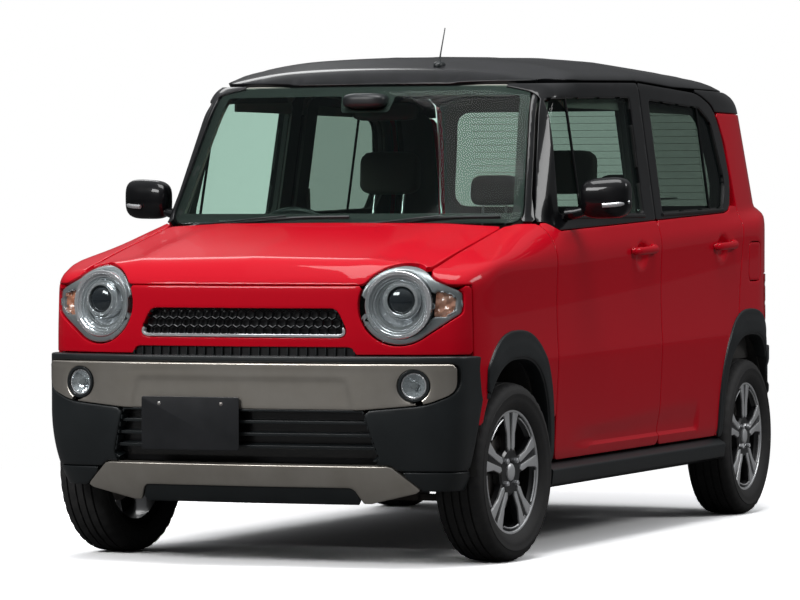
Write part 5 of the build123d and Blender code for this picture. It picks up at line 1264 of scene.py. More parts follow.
    def roof(self) -> None:
        """The black roof with its seams, the rails beside it and the headlining."""
        up = Rays(Way.ROUND_Y, (0.0, 1150.0), 640.0, 1200.0)
        hatch_zone = self.hatch.grow(GAP / 2 + 1) & limit(1, TAILGATE_FRONT)
        shape = limit(2, ROOF_SPLIT - 14.0, 1800.0) & limit(1, -700.0, 1700.0) - self.screen.grow(5.0)
        shape = (shape | (limit(0, -546.0, 546.0) & limit(2, 1400.0) & limit(1, -700.0, -380.0)))
        shape = shape - self.screen.grow(5.0) - hatch_zone - self.rear_door.grow(5.0) - self.front_door.grow(5.0)
        mesh = Panel(shape & limit(1, -700.0, 1640.0), up, (200.0, 1811.0), (-680.0, 1640.0), depth=16.0,
                     cell=22.0, relief=self.roof_seams).mesh()
        piece("roof_skin", mesh, ROOF, replaces=("roof_panel",))
        rail = limit(2, 1400.0, ROOF_SPLIT - 16.5) & limit(1, -620.0, 1640.0) & limit(0, 300.0)
        rail = rail - self.front_door.grow(GAP / 2) - self.rear_door.grow(GAP / 2) - self.screen.grow(5.0) - \
            self.hatch.grow(GAP / 2 + 1)
        rail = rail & (limit(2, ROOF_JOINT_Z + 2, 1700.0) | limit(1, -700.0, 1000.0))
        side = Panel(rail, Rays(Way.ROUND_Z, (200.0, 500.0), 500.0, 1500.0), (-100.0, 1571.0), (1400.0, 1532.0),
                     depth=20.0, cell=10.0).mesh()
        both_sides("roof_rail", side, BLACK)
        lining = limit(2, 1440.0, 1700.0) & limit(1, -590.0, 1500.0)
        head = Panel(lining - self.screen.grow(20.0), up, (240.0, 1771.0), (-600.0, 1510.0), level=-44.0, depth=8.0,
                     roll=3.0, cell=50.0).mesh()
        piece("headlining", head, HEADLINER)

    @staticmethod
    def roof_seams(p: Array) -> Array:
        """Two shallow channels along the roof and stiffening swages between them."""
        x, y = np.abs(p[:, 0]), p[:, 1]
        ditch = -5.0 * np.exp(-((x - 512.0) / 7.0) ** 2) * smooth_step((y + 480) / 60)
        swage = 2.2 * np.exp(-((x % 170.0 - 85.0) / 26.0) ** 2) * smooth_step((y + 250) / 90) * \
            smooth_step((1250 - y) / 90) * (x < 430)
        return ditch + swage

    def pillars(self) -> None:
        """Windscreen pillars: black, between the screen and the front door."""
        zone = limit(2, 1046.0, 1540.0) & limit(1, -910.0, -480.0) & limit(0, 480.0)
        shape = zone - self.screen.grow(4.0) - self.front_door.grow(GAP / 2)
        shape = shape & self.black.grow(-2.0) & limit(2, 1046.0, ROOF_SPLIT - 16.5)
        mesh = Panel(shape, Rays(Way.ROUND_Z, (0.0, 0.0), 700.0, 1500.0), (250.0, 800.0), (1040.0, 1540.0),
                     depth=26.0, cell=8.0).mesh()
        both_sides("windscreen_pillar", mesh, BLACK)
        inner = Panel(zone & limit(2, 1070.0, 1490.0) & self.screen.grow(36.0) - self.screen.grow(-26.0),
                      Rays(Way.ROUND_Z, (0.0, 0.0), 700.0, 1500.0), (250.0, 800.0), (1040.0, 1540.0),
                      level=-28.0, depth=8.0, roll=3.0, cell=14.0).mesh()
        both_sides("pillar_trim", inner, HEADLINER)

    def quarters(self) -> None:
        """Rear quarters: red up to the joint below the rear corner, black above it."""
        rays = QUARTER_RAYS
        outer = limit(1, 900.0, 1720.0) & limit(0, 300.0) & limit(2, 296.0, 1560.0)
        outer = outer - self.rear_door.grow(GAP / 2) - self.arch_rear - self.hatch.grow(GAP / 2 + 1) - \
            (seen_from_front(TAIL_LAMP) & limit(1, 1480.0)).grow(2.5)
        rear_bumper = limit(1, 1500.0) & limit(2, -100.0, 607.0)
        red = (outer - rear_bumper) & limit(2, 296.0, ROOF_JOINT_Z - 1.5)
        for side, zone in (("left", red - self.lid.grow(2.5)), ("right", red)):
            mesh = Panel(zone, rays, (420.0, 1571.0), (290.0, 1460.0), depth=30.0, cell=12.0).mesh()
            piece(f"rear_quarter_{side}", mesh if side == "left" else mesh.mirrored(), RED,
                  replaces=(f"side_panel_{side}",))
        lid = Panel(self.lid.grow(-1.5) & limit(0, 300.0), self.side, (1255.0, 1410.0), (838.0, 992.0), depth=6.0,
                    cell=9.0).mesh()
        piece("fuel_lid_skin", lid, RED, "fuel_lid", replaces=("fuel_lid",))
        inner = limit(1, 700.0, 1600.0) & limit(2, 560.0, 1490.0) & limit(0, 300.0)
        inner = inner - self.rear_door.grow(6.0) - self.hatch.grow(-20.0)
        trim = Panel(inner, rays, (420.0, 1571.0), (560.0, 1490.0), level=-62.0, depth=6.0, roll=2.0,
                     cell=30.0).mesh()
        both_sides("cabin_quarter_trim", trim, CABIN_TRIM)

    def apertures(self) -> None:
        """Door rebates: a black flange round each opening, the middle pillar and the inner sill."""
        for name, outline, span in (("front", seen_from_side(FRONT_DOOR), (-815.0, 290.0)),
                                    ("rear", self.rear_door, (230.0, 1225.0))):
            ring = outline.grow(12.0) - outline.grow(-24.0) - self.arch_front.grow(4) - self.arch_rear.grow(4)
            ring = ring & limit(2, 300.0, 1530.0) & self.behind_screen & limit(1, -762.0, 1400.0)
            mesh = Panel(ring, self.side, span, (286.0, 1545.0), level=-70.0, depth=8.0, roll=2.0, cell=14.0).mesh()
            both_sides(f"{name}_aperture", mesh, SEAL)
        pillar = limit(1, B_LINE - 44.0, B_LINE + 52.0) & limit(2, 330.0, 1500.0)
        mesh = Panel(pillar, self.side, (B_LINE - 50, B_LINE + 70), (320.0, 1510.0), level=-74.0, depth=10.0,
                     roll=4.0, cell=16.0).mesh()
        both_sides("middle_pillar", mesh, CABIN_TRIM)
        sill = limit(1, -745.0, 1000.0) & limit(2, 296.0, 392.0)
        mesh = Panel(sill - self.arch_front.grow(20) - self.arch_rear.grow(20), self.side, (-800.0, 1000.0),
                     (280.0, 400.0), level=-74.0, depth=10.0, roll=3.0, cell=18.0).mesh()
        both_sides("inner_sill", mesh, RED)

    def screens(self) -> None:
        """Windscreen with its printed border, and the tailgate's glass."""
        rays = Rays(Way.ROUND_Z, (0.0, 0.0), 800.0, 1500.0)
        glass = Panel(self.screen & limit(1, -1000.0, -300.0), rays, (-800.0, 800.0), (1050.0, 1520.0), level=-4.0,
                      depth=4.0, roll=1.0, cell=26.0).mesh()
        piece("windscreen_glass", glass, CLEAR_GLASS, replaces=("windscreen",))
        border = self.screen.grow(-3.0) - self.screen.grow(-34.0)
        border = border | (seen_from_front([(0.0, 1520.0, 0.0), (105.0, 1520.0, 0.0), (84.0, 1424.0, 12.0),
                                            (0.0, 1424.0, 0.0)]) & self.screen.grow(-3.0))
        mesh = Panel(border & limit(1, -1000.0, -300.0), rays, (-800.0, 800.0), (1050.0, 1520.0), level=-8.6,
                     depth=1.0, roll=0.3, cell=11.0).mesh()
        piece("windscreen_border", mesh, SEAL)
        back = TAIL_RAYS
        rear = Panel(self.rear_screen.grow(12.0) & limit(1, 1300.0), back, (-600.0, 600.0), (1090.0, 1500.0),
                     level=-3.0, depth=4.0, roll=1.5, cell=24.0).mesh()
        piece("tailgate_window", rear, DARK_GLASS, "tailgate", replaces=("tailgate_glass",))
        z = np.arange(1140.0, 1460.0, 26.0)
        wires = [swept(cast(back, BODY, -9.0, np.c_[np.linspace(-455, 455, 30), np.full(30, h)]), 0.7, 4)
                 for h in z]
        piece("rear_heater_lines", joined(wires), EXHAUST, "tailgate")

    def tailgate(self) -> None:
        """Tailgate skin with the number recess, lower crease and inner lining."""
        rays = Rays(Way.ROUND_X, (1180.0, 1050.0), 520.0, 1200.0)
        shape = self.hatch.grow(-GAP / 2) & limit(1, TAILGATE_FRONT + 5.0)
        lower = shape - self.rear_screen.grow(14.0)
        skin = Panel(lower & limit(2, 600.0, 1498.0), TAIL_RAYS,
                     (-640.0, 640.0), (600.0, 1505.0), depth=24.0, cell=13.0, relief=self.tailgate_relief).mesh()
        piece("tailgate_skin", skin, RED, "tailgate", replaces=("tailgate",))
        top = Panel(shape & limit(2, 1500.0), rays, (800.0, 1500.0), (-620.0, 620.0), depth=18.0, cell=12.0,
                    roll=2.0).mesh()
        piece("tailgate_spoiler", top, ROOF, "tailgate")
        inner = Panel(shape.grow(-30.0) - self.rear_screen.grow(-8.0),
                      TAIL_RAYS, (-640.0, 640.0), (600.0, 1520.0), level=-34.0,
                      depth=8.0, roll=3.0, cell=22.0).mesh()
        piece("tailgate_lining", inner, CABIN_TRIM, "tailgate")

    @staticmethod
    def tailgate_relief(p: Array) -> Array:
        """A shallow recess around the rear plate and a soft crease across the tailgate."""
        x, z = np.abs(p[:, 0]), p[:, 2]
        recess = -9.0 * smooth_step((245 - x) / 22) * smooth_step((860 - z) / 16) * smooth_step((z - 665) / 30)
        crease = 3.0 * np.exp(-((z - 925) / 16) ** 2) * smooth_step((560 - x) / 60)
        return recess + crease


@dataclass
class Cladding:
    """Black arch and sill mouldings and the two bumpers."""

    def arches(self) -> None:
        """Arch mouldings with a bright upper chamfer, standing off the side."""
        for name, axle, rise, edge in (("front", FRONT_AXLE, FRONT_ARCH_B, FRONT_EDGE_B),
                                       ("rear", REAR_AXLE, REAR_ARCH_B, REAR_EDGE_B)):
            outer, inner = wheel_arch(axle, ARCH_EDGE_A, edge), wheel_arch(axle, ARCH_A + 2, rise + 2)
            span = limit(1, -1425.3, 1499.0) & limit(2, 292.0, 800.0)
            shape = (outer - inner) & span
            lip = (wheel_arch(axle, ARCH_A + 16, rise + 16) - wheel_arch(axle, ARCH_A - 3, rise - 3)) & span
            ys = (axle - 360.0, axle + 360.0)
            mesh = Panel(shape, SIDE_RAYS, ys, (284.0, 770.0), level=6.5, depth=24.0,
                         roll=5.5, cell=11.0,
                         relief=lambda p, outer=outer: 1.8 * smooth_step((outer(p) + 22) / -8)).mesh()
            both_sides(f"{name}_arch_moulding", mesh, PLASTIC,
                       replaces=((("arch_claddings",) if name == "front" else ()), ()))
            rim = Panel(lip, SIDE_RAYS, ys, (284.0, 770.0), level=4.0, depth=42.0,
                        roll=3.0, cell=11.0).mesh()
            both_sides(f"{name}_arch_lip", rim, PLASTIC)
            liner = self.liner(axle, ARCH_A + 3.0, rise + 3.0)
            both_sides(f"{name}_arch_liner", liner, UNDERBODY)

    @staticmethod
    def liner(axle: float, half: float, rise: float) -> Mesh:
        """The wheel housing's shell, from the arch inwards, with a flat inner wall.

        Args:
            axle: lengthways place of the hub.
            half: half-length of the arch.
            rise: its height above the hub.
        Returns:
            The open shell.
        """
        t = np.linspace(-0.02, math.pi + 0.02, 40)
        power = 2 / 2.5
        y = axle + half * np.sign(np.cos(t)) * np.abs(np.cos(t)) ** power
        z = HUB_Z + rise * np.maximum(np.sin(t), 0) ** power
        xs = [700.0, 640.0, 540.0, 402.0] if axle < 0 else [700.0, 640.0, 590.0, 545.0]
        rows = [np.stack([np.full(40, x), y, z + 2 * k], 1) for k, x in enumerate(xs)]
        rows.append(np.stack([np.full(40, xs[-1]), axle + (y - axle) * 0.02, HUB_Z + (z - HUB_Z) * 0.3], 1))
        return Mesh(np.concatenate(rows), [grid_quads(len(rows), len(t))])

    def sills(self) -> None:
        """Sill mouldings: one section drawn along each sill."""
        section = rounded([(655.0, 203.0, 6.0), (725.5, 222.0, 14.0), (731.5, 270.0, 10.0), (700.0, 290.0, 8.0),
                           (655.0, 290.0, 4.0)], 5)
        ys = np.linspace(FRONT_AXLE + ARCH_A + 6, REAR_AXLE - ARCH_A - 6, 40)
        n = len(section)
        points = np.concatenate([np.c_[section[:, 0], np.full(n, y), section[:, 1]] for y in ys])
        both_sides("sill_moulding", closed_tube(points, len(ys), n), PLASTIC, replaces=(("sill_claddings",), ()))

    def front(self) -> None:
        """Front bumper: black mask, silver trim, black chin, and a silver skid plate with a black insert."""
        rays = NOSE_RAYS
        wide = (-900.0, 900.0)
        reach = limit(1, -1760.0, -1405.0)
        fogs = round_hole(FOG_X, FOG_Z, FOG_R) | round_hole(-FOG_X, FOG_Z, FOG_R)
        grille, skid = seen_from_front(LOWER_GRILLE), seen_from_front(SKID)
        garnish = seen_from_front(GARNISH)
        mask = limit(2, 300.0, 655.0) & reach - grille - garnish.grow(1.5) - skid.grow(2.0)
        mask = mask - wheel_arch(FRONT_AXLE, ARCH_A + 22, FRONT_ARCH_B + 30)
        mesh = Panel(mask & limit(2, 238.0), rays, wide, (230.0, 665.0), FRONT_BUMPER, depth=40.0, roll=6.0,
                     cell=12.0).mesh()
        piece("bumper_mask", mesh, PLASTIC, replaces=("front_bumper",))
        chin = limit(2, 238.0, 298.0) & reach - skid.grow(2.0) - grille - \
            wheel_arch(FRONT_AXLE, ARCH_A + 8, FRONT_ARCH_B + 8)
        mesh = Panel(chin, rays, wide, (230.0, 305.0), FRONT_BUMPER, depth=40.0, roll=4.0, cell=12.0).mesh()
        piece("bumper_chin", mesh, PLASTIC)
        trim = garnish & reach - fogs
        mesh = Panel(trim, rays, wide, (480.0, 640.0), FRONT_BUMPER, level=4.0, depth=16.0, roll=5.0, cell=8.0,
                     relief=self.garnish_relief).mesh()
        piece("bumper_trim", mesh, CHAMPAGNE, replaces=("bumper_garnish",))
        lip = skid & reach
        mesh = Panel(lip - seen_from_front([(0.0, 150.0, 0.0), (398.0, 150.0, 0.0), (352.0, 246.0, 24.0),
                                            (0.0, 246.0, 0.0)]),
                     rays, wide, (190.0, 325.0), FRONT_BUMPER, level=3.0, depth=16.0, roll=4.0, cell=9.0).mesh()
        piece("skid_trim", mesh, CHAMPAGNE, replaces=("skid_plate",))
        insert = seen_from_front([(0.0, 192.0, 0.0), (374.0, 192.0, 8.0), (350.0, 252.0, 22.0), (0.0, 252.0, 0.0)])
        mesh = Panel(insert & reach, rays, wide, (186.0, 260.0), FRONT_BUMPER, level=-2.0, depth=14.0, roll=4.0,
                     cell=12.0).mesh()
        piece("skid_insert", mesh, PLASTIC)

    @staticmethod
    def garnish_relief(p: Array) -> Array:
        """Press the middle of the silver trim in, inside a folded outline, and dish it round the fog lamps."""
        x, z = np.abs(p[:, 0]), p[:, 2]
        inside = distance(np.c_[x, z], rounded([(-60, 430, 0), (392, 430, 0), (352, 586, 26), (-60, 586, 0)]))
        dish = np.exp(-((np.hypot(x - FOG_X, z - FOG_Z) - FOG_R) / 12) ** 2)
        return -7.0 * smooth_step((4 - inside) / 14) - 2.0 * dish + 3.0 * smooth_step((z - 612) / 14)

    def rear(self) -> None:
        """Rear bumper: black with a raised middle, reflectors and a silver skid."""
        rays = Rays(Way.ROUND_Z, (0.0, 1150.0), 560.0, 900.0)
        middle, wide = 560.0 * math.pi, 900.0
        bumper = limit(1, 1502.0) & limit(2, 238.0, 604.0) - wheel_arch(REAR_AXLE, ARCH_A + 8, REAR_ARCH_B + 8)
        tow = round_hole(420.0, 330.0, 26.0)
        skid = seen_from_front([(0.0, 238.0, 0.0), (330.0, 238.0, 30.0), (300.0, 318.0, 20.0), (0.0, 318.0, 0.0)])
        mesh = Panel(bumper - skid.grow(2.0) - tow, rays, (middle - wide, middle + wide), (230.0, 612.0),
                     REAR_BUMPER, depth=40.0, roll=6.0, cell=12.0, relief=self.rear_relief).mesh()
        piece("rear_bumper_skin", mesh, PLASTIC, replaces=("rear_bumper",))
        mesh = Panel((skid & limit(1, 1502.0)).grow(-1.0), rays, (middle - wide, middle + wide), (230.0, 325.0),
                     REAR_BUMPER, level=-1.0, depth=14.0, roll=4.0, cell=12.0).mesh()
        piece("rear_skid", mesh, CHAMPAGNE)
        lamps = limit(1, 1502.0) & seen_from_front([(520.0, 470.0, 8.0), (640.0, 470.0, 8.0), (640.0, 500.0, 8.0),
                                                    (520.0, 500.0, 8.0)]) & limit(0, 300.0)
        mesh = Panel(lamps, rays, (middle - wide, middle), (460.0, 510.0), REAR_BUMPER, level=-0.5, depth=8.0,
                     roll=2.0, cell=6.0).mesh()
        both_sides("rear_reflector", mesh, LENS_RED)

    @staticmethod
    def rear_relief(p: Array) -> Array:
        """Step the rear bumper's lower middle in and give its top a shelf."""
        x, z = np.abs(p[:, 0]), p[:, 2]
        step = -8.0 * smooth_step((430 - z) / 14) * smooth_step((x - 360) / 30)
        return step - 6.0 * smooth_step((545 - z) / 12) * smooth_step((z - 455) / 12)


# ---------------------------------------------------------------- lamps, grille and trim
def front_y(x: float, z: float, skin: Skin = BODY, level: float = 0.0) -> float:
    """Where the nose stands at a place seen from the front."""
    return float(cast(Rays(Way.FORWARD, (-1150.0, 0.0), reach=900.0), skin, level, np.array([[x, z]]))[0, 1])


def rear_y(x: float, z: float, skin: Skin = BODY) -> float:
    """Where the tail stands at a place seen from behind."""
    return float(cast(TAIL_RAYS, skin, 0.0, np.array([[x, z]]))[0, 1])


def ring(inner: float, outer: float, front: float, back: float, segments: int = 64, edge: float = 1.5) -> Mesh:
    """A turned ring between two radii, its front edges rounded."""
    return outward(turned([(back, inner), (front - edge, inner), (front, inner + edge), (front, outer - edge),
                           (front - edge, outer), (back, outer)], segments))


@dataclass
class Headlamps:
    """Round lamps with stacked bright rings, a projector and an outboard indicator."""
    zone: Shape
    rays: Rays = NOSE_RAYS
    span_u: tuple[float, float] = (150.0, 760.0)
    span_v: tuple[float, float] = (680.0, 930.0)

    def make(self) -> None:
        """Build the left lamp and its mirror image."""
        window = seen_from_front([(604.0, 776.0, 4.0), (610.0, 856.0, 8.0), (652.0, 846.0, 12.0), (666.0, 830.0, 10.0),
                                  (664.0, 792.0, 12.0), (640.0, 776.0, 10.0)])
        bowl = round_hole(503.0, LAMP_Z, 103.0)
        whole = self.zone & limit(0, 300.0)
        lens = Panel(whole.grow(-1.0), self.rays, self.span_u, self.span_v, level=-1.0, depth=3.0, roll=1.5,
                     cell=12.0).mesh()
        both_sides("headlamp_lens", lens, LAMP_GLASS, replaces=(("headlamps",), ()))
        bezel = Panel(whole.grow(-1.5) - bowl - window, self.rays, self.span_u, self.span_v, level=-7.0, depth=34.0,
                      roll=5.0, cell=7.0).mesh()
        both_sides("headlamp_bezel", bezel, BEZEL)
        rim = Panel(whole.grow(-0.5) - whole.grow(-5.0), self.rays, self.span_u, self.span_v, level=-4.0,
                    depth=50.0, roll=1.5, cell=7.0).mesh()
        both_sides("headlamp_rim", rim, CHROME)
        back = Panel(whole.grow(2.5), self.rays, self.span_u, self.span_v, level=-58.0, depth=4.0, roll=1.0,
                     cell=24.0).mesh()
        both_sides("headlamp_back", back, WHEEL_BLACK)
        amber = Panel(window.grow(3.0) & limit(1, -1760.0, -1300.0), self.rays, self.span_u, self.span_v,
                      level=-20.0, depth=6.0, roll=1.0, cell=5.0, relief=self.facets).mesh()
        both_sides("headlamp_indicator", amber, AMBER)
        frame = Panel(window.grow(2.0) - window.grow(-3.0) & limit(1, -1760.0, -1300.0), self.rays, self.span_u,
                      self.span_v, level=-6.0, depth=14.0, roll=1.2, cell=5.0).mesh()
        both_sides("headlamp_indicator_frame", frame, CHROME)
        aim = self.aim(503.0, LAMP_Z)
        rings = [ring(92.0, 104.0, -2.0, -40.0), ring(84.0, 93.0, -12.0, -44.0), ring(77.0, 85.0, -20.0, -48.0)]
        shell = outward(turned([(-22.0, 79.0), (-34.0, 70.0), (-46.0, 58.0), (-52.0, 44.0), (-56.0, 44.0),
                                (-56.0, 79.0)], 64))
        both_sides("headlamp_rings", joined(rings + [shell]).moved(aim), CHROME)
        shade_ring = ring(66.0, 77.0, -27.0, -50.0)
        both_sides("headlamp_step", shade_ring.moved(aim), BEZEL)
        eye = aim @ shift(0.0, 8.0, 14.0)
        shroud = joined([ring(43.0, 52.0, -8.0, -50.0), ring(50.0, 60.0, -20.0, -50.0)])
        both_sides("projector_shroud", shroud.moved(eye), CHROME)
        t = np.linspace(0, math.pi / 2, 9)
        dome = [(-22.0 + 16.0 * math.sin(a), 42.0 * math.cos(a)) for a in t] + [(-40.0, 0.0), (-40.0, 42.0)]
        dome[8] = (dome[8][0], 0.0)
        both_sides("projector_lens", outward(turned(dome, 48)).moved(eye), LENS_DARK)

    @staticmethod
    def facets(p: Array) -> Array:
        """Fold the indicator into slanted facets."""
        a, b = (p[:, 0] + 0.4 * p[:, 2]) / 26.0, (p[:, 2] - 0.5 * p[:, 0]) / 30.0
        return 14.0 * (np.abs(a % 1 - 0.5) + np.abs(b % 1 - 0.5)) - 6.0

    @staticmethod
    def aim(x: float, z: float, skin: Skin = BODY) -> Matrix:
        """Stand a turned piece on the skin: its axis leaves the car square to the skin, half straightened.

        Args:
            x: sideways place.
            z: height.
            skin: the skin it stands on.
        Returns:
            The placement.
        """
        y = front_y(x, z, skin)
        n = gradient(skin, np.array([[x, y, z]]))[0]
        yaw = math.degrees(math.atan2(n[0], -n[1])) * 0.75
        return Matrix.Translation((x, y, z)) @ Matrix.Rotation(math.radians(yaw - 90), 4, "Z") @ \
            Matrix.Rotation(-math.asin(max(min(float(n[2]), 0.5), -0.5)) * 0.6, 4, "Y")


@dataclass
class FrontTrim:
    """Upper grille, lower slats, plate and fog lamps."""

    def grille(self) -> None:
        """A frame with a bright lower edge round three staggered rows of hexagons, the lower edge of each hexagon
        carrying a painted highlight.
        """
        rays = NOSE_RAYS
        zone = seen_from_front(GRILLE) & limit(1, -1760.0, -1400.0)
        wide, tall = (-420.0, 420.0), (700.0, 812.0)
        back = Panel(zone.grow(4.0), rays, wide, tall, level=-26.0, depth=4.0, roll=1.0, cell=20.0).mesh()
        piece("grille_back", back, WHEEL_BLACK, replaces=("upper_grille",))
        frame = Panel(zone.grow(1.5) - zone.grow(-6.0), rays, wide, tall, level=0.5, depth=24.0, roll=2.5,
                      cell=6.0).mesh()
        piece("grille_frame", frame, BLACK)
        strip = (zone.grow(-0.5) - zone.grow(-9.5)) & limit(2, 700.0, 742.0)
        chrome = Panel(strip, rays, wide, tall, level=3.0, depth=16.0, roll=1.6, cell=3.4).mesh()
        piece("grille_strip", chrome, CHROME)
        piece("grille_mesh", self.honeycomb(), BLACK)
        # Painted highlight: a lighter grey strip on the lower inner edge of each black hexagon.
        edges = self.honeycomb(lower_only=True)
        piece("grille_mesh_painted_highlight", edges, BEZEL)

    @staticmethod
    def honeycomb(lower_only: bool = False) -> Mesh:
        """Hexagon rings in three staggered rows, each set square on the nose and trimmed by the grille's ends.

        Args:
            lower_only: make only the lower edge of each ring, a lighter strip that is a painted highlight.
        Returns:
            The rings.
        """
        radius, wall, pitch = 17.2, 3.0, 29.6
        cells = []
        for row, z in enumerate((730.0, 755.5, 781.0)):
            half = 357.0 - (z - 712.0) * 45.0 / 87.0 - 14.0
            count = int(half // pitch)
            for k in range(-count - 1, count + 2):
                x = k * pitch + (pitch / 2 if row % 2 else 0.0)
                if abs(x) < half:
                    cells.append((x, front_y(x, z), z))
        centres = np.array(cells)
        angle = np.arange(6) * math.pi / 3 + math.pi / 6
        if lower_only:
            # The three lower sides only, as a lighter strip: a painted highlight.
            angle = np.array([math.pi * 7 / 6, math.pi * 3 / 2, math.pi * 11 / 6])
            inner, outer, front, back, closed = radius - wall - 1.6, radius - wall + 0.2, -3.0, 2.0, False
        else:
            inner, outer, front, back, closed = radius - wall, radius, -1.0, 9.0, True
        loops = []
        for r, y in ((inner, front + 1.0), (inner + 0.8, front), (outer - 0.8, front), (outer, front + 1.0),
                     (outer, back), (inner, back)):
            loops.append(np.stack([r * np.cos(angle), np.full(len(angle), y + 8.0), r * np.sin(angle)], 1))
        n, m = len(angle), len(loops)
        base = np.concatenate(loops)
        i, j = np.meshgrid(np.arange(m), np.arange(n if closed else n - 1), indexing="ij")
        quads = np.stack([i * n + j, i * n + (j + 1) % n, ((i + 1) % m) * n + (j + 1) % n, ((i + 1) % m) * n + j],
                         -1).reshape(-1, 4)
        points = (centres[:, None] + base[None]).reshape(-1, 3)
        faces = (quads[None] + (np.arange(len(centres)) * len(base))[:, None, None]).reshape(-1, 4)
        return outward(Mesh(points, [faces]))

    def lower(self) -> None:
        """Lower opening: dark back and three slats."""
        rays = NOSE_RAYS
        zone = seen_from_front(LOWER_GRILLE) & limit(1, -1760.0, -1300.0)
        back = Panel(zone.grow(8.0), rays, (-500.0, 500.0), (310.0, 500.0), FRONT_BUMPER, level=-48.0, depth=5.0,
                     roll=1.0, cell=22.0).mesh()
        piece("lower_grille_back", back, WHEEL_BLACK, replaces=("lower_grille",))
        slats = []
        for z in (372.0, 411.0, 450.0):
            half = 452.0 - (z - 330.0) * 47.0 / 158.0 + 4.0
            bar = zone.grow(4.0) & limit(2, z - 5.0, z + 5.0) & limit(0, -half, half)
            slats.append(Panel(bar, rays, (-500.0, 500.0), (z - 14.0, z + 14.0), FRONT_BUMPER, level=-16.0,
                               depth=26.0, roll=1.6, cell=3.6).mesh())
        piece("lower_grille_slats", joined(slats), PLASTIC)
        frame = Panel(zone.grow(2.0) - zone.grow(-5.0), rays, (-500.0, 500.0), (310.0, 500.0), FRONT_BUMPER,
                      level=-5.0, depth=36.0, roll=1.2, cell=6.0).mesh()
        piece("lower_grille_frame", frame, PLASTIC)
        strip = Panel(limit(1, -1760.0, -1500.0) & limit(2, 652.0, 686.0) & limit(0, -386.0, 386.0), rays,
                      (-440.0, 440.0), (646.0, 692.0), level=-9.0, depth=12.0, roll=2.0, cell=8.0).mesh()
        piece("nose_recess", strip, WHEEL_BLACK)
        ribs = [soft_box((4.0, 8.0, 26.0), (x, front_y(x, 668.0) + 4.0, 668.0), 8.0, 3)
                for x in np.arange(-372.0, 373.0, 31.0)]
        piece("nose_recess_ribs", joined(ribs), PLASTIC)

    def plate(self) -> None:
        """A blank dark number plate in a thin frame with two bolts, off centre."""
        place = shift(-160.0, FRONT_END, 444.0)
        board = pressed(PLATE_ROWS, 3.0, 1.2, 7).moved(place)
        piece("front_plate_board", board, PLATE, replaces=("front_plate",))
        inner = [(x * 0.965, z * 0.93, 6.0) for x, z, _ in PLATE_ROWS]
        outline, hole = rounded(PLATE_ROWS), rounded(inner)
        rim = Panel(Shape(lambda p: np.maximum(distance(p[:, ::2] - (-160.0, 444.0), outline) + 0.5,
                                               -distance(p[:, ::2] - (-160.0, 444.0), hole))),
                    Rays(Way.FORWARD, (-1000.0, 0.0), reach=900.0), (-330.0, 10.0), (355.0, 532.0),
                    lambda p: -(p[:, 1] - FRONT_END), depth=2.0, roll=0.8, cell=5.0).mesh()
        piece("front_plate_frame", rim, WHEEL_BLACK)
        bolts = [outward(turned(PLATE_BOLT, 6))
                 .moved(placed(-160.0 + dx, FRONT_END + 0.4, 504.5, -90))
                 for dx in (-105.0, 105.0)]
        piece("front_plate_bolts", joined(bolts), BRIGHT_STEEL)
        pad = pressed([(-150.0, -70.0, 6.0), (150.0, -70.0, 6.0), (150.0, 70.0, 6.0), (-150.0, 70.0, 6.0)], 30.0,
                      2.0).moved(shift(-160.0, FRONT_END + 3.0, 444.0))
        piece("front_plate_holder", pad, PLASTIC)

    def fogs(self) -> None:
        """Round fog lamps in the ends of the silver trim."""
        y = front_y(FOG_X, FOG_Z, FRONT_BUMPER)
        aim = Matrix.Translation((FOG_X, y, FOG_Z)) @ Matrix.Rotation(math.radians(-78), 4, "Z")
        both_sides("fog_rim", ring(41.0, 49.5, 3.0, -22.0).moved(aim), PLASTIC, replaces=(("fog_lamps",), ()))
        both_sides("fog_ring", ring(35.0, 40.5, -3.0, -16.0).moved(aim), CHROME)
        bowl = outward(turned([(-8.0, 36.0), (-16.0, 30.0), (-26.0, 16.0), (-30.0, 0.0), (-34.0, 0.0),
                               (-34.0, 40.0), (-8.0, 40.0)], 40))
        both_sides("fog_bowl", bowl.moved(aim), CHROME)
        bulb = outward(turned([(-8.0, 0.0), (-9.0, 9.0), (-13.0, 12.0), (-30.0, 12.0), (-30.0, 0.0)], 24))
        both_sides("fog_bulb", bulb.moved(aim), BEZEL)
        lens = outward(turned([(0.0, 0.0), (-1.0, 20.0), (-3.5, 36.0), (-5.5, 36.0), (-3.0, 20.0), (-2.0, 0.0)], 40))
        both_sides("fog_lens", lens.moved(aim), LAMP_GLASS)


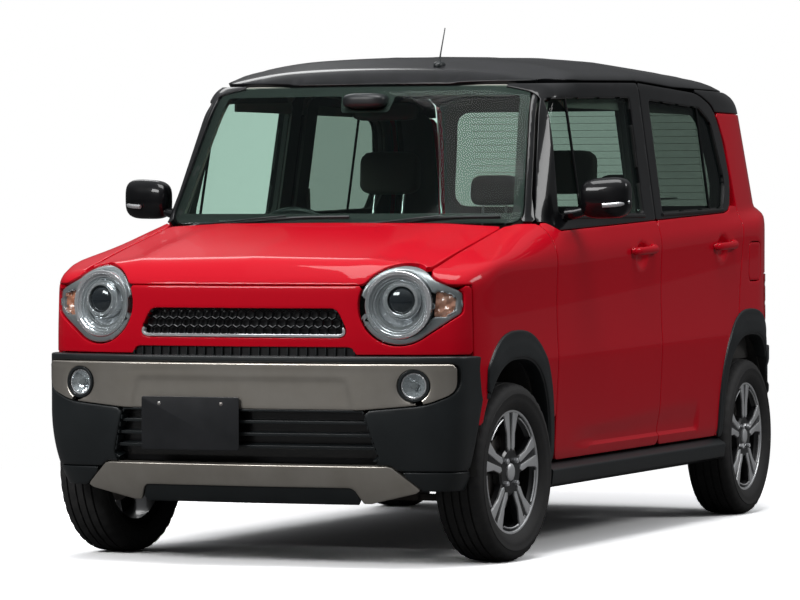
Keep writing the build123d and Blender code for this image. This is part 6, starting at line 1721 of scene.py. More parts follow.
@dataclass
class SideTrim:
    """Mirrors, handles, belt strips, wipers, aerial and rear lamps."""

    def mirrors(self) -> None:
        """Door mirrors: a gloss black shell with a slim lamp, a foot on the door and a glass."""
        bodies = ("front_door_left", "front_door_right")
        shell = soft_box((162.0, 92.0, 128.0), (815.0, -588.0, 1144.0), 3.6, 14)
        p = shell.points
        lean = (p[:, 0] - 735.0) / 160.0
        p[:, 2] += -6.0 + 10.0 * lean - 8.0 * lean * (p[:, 2] < 1140)
        p[:, 1] += 14.0 * lean + 10.0 * np.clip((p[:, 1] + 588.0) / 46.0, -1, 0) \
            * (np.abs(p[:, 2] - 1144) / 64) ** 2 * -1
        p[:, 1] = np.minimum(p[:, 1], -548.0 + 12.0 * lean)
        both_sides("mirror_shell", shell, BLACK, bodies,
                   (("door_mirror_left",), ("door_mirror_right",)))
        foot_path = curve([(690.0, -590.0, 1088.0), (716.0, -592.0, 1092.0), (744.0, -590.0, 1100.0),
                           (780.0, -586.0, 1112.0)], 12)
        foot = swept(foot_path, np.linspace(34.0, 20.0, 12), 16, 0.62)
        both_sides("mirror_foot", foot, BLACK, bodies)
        glass = pressed([(-66.0, -44.0, 18.0), (62.0, -48.0, 22.0), (66.0, 42.0, 26.0), (-64.0, 46.0, 20.0)], 4.0, 1.0)
        both_sides("mirror_glass", glass.moved(placed(816.0, -545.0, 1146.0, 184)),
                   MIRROR_GLASS, bodies)
        strip = swept(curve([(822.0, -634.5, 1116.0), (856.0, -627.0, 1118.0), (882.0, -606.0, 1122.0),
                             (893.5, -580.0, 1128.0)], 16), 5.5, 10, 1.3)
        both_sides("mirror_lamp", strip, SILVER_LAMP, bodies)

    def handles(self) -> None:
        """Body-coloured pull handles over pressed recesses."""
        for name, y0, y1, z in (("front_door", -62.0, 176.0, 962.0), ("rear_door", 838.0, 1076.0, 971.0)):
            ys = np.array([y0, y0 + 10, y0 + 32, y0 + 70, (y0 + y1) / 2, y1 - 70, y1 - 32, y1 - 10, y1])
            base = side_x(ys, np.full(len(ys), z))
            out = np.array([1.0, 12.0, 20.0, 23.0, 24.0, 23.0, 20.0, 12.0, 1.0])
            path = curve([tuple(r) for r in np.c_[base + out, ys, z + 0.03 * (ys - y0)]], 34)
            ends = np.minimum(np.linspace(0, 1, 34), np.linspace(1, 0, 34)) * 8
            bar = swept(path, 4.0 + 3.0 * smooth_step(ends), 14, 1.9)
            bodies = (f"{name}_left", f"{name}_right")
            both_sides(f"{name}_handle", bar, RED, bodies)
            x = float(side_x(np.array([y1 - 16.0]), np.array([z]))[0])
            pad = soft_box((14.0, 40.0, 34.0), (x + 4.0, y1 - 14.0, z + 7.0), 4.0, 8)
            both_sides(f"{name}_handle_foot", pad, RED, bodies)
        x = float(side_x(np.array([200.0]), np.array([968.0]))[0])
        lock = ring(4.0, 9.0, 1.5, -6.0, 24, 0.8).moved(shift(x, 204.0, 969.0))
        both_sides("door_lock", lock, CHROME, ("front_door_left", "front_door_right"))

    def belts(self) -> None:
        """Weather strips along the bottom of the side windows."""
        for name, rows in (("front_door", [(-620.0, 1078.0), (-300.0, 1080.0), (144.0, 1081.0)]),
                           ("rear_door", [(336.0, 1085.0), (700.0, 1093.0), (1036.0, 1101.0)])):
            path = line_on(side_x, rows, 40)
            path[:, 0] -= 1.0
            both_sides(f"{name}_belt", swept(path, 3.2, 8, 1.9), SEAL, (f"{name}_left", f"{name}_right"))
        for name, y, z0, z1, body in (("front_division", -452.0, 1086.0, 1475.0, "front_door"),
                                      ("rear_division", 880.0, 1098.0, 1470.0, "rear_door")):
            zs = np.linspace(z0, z1, 14)
            ys = y + (zs - z0) * (0.02 if body == "front_door" else 0.0)
            path = np.c_[side_x(ys, zs) - 8.0, ys, zs]
            both_sides(name, swept(path, 5.0, 8, 1.0), BLACK, (f"{body}_left", f"{body}_right"))

    def wipers(self) -> None:
        """Two wipers with arms, blades and pivot caps, laid along the foot of the windscreen."""
        for name, x0, reach in (("right", -520.0, 560.0), ("left", 70.0, 480.0)):
            xs = np.linspace(x0, x0 + reach, 24)
            share = np.linspace(0, 1, 24)
            zs = 1050.0 + 26.0 * smooth_step(share * 1.3) + 6.0 * share
            rays = Rays(Way.FORWARD, (0.0, 0.0), reach=1500.0)
            ys = cast(rays, BODY, 4.0, np.c_[xs, np.maximum(zs, 1070.0)])[:, 1] - 6.0
            ys = np.minimum(ys, -868.0 + 30.0 * share)
            arm = np.c_[xs, ys - 8.0, zs + 8.0][:15]
            arm[0] = (x0, -898.0, 1050.0)
            blade = np.c_[xs, ys, zs][4:]
            body = joined([swept(curve([tuple(r) for r in arm], 20), np.linspace(7.0, 4.0, 20), 8, 0.6),
                           swept(blade, 3.6, 8, 1.3),
                           swept(blade + (0.0, 2.0, -5.0), 1.6, 6, 2.2)])
            cap = outward(turned([(0.0, 0.0), (0.0, 13.0), (8.0, 12.0), (13.0, 7.0), (14.0, 0.0)], 24)) \
                .moved(placed(x0, -898.0, 1041.0, -90, "Y"))
            piece(f"wiper_{name}", joined([body, cap]), PLASTIC,
                  replaces=("wipers",) if name == "left" else ())

    def cowl(self) -> None:
        """The plastic panel under the windscreen with its slots."""
        rows = [(-1.0, -913.0, 1038.0), (0.0, -906.0, 1043.0), (0.0, -884.0, 1047.0), (0.0, -860.0, 1050.0),
                (0.0, -838.0, 1049.0), (0.0, -826.0, 1038.0)]
        x = np.linspace(-592.0, 592.0, 120)
        sag = 9.0 * (x / 592.0) ** 2
        points = np.concatenate([np.c_[x, np.full(120, y) + sag * 2.2, np.full(120, z) - sag] for _, y, z in rows])
        slot = (np.floor(x / 16.0) % 2 == 0) & (np.abs(np.abs(x) - 260) < 170)
        points[3 * 120:4 * 120, 2] -= 6.0 * slot
        i, j = np.meshgrid(np.arange(len(rows) - 1), np.arange(119), indexing="ij")
        quads = np.stack([i * 120 + j, i * 120 + j + 1, (i + 1) * 120 + j + 1, (i + 1) * 120 + j], -1).reshape(-1, 4)
        piece("cowl_panel", Mesh(points, [quads]), PLASTIC, replaces=("cowl",))

    def aerial(self) -> None:
        """Roof aerial: a soft base and a thin leaning rod."""
        z = float(cast(Rays(Way.ROUND_Y, (0.0, 1150.0), 640.0), BODY, 0.0,
                       np.array([[640.0 * math.pi / 2, -450.0]]))[0, 2])
        base = soft_box((34.0, 60.0, 30.0), (187.0, -450.0, z - 4.0), 2.6, 10)
        rod = swept(np.array([(187.0, -452.0, z + 6.0), (187.5, -440.0, z + 40.0), (189.0, -404.0, 1708.0)]),
                    np.array([3.4, 2.4, 1.7]), 10)
        piece("aerial_base", base, PLASTIC, replaces=("antenna",))
        piece("aerial_rod", rod, PLASTIC)

    def tail_lamps(self) -> None:
        """Rear lamps: a stepped red lens over a chrome reflector."""
        rays = QUARTER_RAYS
        zone = seen_from_front(TAIL_LAMP) & limit(1, 1480.0) & limit(0, 300.0)
        lens = Panel(zone.grow(-0.5), rays, (800.0, 1571.0), (640.0, 880.0), level=1.0, depth=4.0, roll=3.0, cell=8.0,
                     relief=lambda p: 1.5 * (np.abs((p[:, 2] - 759) / 70 % 1 - 0.5) < 0.42)).mesh()
        both_sides("tail_lamp_lens", lens, LENS_RED, replaces=(("tail_lamps",), ()))
        back = Panel(zone.grow(2.0), rays, (800.0, 1571.0), (640.0, 880.0), level=-24.0, depth=5.0, roll=1.0,
                     cell=14.0).mesh()
        both_sides("tail_lamp_back", back, CHROME)

    def rear_details(self) -> None:
        """Rear plate, handle strip, wiper and high lamp."""
        y = rear_y(0.0, 760.0) - 9.0
        face = Matrix.Rotation(math.pi, 4, "Z")
        board = pressed(PLATE_ROWS, 3.0, 1.2).moved(shift(0.0, y + 8.0, 760.0) @ face)
        piece("rear_plate_board", board, PLATE, "tailgate", replaces=("rear_plate",))
        bolts = [outward(turned(PLATE_BOLT, 6))
                 .moved(placed(dx, y + 7.6, 820.0, 90))
                 for dx in (-105.0, 105.0)]
        piece("rear_plate_bolts", joined(bolts), BRIGHT_STEEL, "tailgate")
        strip = soft_box((420.0, 26.0, 34.0), (0.0, rear_y(0.0, 884.0) - 2.0, 884.0), 5.0, 12)
        piece("tailgate_handle", strip, RED, "tailgate")
        z = np.linspace(1132.0, 1146.0, 24)
        x = np.linspace(-20.0, 330.0, 24)
        ys = cast(TAIL_RAYS, BODY, 0.0, np.c_[x, z])[:, 1]
        arm = swept(np.c_[x, ys + 9.0, z], np.linspace(7.0, 3.4, 24), 8, 0.8)
        cap = outward(turned([(0.0, 0.0), (0.0, 19.0), (12.0, 17.0), (20.0, 9.0), (21.0, 0.0)], 24)) \
            .moved(placed(-20.0, float(ys[0]) - 2.0, 1132.0, 90))
        piece("rear_wiper", joined([arm, cap]), PLASTIC, "tailgate")
        lamp = soft_box((230.0, 20.0, 16.0), (0.0, rear_y(0.0, 1508.0) - 6.0, 1508.0), 6.0, 8)
        piece("high_stop_lamp", lamp, LENS_RED, "tailgate")


@dataclass
class Wheels:
    """Tyres with cut treads and two-tone twin-spoke rims."""
    segments: int = 120

    def tyre(self) -> Mesh:
        """Turn the tyre, then cut its shoulder sipes and tread blocks."""
        half = [(0.0, 281.0), (10.0, 281.0), (11.0, 275.0), (16.0, 275.0), (17.0, 281.0), (27.0, 280.8),
                (40.0, 280.4), (41.0, 274.4), (46.0, 274.2), (47.0, 280.0), (56.0, 279.0), (66.0, 275.5),
                (74.0, 269.0), (79.0, 259.0), (81.0, 248.0), (82.6, 247.0), (82.6, 243.0), (81.6, 241.0),
                (81.0, 228.0), (77.5, 214.0), (72.0, 206.0), (69.0, 200.0), (62.0, 194.0), (56.0, 196.0),
                (58.0, 210.0), (66.0, 228.0), (60.0, 262.0), (0.0, 268.0)]
        rows = half[:-1] + [half[-1]] + [(-x, r) for x, r in half[-2:0:-1]]
        mesh = outward(turned(rows, self.segments))
        p = mesh.points
        r = np.hypot(p[:, 1], p[:, 2])
        step = np.round(np.arctan2(p[:, 2], p[:, 1]) / (2 * math.pi) * self.segments).astype(int)
        shoulder = (np.abs(p[:, 0]) > 50) & (r > 266)
        middle = (np.abs(p[:, 0]) > 16.5) & (np.abs(p[:, 0]) < 28) & (r > 278)
        cut = 3.2 * shoulder * (step % 3 == 0) + 2.4 * middle * ((step + 1) % 4 == 0)
        p[:, 1:] *= (1 - cut / np.maximum(r, 1.0))[:, None]
        return mesh

    @staticmethod
    def facing(angle: float, x: float) -> Matrix:
        """Stand a pressed plate in the wheel's plane, facing outboard at x, turned round the axle."""
        flat = Matrix(((0, -1, 0, x), (1, 0, 0, 0), (0, 0, 1, 0), (0, 0, 0, 1)))
        return Matrix.Rotation(angle, 4, "X") @ flat

    def rim_parts(self) -> dict[str, tuple[Mesh, Finish]]:
        """The rim's painted and machined parts, and the brake behind it."""
        barrel = outward(turned([(-65.0, 205.0), (-60.0, 197.0), (-50.0, 189.0), (-20.0, 181.0), (38.0, 181.0),
                                 (50.0, 189.0), (60.0, 197.0), (65.0, 205.0), (62.0, 207.0), (66.5, 206.0),
                                 (67.0, 202.0), (62.0, 194.0), (52.0, 184.0), (40.0, 175.0), (-52.0, 175.0),
                                 (-63.0, 192.0), (-68.0, 202.0)], 96))
        arms, faces = [], []
        for k in range(5):
            angle = k * 2 * math.pi / 5
            arms.append(pressed([(-27.0, 40.0, 4.0), (27.0, 40.0, 4.0), (30.0, 120.0, 20.0), (50.0, 190.0, 6.0),
                                 (-50.0, 190.0, 6.0), (-30.0, 120.0, 20.0)], 20.0, 3.0)
                        .moved(self.facing(angle, 56.5)))
            for side in (1, -1):
                rows = [(5.0 * side, 74.0, 2.0), (15.0 * side, 66.0, 3.0), (25.5 * side, 78.0, 6.0),
                        (27.0 * side, 120.0, 20.0), (46.0 * side, 170.0, 14.0), (60.0 * side, 189.0, 2.0),
                        (14.0 * side, 193.0, 2.0)]
                faces.append(pressed(rows, 6.0, 1.4).moved(self.facing(angle, 60.5)))
        hub = outward(turned([(30.0, 0.0), (30.0, 74.0), (52.0, 74.0), (57.5, 66.0), (57.5, 34.0), (54.0, 32.0),
                              (54.0, 0.0)], 64))
        pockets, bend = [], np.linspace(-0.30, 0.30, 22)
        for k in range(5):
            angle = (k + 0.5) * 2 * math.pi / 5 + math.pi / 2 + bend
            pockets.append(swept(np.c_[np.full(22, 59.0), 176.0 * np.cos(angle), 176.0 * np.sin(angle)], 2.6, 6))
        edge = ring(187.0, 204.0, 62.5, 54.0, 96, 2.0)
        cap = outward(turned([(50.0, 0.0), (50.0, 27.0), (60.0, 27.0), (63.0, 22.0), (64.0, 12.0), (64.5, 0.0)], 32))
        nuts = [outward(turned([(50.0, 0.0), (50.0, 9.5), (66.0, 9.5), (69.0, 6.5), (69.5, 0.0)], 6))
                .moved(shift(0.0, 50.0 * math.cos(a), 50.0 * math.sin(a)))
                for a in (math.radians(45), math.radians(135), math.radians(225), math.radians(315))]
        disc = outward(turned([(14.0, 62.0), (14.0, 118.0), (26.0, 118.0), (26.0, 62.0)], 64))
        bell = outward(turned([(26.0, 0.0), (26.0, 61.0), (34.0, 61.0), (34.0, 0.0)], 48))
        return {"barrel": (joined([barrel] + arms + [hub]), WHEEL_BLACK),
                "spokes": (joined(faces + [edge] + pockets), ALLOY),
                "cap": (cap, ALLOY), "nuts": (joined(nuts), CHROME), "disc": (joined([disc, bell]), BRIGHT_STEEL)}

    def make(self) -> None:
        """Place the four wheels, the front pair turned a little."""
        tyre, parts = self.tyre(), self.rim_parts()
        turned_in = math.radians(-5.0)
        places = {
            "front_left": (1, (644.86, -1163.2, HUB_Z), turned_in),
            "front_right": (-1, (-644.86, -1156.8, HUB_Z), turned_in),
            "rear_left": (1, (HALF_TRACK, REAR_AXLE, HUB_Z), 0.0),
            "rear_right": (-1, (-HALF_TRACK, REAR_AXLE, HUB_Z), 0.0),
        }
        for name, (side, place, angle) in places.items():
            matrix = Matrix.Translation(place) @ Matrix.Rotation(angle, 4, "Z")
            hand = (lambda m: m) if side > 0 else (lambda m: m.mirrored())
            body = f"wheel_{name}"
            piece(f"tyre_{name}_tread", hand(tyre).moved(matrix), RUBBER, body, replaces=(f"tyre_{name}",))
            for part, (mesh, finish) in parts.items():
                piece(f"rim_{name}_{part}", hand(mesh).moved(matrix), finish, body,
                      replaces=(f"rim_{name}",) if part == "barrel" else ())


# ---------------------------------------------------------------- cabin
DASH = [(-800.0, 905.0, 20.0), (-800.0, 985.0, 20.0), (-560.0, 1012.0, 40.0), (-478.0, 968.0, 30.0),
        (-470.0, 880.0, 40.0), (-505.0, 760.0, 60.0), (-620.0, 700.0, 30.0), (-690.0, 760.0, 30.0)]


@dataclass(frozen=True)
class Pad:
    """One stuffed seat part: its side outline (y, z, corner radius), half-width and middle."""
    name: str
    outline: list[tuple[float, float, float]]
    half: float
    x: float
    node: str
    cap: float = 24.0
    welts: tuple[float, ...] = ()


CUSHION = [(-322.0, 476.0, 26.0), (-330.0, 552.0, 44.0), (-284.0, 590.0, 56.0), (70.0, 560.0, 40.0),
           (96.0, 476.0, 30.0)]
BACKREST = [(140.0, 500.0, 34.0), (134.0, 592.0, 54.0), (334.0, 1104.0, 38.0), (392.0, 1082.0, 38.0),
            (222.0, 500.0, 34.0)]
HEADREST = [(350.0, 1162.0, 26.0), (372.0, 1316.0, 36.0), (434.0, 1306.0, 36.0), (426.0, 1154.0, 26.0)]
REAR_CUSHION = [(604.0, 404.0, 18.0), (598.0, 538.0, 44.0), (644.0, 576.0, 54.0), (1020.0, 548.0, 36.0),
                (984.0, 420.0, 18.0)]
REAR_BACK = [(1082.0, 522.0, 10.0), (1062.0, 580.0, 44.0), (1188.0, 1076.0, 38.0), (1250.0, 1060.0, 38.0),
             (1180.0, 522.0, 18.0)]
REAR_REST = [(1200.0, 1122.0, 26.0), (1214.0, 1236.0, 34.0), (1275.0, 1228.0, 34.0), (1268.0, 1116.0, 26.0)]


class Upholstery:
    """Seats: each pad starts a little small, swells under pressure as cloth, and gains its seams afterwards."""

    def __init__(self) -> None:
        """List the pads of both front seats and the rear bench."""
        self.pads = []
        for side, x in (("left", 330.0), ("right", -330.0)):
            node = f"front_seat_{side}"
            self.pads += [
                Pad(f"front_cushion_{side}", CUSHION, 228.0, x, node, 22.0, (-120.0, 120.0)),
                Pad(f"front_backrest_{side}", BACKREST, 224.0, x, node, 22.0, (-118.0, 118.0)),
                Pad(f"front_headrest_{side}", HEADREST, 108.0, x, node, 12.0),
                Pad(f"rear_headrest_{side}", REAR_REST, 94.0, math.copysign(250.0, x), "rear_seat", 12.0),
            ]
        self.pads += [Pad("rear_cushion", REAR_CUSHION, 484.0, 0.0, "rear_seat", 22.0, (-330.0, 0.0, 330.0)),
                      Pad("rear_backrest", REAR_BACK, 484.0, 0.0, "rear_seat", 22.0, (-330.0, 0.0, 330.0))]

    @staticmethod
    def block(pad: Pad) -> Mesh:
        """A pad's starting shape: its outline drawn across, narrower and thinner towards both ends.

        Args:
            pad: the pad.
        Returns:
            The closed block.
        """
        loop = rounded(pad.outline, 6)
        middle, n = loop.mean(0), len(loop)
        across = np.sin(np.linspace(-math.pi / 2, math.pi / 2, 19))
        share = 1 - 0.22 * np.abs(across) ** 6 - 0.12 * (np.abs(across) > 0.985)
        flat = middle + (loop[None] - middle) * share[:, None, None]
        x = np.broadcast_to((across * pad.half + pad.x)[:, None, None], (*flat.shape[:2], 1))
        points = np.concatenate([x, flat], -1).reshape(-1, 3)
        return closed_tube(points, len(across), n)

    @staticmethod
    def swell(obj: bpy.types.Object, cap: float) -> None:
        """Remesh the pad evenly and blow it up a little as cloth, then keep the result.

        Args:
            obj: the pad.
            cap: furthest that a point may move, in millimetres.
        """
        remesh = obj.modifiers.new("even", "REMESH")
        remesh.mode, remesh.voxel_size, remesh.use_smooth_shade = "VOXEL", 0.015, True
        bpy.context.view_layer.objects.active = obj
        bpy.ops.object.modifier_apply(modifier="even")
        start = np.empty(len(obj.data.vertices) * 3, np.float32)
        obj.data.vertices.foreach_get("co", start)
        cloth = obj.modifiers.new("swell", "CLOTH")
        settings = cloth.settings
        settings.use_pressure, settings.uniform_pressure_force = True, 4.0
        settings.effector_weights.gravity = 0.0
        settings.tension_stiffness = settings.compression_stiffness = 25.0
        settings.bending_stiffness, settings.quality = 4.0, 5
        cloth.point_cache.frame_start, cloth.point_cache.frame_end = 1, 20
        for number in range(1, 21):
            bpy.context.scene.frame_set(number)
        held = obj.evaluated_get(bpy.context.evaluated_depsgraph_get())
        moved = np.empty_like(start)
        held.data.vertices.foreach_get("co", moved)
        obj.modifiers.remove(cloth)
        bpy.context.scene.frame_set(1)
        move = (moved - start).reshape(-1, 3)
        length = np.maximum(np.linalg.norm(move, axis=1), 1e-9)
        limit_m = cap * MM
        move *= (limit_m * np.tanh(length / limit_m) / length)[:, None]
        obj.data.vertices.foreach_set("co", (start.reshape(-1, 3) + move).ravel())
        obj.data.update()
        smooth = obj.modifiers.new("round", "SUBSURF")
        smooth.levels = smooth.render_levels = 1
        bpy.ops.object.modifier_apply(modifier="round")

    @staticmethod
    def seams(obj: bpy.types.Object, pad: Pad) -> None:
        """Sink narrow seams between the middle and the bolsters, and fine sewn channels between them.

        Args:
            obj: the swollen pad.
            pad: where its welts lie.
        """
        data = obj.data
        count = len(data.vertices)
        co, normal = np.empty(count * 3, np.float32), np.empty(count * 3, np.float32)
        data.vertices.foreach_get("co", co)
        data.vertices.foreach_get("normal", normal)
        p, n = co.reshape(-1, 3), normal.reshape(-1, 3)
        x = p[:, 0] / MM - pad.x
        depth = np.zeros(count)
        for welt in pad.welts:
            depth += 7.0 * np.exp(-((x - welt) / 7.0) ** 2)
        if pad.welts:
            inner = np.abs(x) < min(abs(w) for w in pad.welts if w) - 8.0
            along = np.where(np.ptp(p[:, 2]) > np.ptp(p[:, 1]), p[:, 2], p[:, 1]) / MM
            depth += inner * 3.0 * np.exp(-(((along % 88.0) - 44.0) / 5.0) ** 2)
        p = p - n * (depth * MM)[:, None]
        data.vertices.foreach_set("co", p.astype(np.float32).ravel())
        data.update()

    def make(self) -> None:
        """Make every pad."""
        taken = set()
        for pad in self.pads:
            nodes = () if pad.node in taken else (pad.node,)
            taken.add(pad.node)
            obj = piece(pad.name, self.block(pad), FABRIC, replaces=nodes, sharp=180.0)
            obj.parent = None           # it stands free while it swells
            self.swell(obj, pad.cap)
            self.seams(obj, pad)
            obj.data.materials.clear()
            obj.data.materials.append(material(FABRIC))
            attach(obj, "body")


@dataclass
class Cabin:
    """Dashboard, steering wheel, floor, seat frames and small fittings."""

    @staticmethod
    def extrude(rows: list[tuple[float, float, float]], half: Callable[[Array, Array], Array],
                steps: int = 40) -> Mesh:
        """Draw a side outline across the cabin, each end following the cabin's inner side.

        Args:
            rows: outline corners (y, z, radius).
            half: gives the half-width at a place (y, z).
            steps: rings across.
        Returns:
            The closed piece.
        """
        loop = rounded(rows, 8)
        width = half(loop[:, 0], loop[:, 1])
        share = np.linspace(-1, 1, steps)
        x = share[:, None] * width[None]
        points = np.stack([x, np.broadcast_to(loop[:, 0], x.shape), np.broadcast_to(loop[:, 1], x.shape)],
                          -1).reshape(-1, 3)
        return closed_tube(points, steps, len(loop))

    def dashboard(self) -> None:
        """Dashboard with a hood over the dials, vents and a centre stack."""
        mesh = self.extrude(DASH, lambda y, z: np.minimum(side_x(y, z, level=-95.0), 606.0))
        p = mesh.points
        hood = 34.0 * np.exp(-((p[:, 0] + 330.0) / 150.0) ** 4) * smooth_step((p[:, 2] - 950.0) / 40.0)
        p[:, 2] += hood * smooth_step((p[:, 1] + 720.0) / 120.0)
        piece("dash_top", mesh, CABIN_TRIM, replaces=("dashboard",))
        band = pressed([(-560.0, -34.0, 16.0), (560.0, -34.0, 16.0), (548.0, 34.0, 16.0), (-548.0, 34.0, 16.0)], 16.0,
                       4.0).moved(placed(0.0, -464.0, 890.0, 180))
        piece("dash_band", band, BLACK)
        stack = pressed([(-120.0, -100.0, 14.0), (120.0, -100.0, 14.0), (130.0, 80.0, 14.0), (-130.0, 80.0, 14.0)],
                        60.0, 6.0).moved(placed(0.0, -446.0, 860.0, 180))
        piece("centre_stack", stack, CABIN_TRIM)
        screen = pressed([(-88.0, -40.0, 4.0), (88.0, -40.0, 4.0), (88.0, 44.0, 4.0), (-88.0, 44.0, 4.0)], 6.0,
                         1.0).moved(placed(0.0, -443.0, 888.0, 180))
        piece("centre_screen", screen, BLACK)
        knobs = [ring(4.0, 15.0, 10.0, 0.0, 28).moved(placed(x, -446.0, 792.0, 90))
                 for x in (-72.0, 0.0, 72.0)]
        piece("centre_knobs", joined(knobs), CHROME)
        vents = []
        for x in (-560.0, -165.0, 165.0, 560.0):
            for k in range(5):
                vents.append(soft_box((84.0, 10.0, 4.0), (x * 0.98, -470.0, 932.0 + k * 9.0), 6.0, 3))
        piece("dash_vents", joined(vents), PLASTIC)
        dials = [ring(30.0, 44.0, 6.0, -20.0, 40).moved(placed(-330.0 + dx, -500.0, 985.0, 90))
                 for dx in (-52.0, 52.0)]
        piece("dials", joined(dials), CHROME)

    def steering(self) -> None:
        """Three-spoke steering wheel with a padded boss, on its column."""
        angle = np.linspace(0, 2 * math.pi, 97)[:-1]
        a, b = np.meshgrid(angle, np.arange(14) * 2 * math.pi / 14, indexing="ij")
        grip = 14.0 + 1.2 * np.cos(2 * a)
        r = 172.0 + grip * np.cos(b)
        points = np.stack([r * np.cos(a), r * np.sin(a), grip * 0.92 * np.sin(b)], -1).reshape(-1, 3)
        i, j = np.meshgrid(np.arange(96), np.arange(14), indexing="ij")
        quads = np.stack([i * 14 + j, ((i + 1) % 96) * 14 + j, ((i + 1) % 96) * 14 + (j + 1) % 14,
                          i * 14 + (j + 1) % 14], -1).reshape(-1, 4)
        rim = outward(Mesh(points, [quads]))
        boss = soft_box((150.0, 118.0, 44.0), (0.0, -6.0, 0.0), 3.2, 12)
        spokes = [swept(np.array([(50.0 * math.cos(t), 50.0 * math.sin(t), -4.0),
                                  (110.0 * math.cos(t), 110.0 * math.sin(t), -6.0),
                                  (168.0 * math.cos(t), 168.0 * math.sin(t), 0.0)]),
                        np.array([22.0, 16.0, 14.0]), 12, 0.5) for t in (0.0, math.pi, -math.pi / 2)]
        place = placed(-330.0, -400.0, 945.0, -66.0, "X")
        piece("steering_wheel_rim", joined([rim, boss] + spokes).moved(place), PLASTIC, "steering_wheel",
              replaces=("steering_wheel",))
        column = swept(np.array([(-330.0, -424.0, 934.0), (-330.0, -520.0, 890.0)]), 30.0, 20, 1.0)
        piece("steering_column", column, PLASTIC)
        stalks = [swept(np.array([(-330.0, -440.0, 940.0), (-330.0 + d, -432.0, 956.0)]), np.array([6.0, 8.0]), 10)
                  for d in (-128.0, 128.0)]
        piece("column_stalks", joined(stalks), PLASTIC)

    def fittings(self) -> None:
        """Interior mirror, sensor housing, sun visors, seat frames, posts, belts and carpet."""
        mirror = soft_box((234.0, 26.0, 64.0), (0.0, -466.0, 1432.0), 4.5, 12)
        stalk = swept(np.array([(0.0, -480.0, 1450.0), (0.0, -560.0, 1488.0), (0.0, -596.0, 1486.0)]), 8.0, 10)
        piece("room_mirror", joined([mirror, stalk]), PLASTIC, replaces=("interior_mirror",))
        housing = soft_box((150.0, 90.0, 52.0), (0.0, -640.0, 1462.0), 3.4, 10)
        piece("sensor_housing", housing, PLASTIC)
        for side, x in (("left", 330.0), ("right", -330.0)):
            base = joined([soft_box((430.0, 380.0, 60.0), (x, -110.0, 440.0), 8.0, 8),
                           soft_box((40.0, 420.0, 90.0), (x - 178.0, -100.0, 385.0), 8.0, 6),
                           soft_box((40.0, 420.0, 90.0), (x + 178.0, -100.0, 385.0), 8.0, 6),
                           soft_box((26.0, 130.0, 130.0), (x + 238.0, 90.0, 520.0), 3.0, 8),
                           soft_box((26.0, 130.0, 130.0), (x - 238.0, 90.0, 520.0), 3.0, 8)])
            piece(f"seat_base_{side}", base, PLASTIC)
            posts = [swept(np.array([(x + d, 366.0, 1070.0), (x + d, 396.0, 1180.0)]), 6.0, 12)
                     for d in (-55.0, 55.0)]
            rear_x = math.copysign(250.0, x)
            posts += [swept(np.array([(rear_x + d, 1218.0, 1040.0), (rear_x + d, 1236.0, 1140.0)]), 5.0, 12)
                      for d in (-45.0, 45.0)]
            piece(f"headrest_posts_{side}", joined(posts), CHROME)
            visor = soft_box((330.0, 130.0, 16.0), (x, -500.0, 1508.0), 4.0, 8)
            piece(f"sun_visor_{side}", visor, HEADLINER)
            belt_x = math.copysign(606.0, x)
            belt = np.array([(belt_x, 300.0, 1180.0), (belt_x * 0.99, 305.0, 900.0), (belt_x * 0.985, 300.0, 520.0)])
            piece(f"seat_belt_{side}", swept(belt, 9.0, 8, 1.0), FABRIC)
        box = soft_box((960.0, 380.0, 40.0), (0.0, 800.0, 382.0), 8.0, 8)
        piece("rear_bench_base", box, PLASTIC)
        y = np.linspace(-780.0, 1560.0, 60)
        x = np.linspace(-1, 1, 40)
        gx, gy = np.meshgrid(x, y, indexing="ij")
        height = 332.0 + 8.0 * np.abs(gx) ** 6 + 46.0 * smooth_step((gy - 520.0) / 60.0) + \
            18.0 * np.exp(-(gx / 0.16) ** 2)
        height += 170.0 * smooth_step((gy - 1080.0) / 60.0) + 60.0 * smooth_step((-640.0 - gy) / 140.0)
        points = np.stack([gx * 610.0, gy, height], -1).reshape(-1, 3)
        piece("carpet", Mesh(points, [grid_quads(len(x), len(y))]), CARPET)


def dress_nodes() -> None:
    """Give every CAD node that stays in view its procedural finish."""
    finishes = {"floor_pan": UNDERBODY, "engine_block": ENGINE, "front_suspension": STEEL, "rear_axle_beam": STEEL,
                "exhaust": EXHAUST, "fuel_tank": TANK, "knuckle_left": STEEL, "knuckle_right": STEEL}
    for name, node in frame["nodes"].items():
        if not node.hide_render:
            LOG.info("CAD node kept: %s", name)
            finish = material(finishes.get(name, PLASTIC))
            if not node.material_slots:
                node.data.materials.append(finish)
            for entry in node.material_slots:
                entry.material = finish


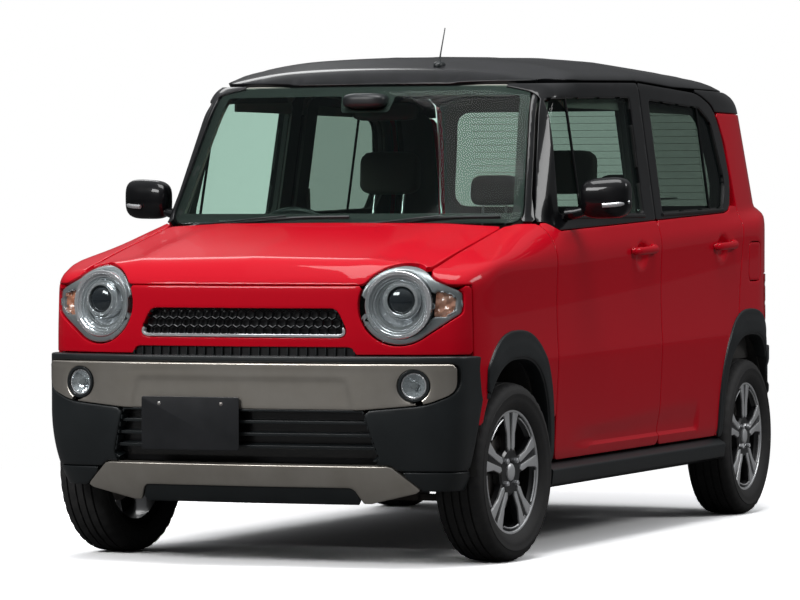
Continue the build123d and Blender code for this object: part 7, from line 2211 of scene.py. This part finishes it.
# ---------------------------------------------------------------- floor, light and camera
@dataclass(frozen=True)
class View:
    """The camera that the scene is framed with, in metres and degrees."""
    place: tuple[float, float, float] = (5.708, -14.642, 1.0975)
    azimuth: float = 21.657
    elevation: float = 1.0
    roll: float = -0.125
    focal: float = 4587.5
    middle: tuple[float, float] = (408.03, 291.79)
    size: tuple[int, int] = (800, 600)

    def camera(self) -> bpy.types.Object:
        """Make the camera from its angles, focal length in pixels and principal point.

        Returns:
            The camera object.
        """
        a, e, r = (math.radians(v) for v in (self.azimuth, self.elevation, self.roll))
        back = Vector((math.sin(a) * math.cos(e), -math.cos(a) * math.cos(e), math.sin(e)))
        right = Vector((0, 0, 1)).cross(back).normalized()
        up = back.cross(right)
        right, up = right * math.cos(r) + up * math.sin(r), up * math.cos(r) - right * math.sin(r)
        data = bpy.data.cameras.new("camera")
        data.sensor_width = 36.0
        data.lens = self.focal / self.size[0] * 36.0
        data.shift_x = (self.size[0] / 2 - self.middle[0]) / self.size[0]
        data.shift_y = (self.middle[1] - self.size[1] / 2) / self.size[0]
        data.clip_end = 100.0
        camera = bpy.data.objects.new("camera", data)
        camera.matrix_world = Matrix((right, up, back)).transposed().to_4x4()
        camera.location = self.place
        bpy.context.collection.objects.link(camera)
        bpy.context.scene.camera = camera
        return camera


@dataclass(frozen=True)
class Lamp:
    """A soft studio lamp."""
    name: str
    place: tuple[float, float, float]
    target: tuple[float, float, float]
    size: tuple[float, float]
    power: float

    def make(self) -> None:
        """Add the lamp, turned to its target."""
        data = bpy.data.lights.new(self.name, "AREA")
        data.shape = "RECTANGLE"
        data.size, data.size_y = self.size
        data.energy = self.power
        obj = bpy.data.objects.new(self.name, data)
        obj.location = self.place
        obj.rotation_euler = (Vector(self.target) - Vector(self.place)).to_track_quat("-Z", "Y").to_euler()
        bpy.context.collection.objects.link(obj)


def studio() -> None:
    """A white floor that keeps the shadow, a world that brightens upwards, and four soft lamps."""
    world = bpy.data.worlds.new("studio")
    bpy.context.scene.world = world
    world.use_nodes = True
    tree = world.node_tree
    tree.nodes.clear()
    path, place = tree.nodes.new("ShaderNodeLightPath"), tree.nodes.new("ShaderNodeTexCoord")
    split, lift = tree.nodes.new("ShaderNodeSeparateXYZ"), tree.nodes.new("ShaderNodeMapRange")
    tree.links.new(place.outputs["Generated"], split.inputs[0])
    tree.links.new(split.outputs["Z"], lift.inputs["Value"])
    lift.interpolation_type = "SMOOTHSTEP"
    for name, value in (("From Min", 0.15), ("From Max", 1.0), ("To Min", 0.10), ("To Max", 0.55)):
        lift.inputs[name].default_value = value
    seen = tree.nodes.new("ShaderNodeMath")
    seen.operation = "MAXIMUM"
    tree.links.new(path.outputs["Is Camera Ray"], seen.inputs[0])
    tree.links.new(path.outputs["Is Transmission Ray"], seen.inputs[1])
    around, plain = tree.nodes.new("ShaderNodeBackground"), tree.nodes.new("ShaderNodeBackground")
    around.inputs["Color"].default_value = (0.95, 0.97, 1.0, 1)
    tree.links.new(lift.outputs["Result"], around.inputs["Strength"])
    plain.inputs["Color"].default_value, plain.inputs["Strength"].default_value = (1, 1, 1, 1), 1.0
    mix, out = tree.nodes.new("ShaderNodeMixShader"), tree.nodes.new("ShaderNodeOutputWorld")
    tree.links.new(seen.outputs[0], mix.inputs[0])
    tree.links.new(around.outputs[0], mix.inputs[1])
    tree.links.new(plain.outputs[0], mix.inputs[2])
    tree.links.new(mix.outputs[0], out.inputs["Surface"])

    graph = Graph("floor")
    grain = graph.noise(3.0, 3.0)
    light = graph.node("LightPath", out="Is Camera Ray")
    seen = light.math("MAXIMUM", Socket(graph, light.socket.node.outputs["Is Transmission Ray"]))
    pale = graph.mix(grain, (0.11, 0.11, 0.11), (0.13, 0.13, 0.13))
    lit = graph.node("BsdfDiffuse", Color=graph.mix(seen, pale, (1.9, 1.9, 1.9)))
    white = graph.node("Emission", Color=(1.0, 1.0, 1.0), Strength=1.0)
    x, y, _ = graph.axes(graph.place())
    far = ((x ** 2.0 + y ** 2.0).math("SQRT") * 0.45 - 0.95).clamped()
    graph.node("OutputMaterial", Surface=graph.node("MixShader", n0=far * seen, n1=lit, n2=white))
    data = bpy.data.meshes.new("floor")
    angle = np.arange(96) * 2 * math.pi / 96
    rim = np.c_[40 * np.cos(angle), 40 * np.sin(angle), np.full(96, -0.0005)]
    data.from_pydata(rim.tolist(), [], [list(range(96))])
    data.materials.append(graph.material)
    floor = bpy.data.objects.new("floor", data)
    bpy.context.collection.objects.link(floor)
    for lamp in (
        Lamp("top_light", (0.6, -1.6, 5.2), (0, 0, 0.6), (3.6, 2.4), 180.0),
        Lamp("key_light", (6.5, 2.5, 4.4), (0, 0.4, 0.8), (3.0, 1.6), 100.0),
        Lamp("front_light", (-2.5, -7.5, 4.6), (0, -0.8, 0.7), (4.0, 1.8), 280.0),
        Lamp("back_light", (-4.0, 4.5, 5.6), (0, 0.5, 0.8), (3.0, 2.0), 60.0),
    ):
        lamp.make()


def main() -> None:
    """Build the car in order, then the studio."""
    logging.basicConfig(level=logging.INFO, format="%(message)s")
    work, trim, front, side, cabin = Bodywork(), Cladding(), FrontTrim(), SideTrim(), Cabin()
    steps = [work.doors, work.wings, work.nose, work.bonnet, work.roof, work.pillars, work.quarters,
             work.apertures, work.screens, work.tailgate, trim.arches, trim.sills, trim.front, trim.rear,
             Headlamps(work.lamp).make, front.grille, front.lower, front.plate, front.fogs, side.mirrors,
             side.handles, side.belts, side.wipers, side.cowl, side.aerial, side.tail_lamps, side.rear_details,
             Wheels().make, cabin.dashboard, cabin.steering, cabin.fittings, Upholstery().make, dress_nodes]
    for step in steps:
        LOG.info("%s", step.__qualname__)
        step()
    studio()
    View().camera()
    bpy.context.scene.view_settings.view_transform = "Standard"


if __name__ == "__main__":
    main()
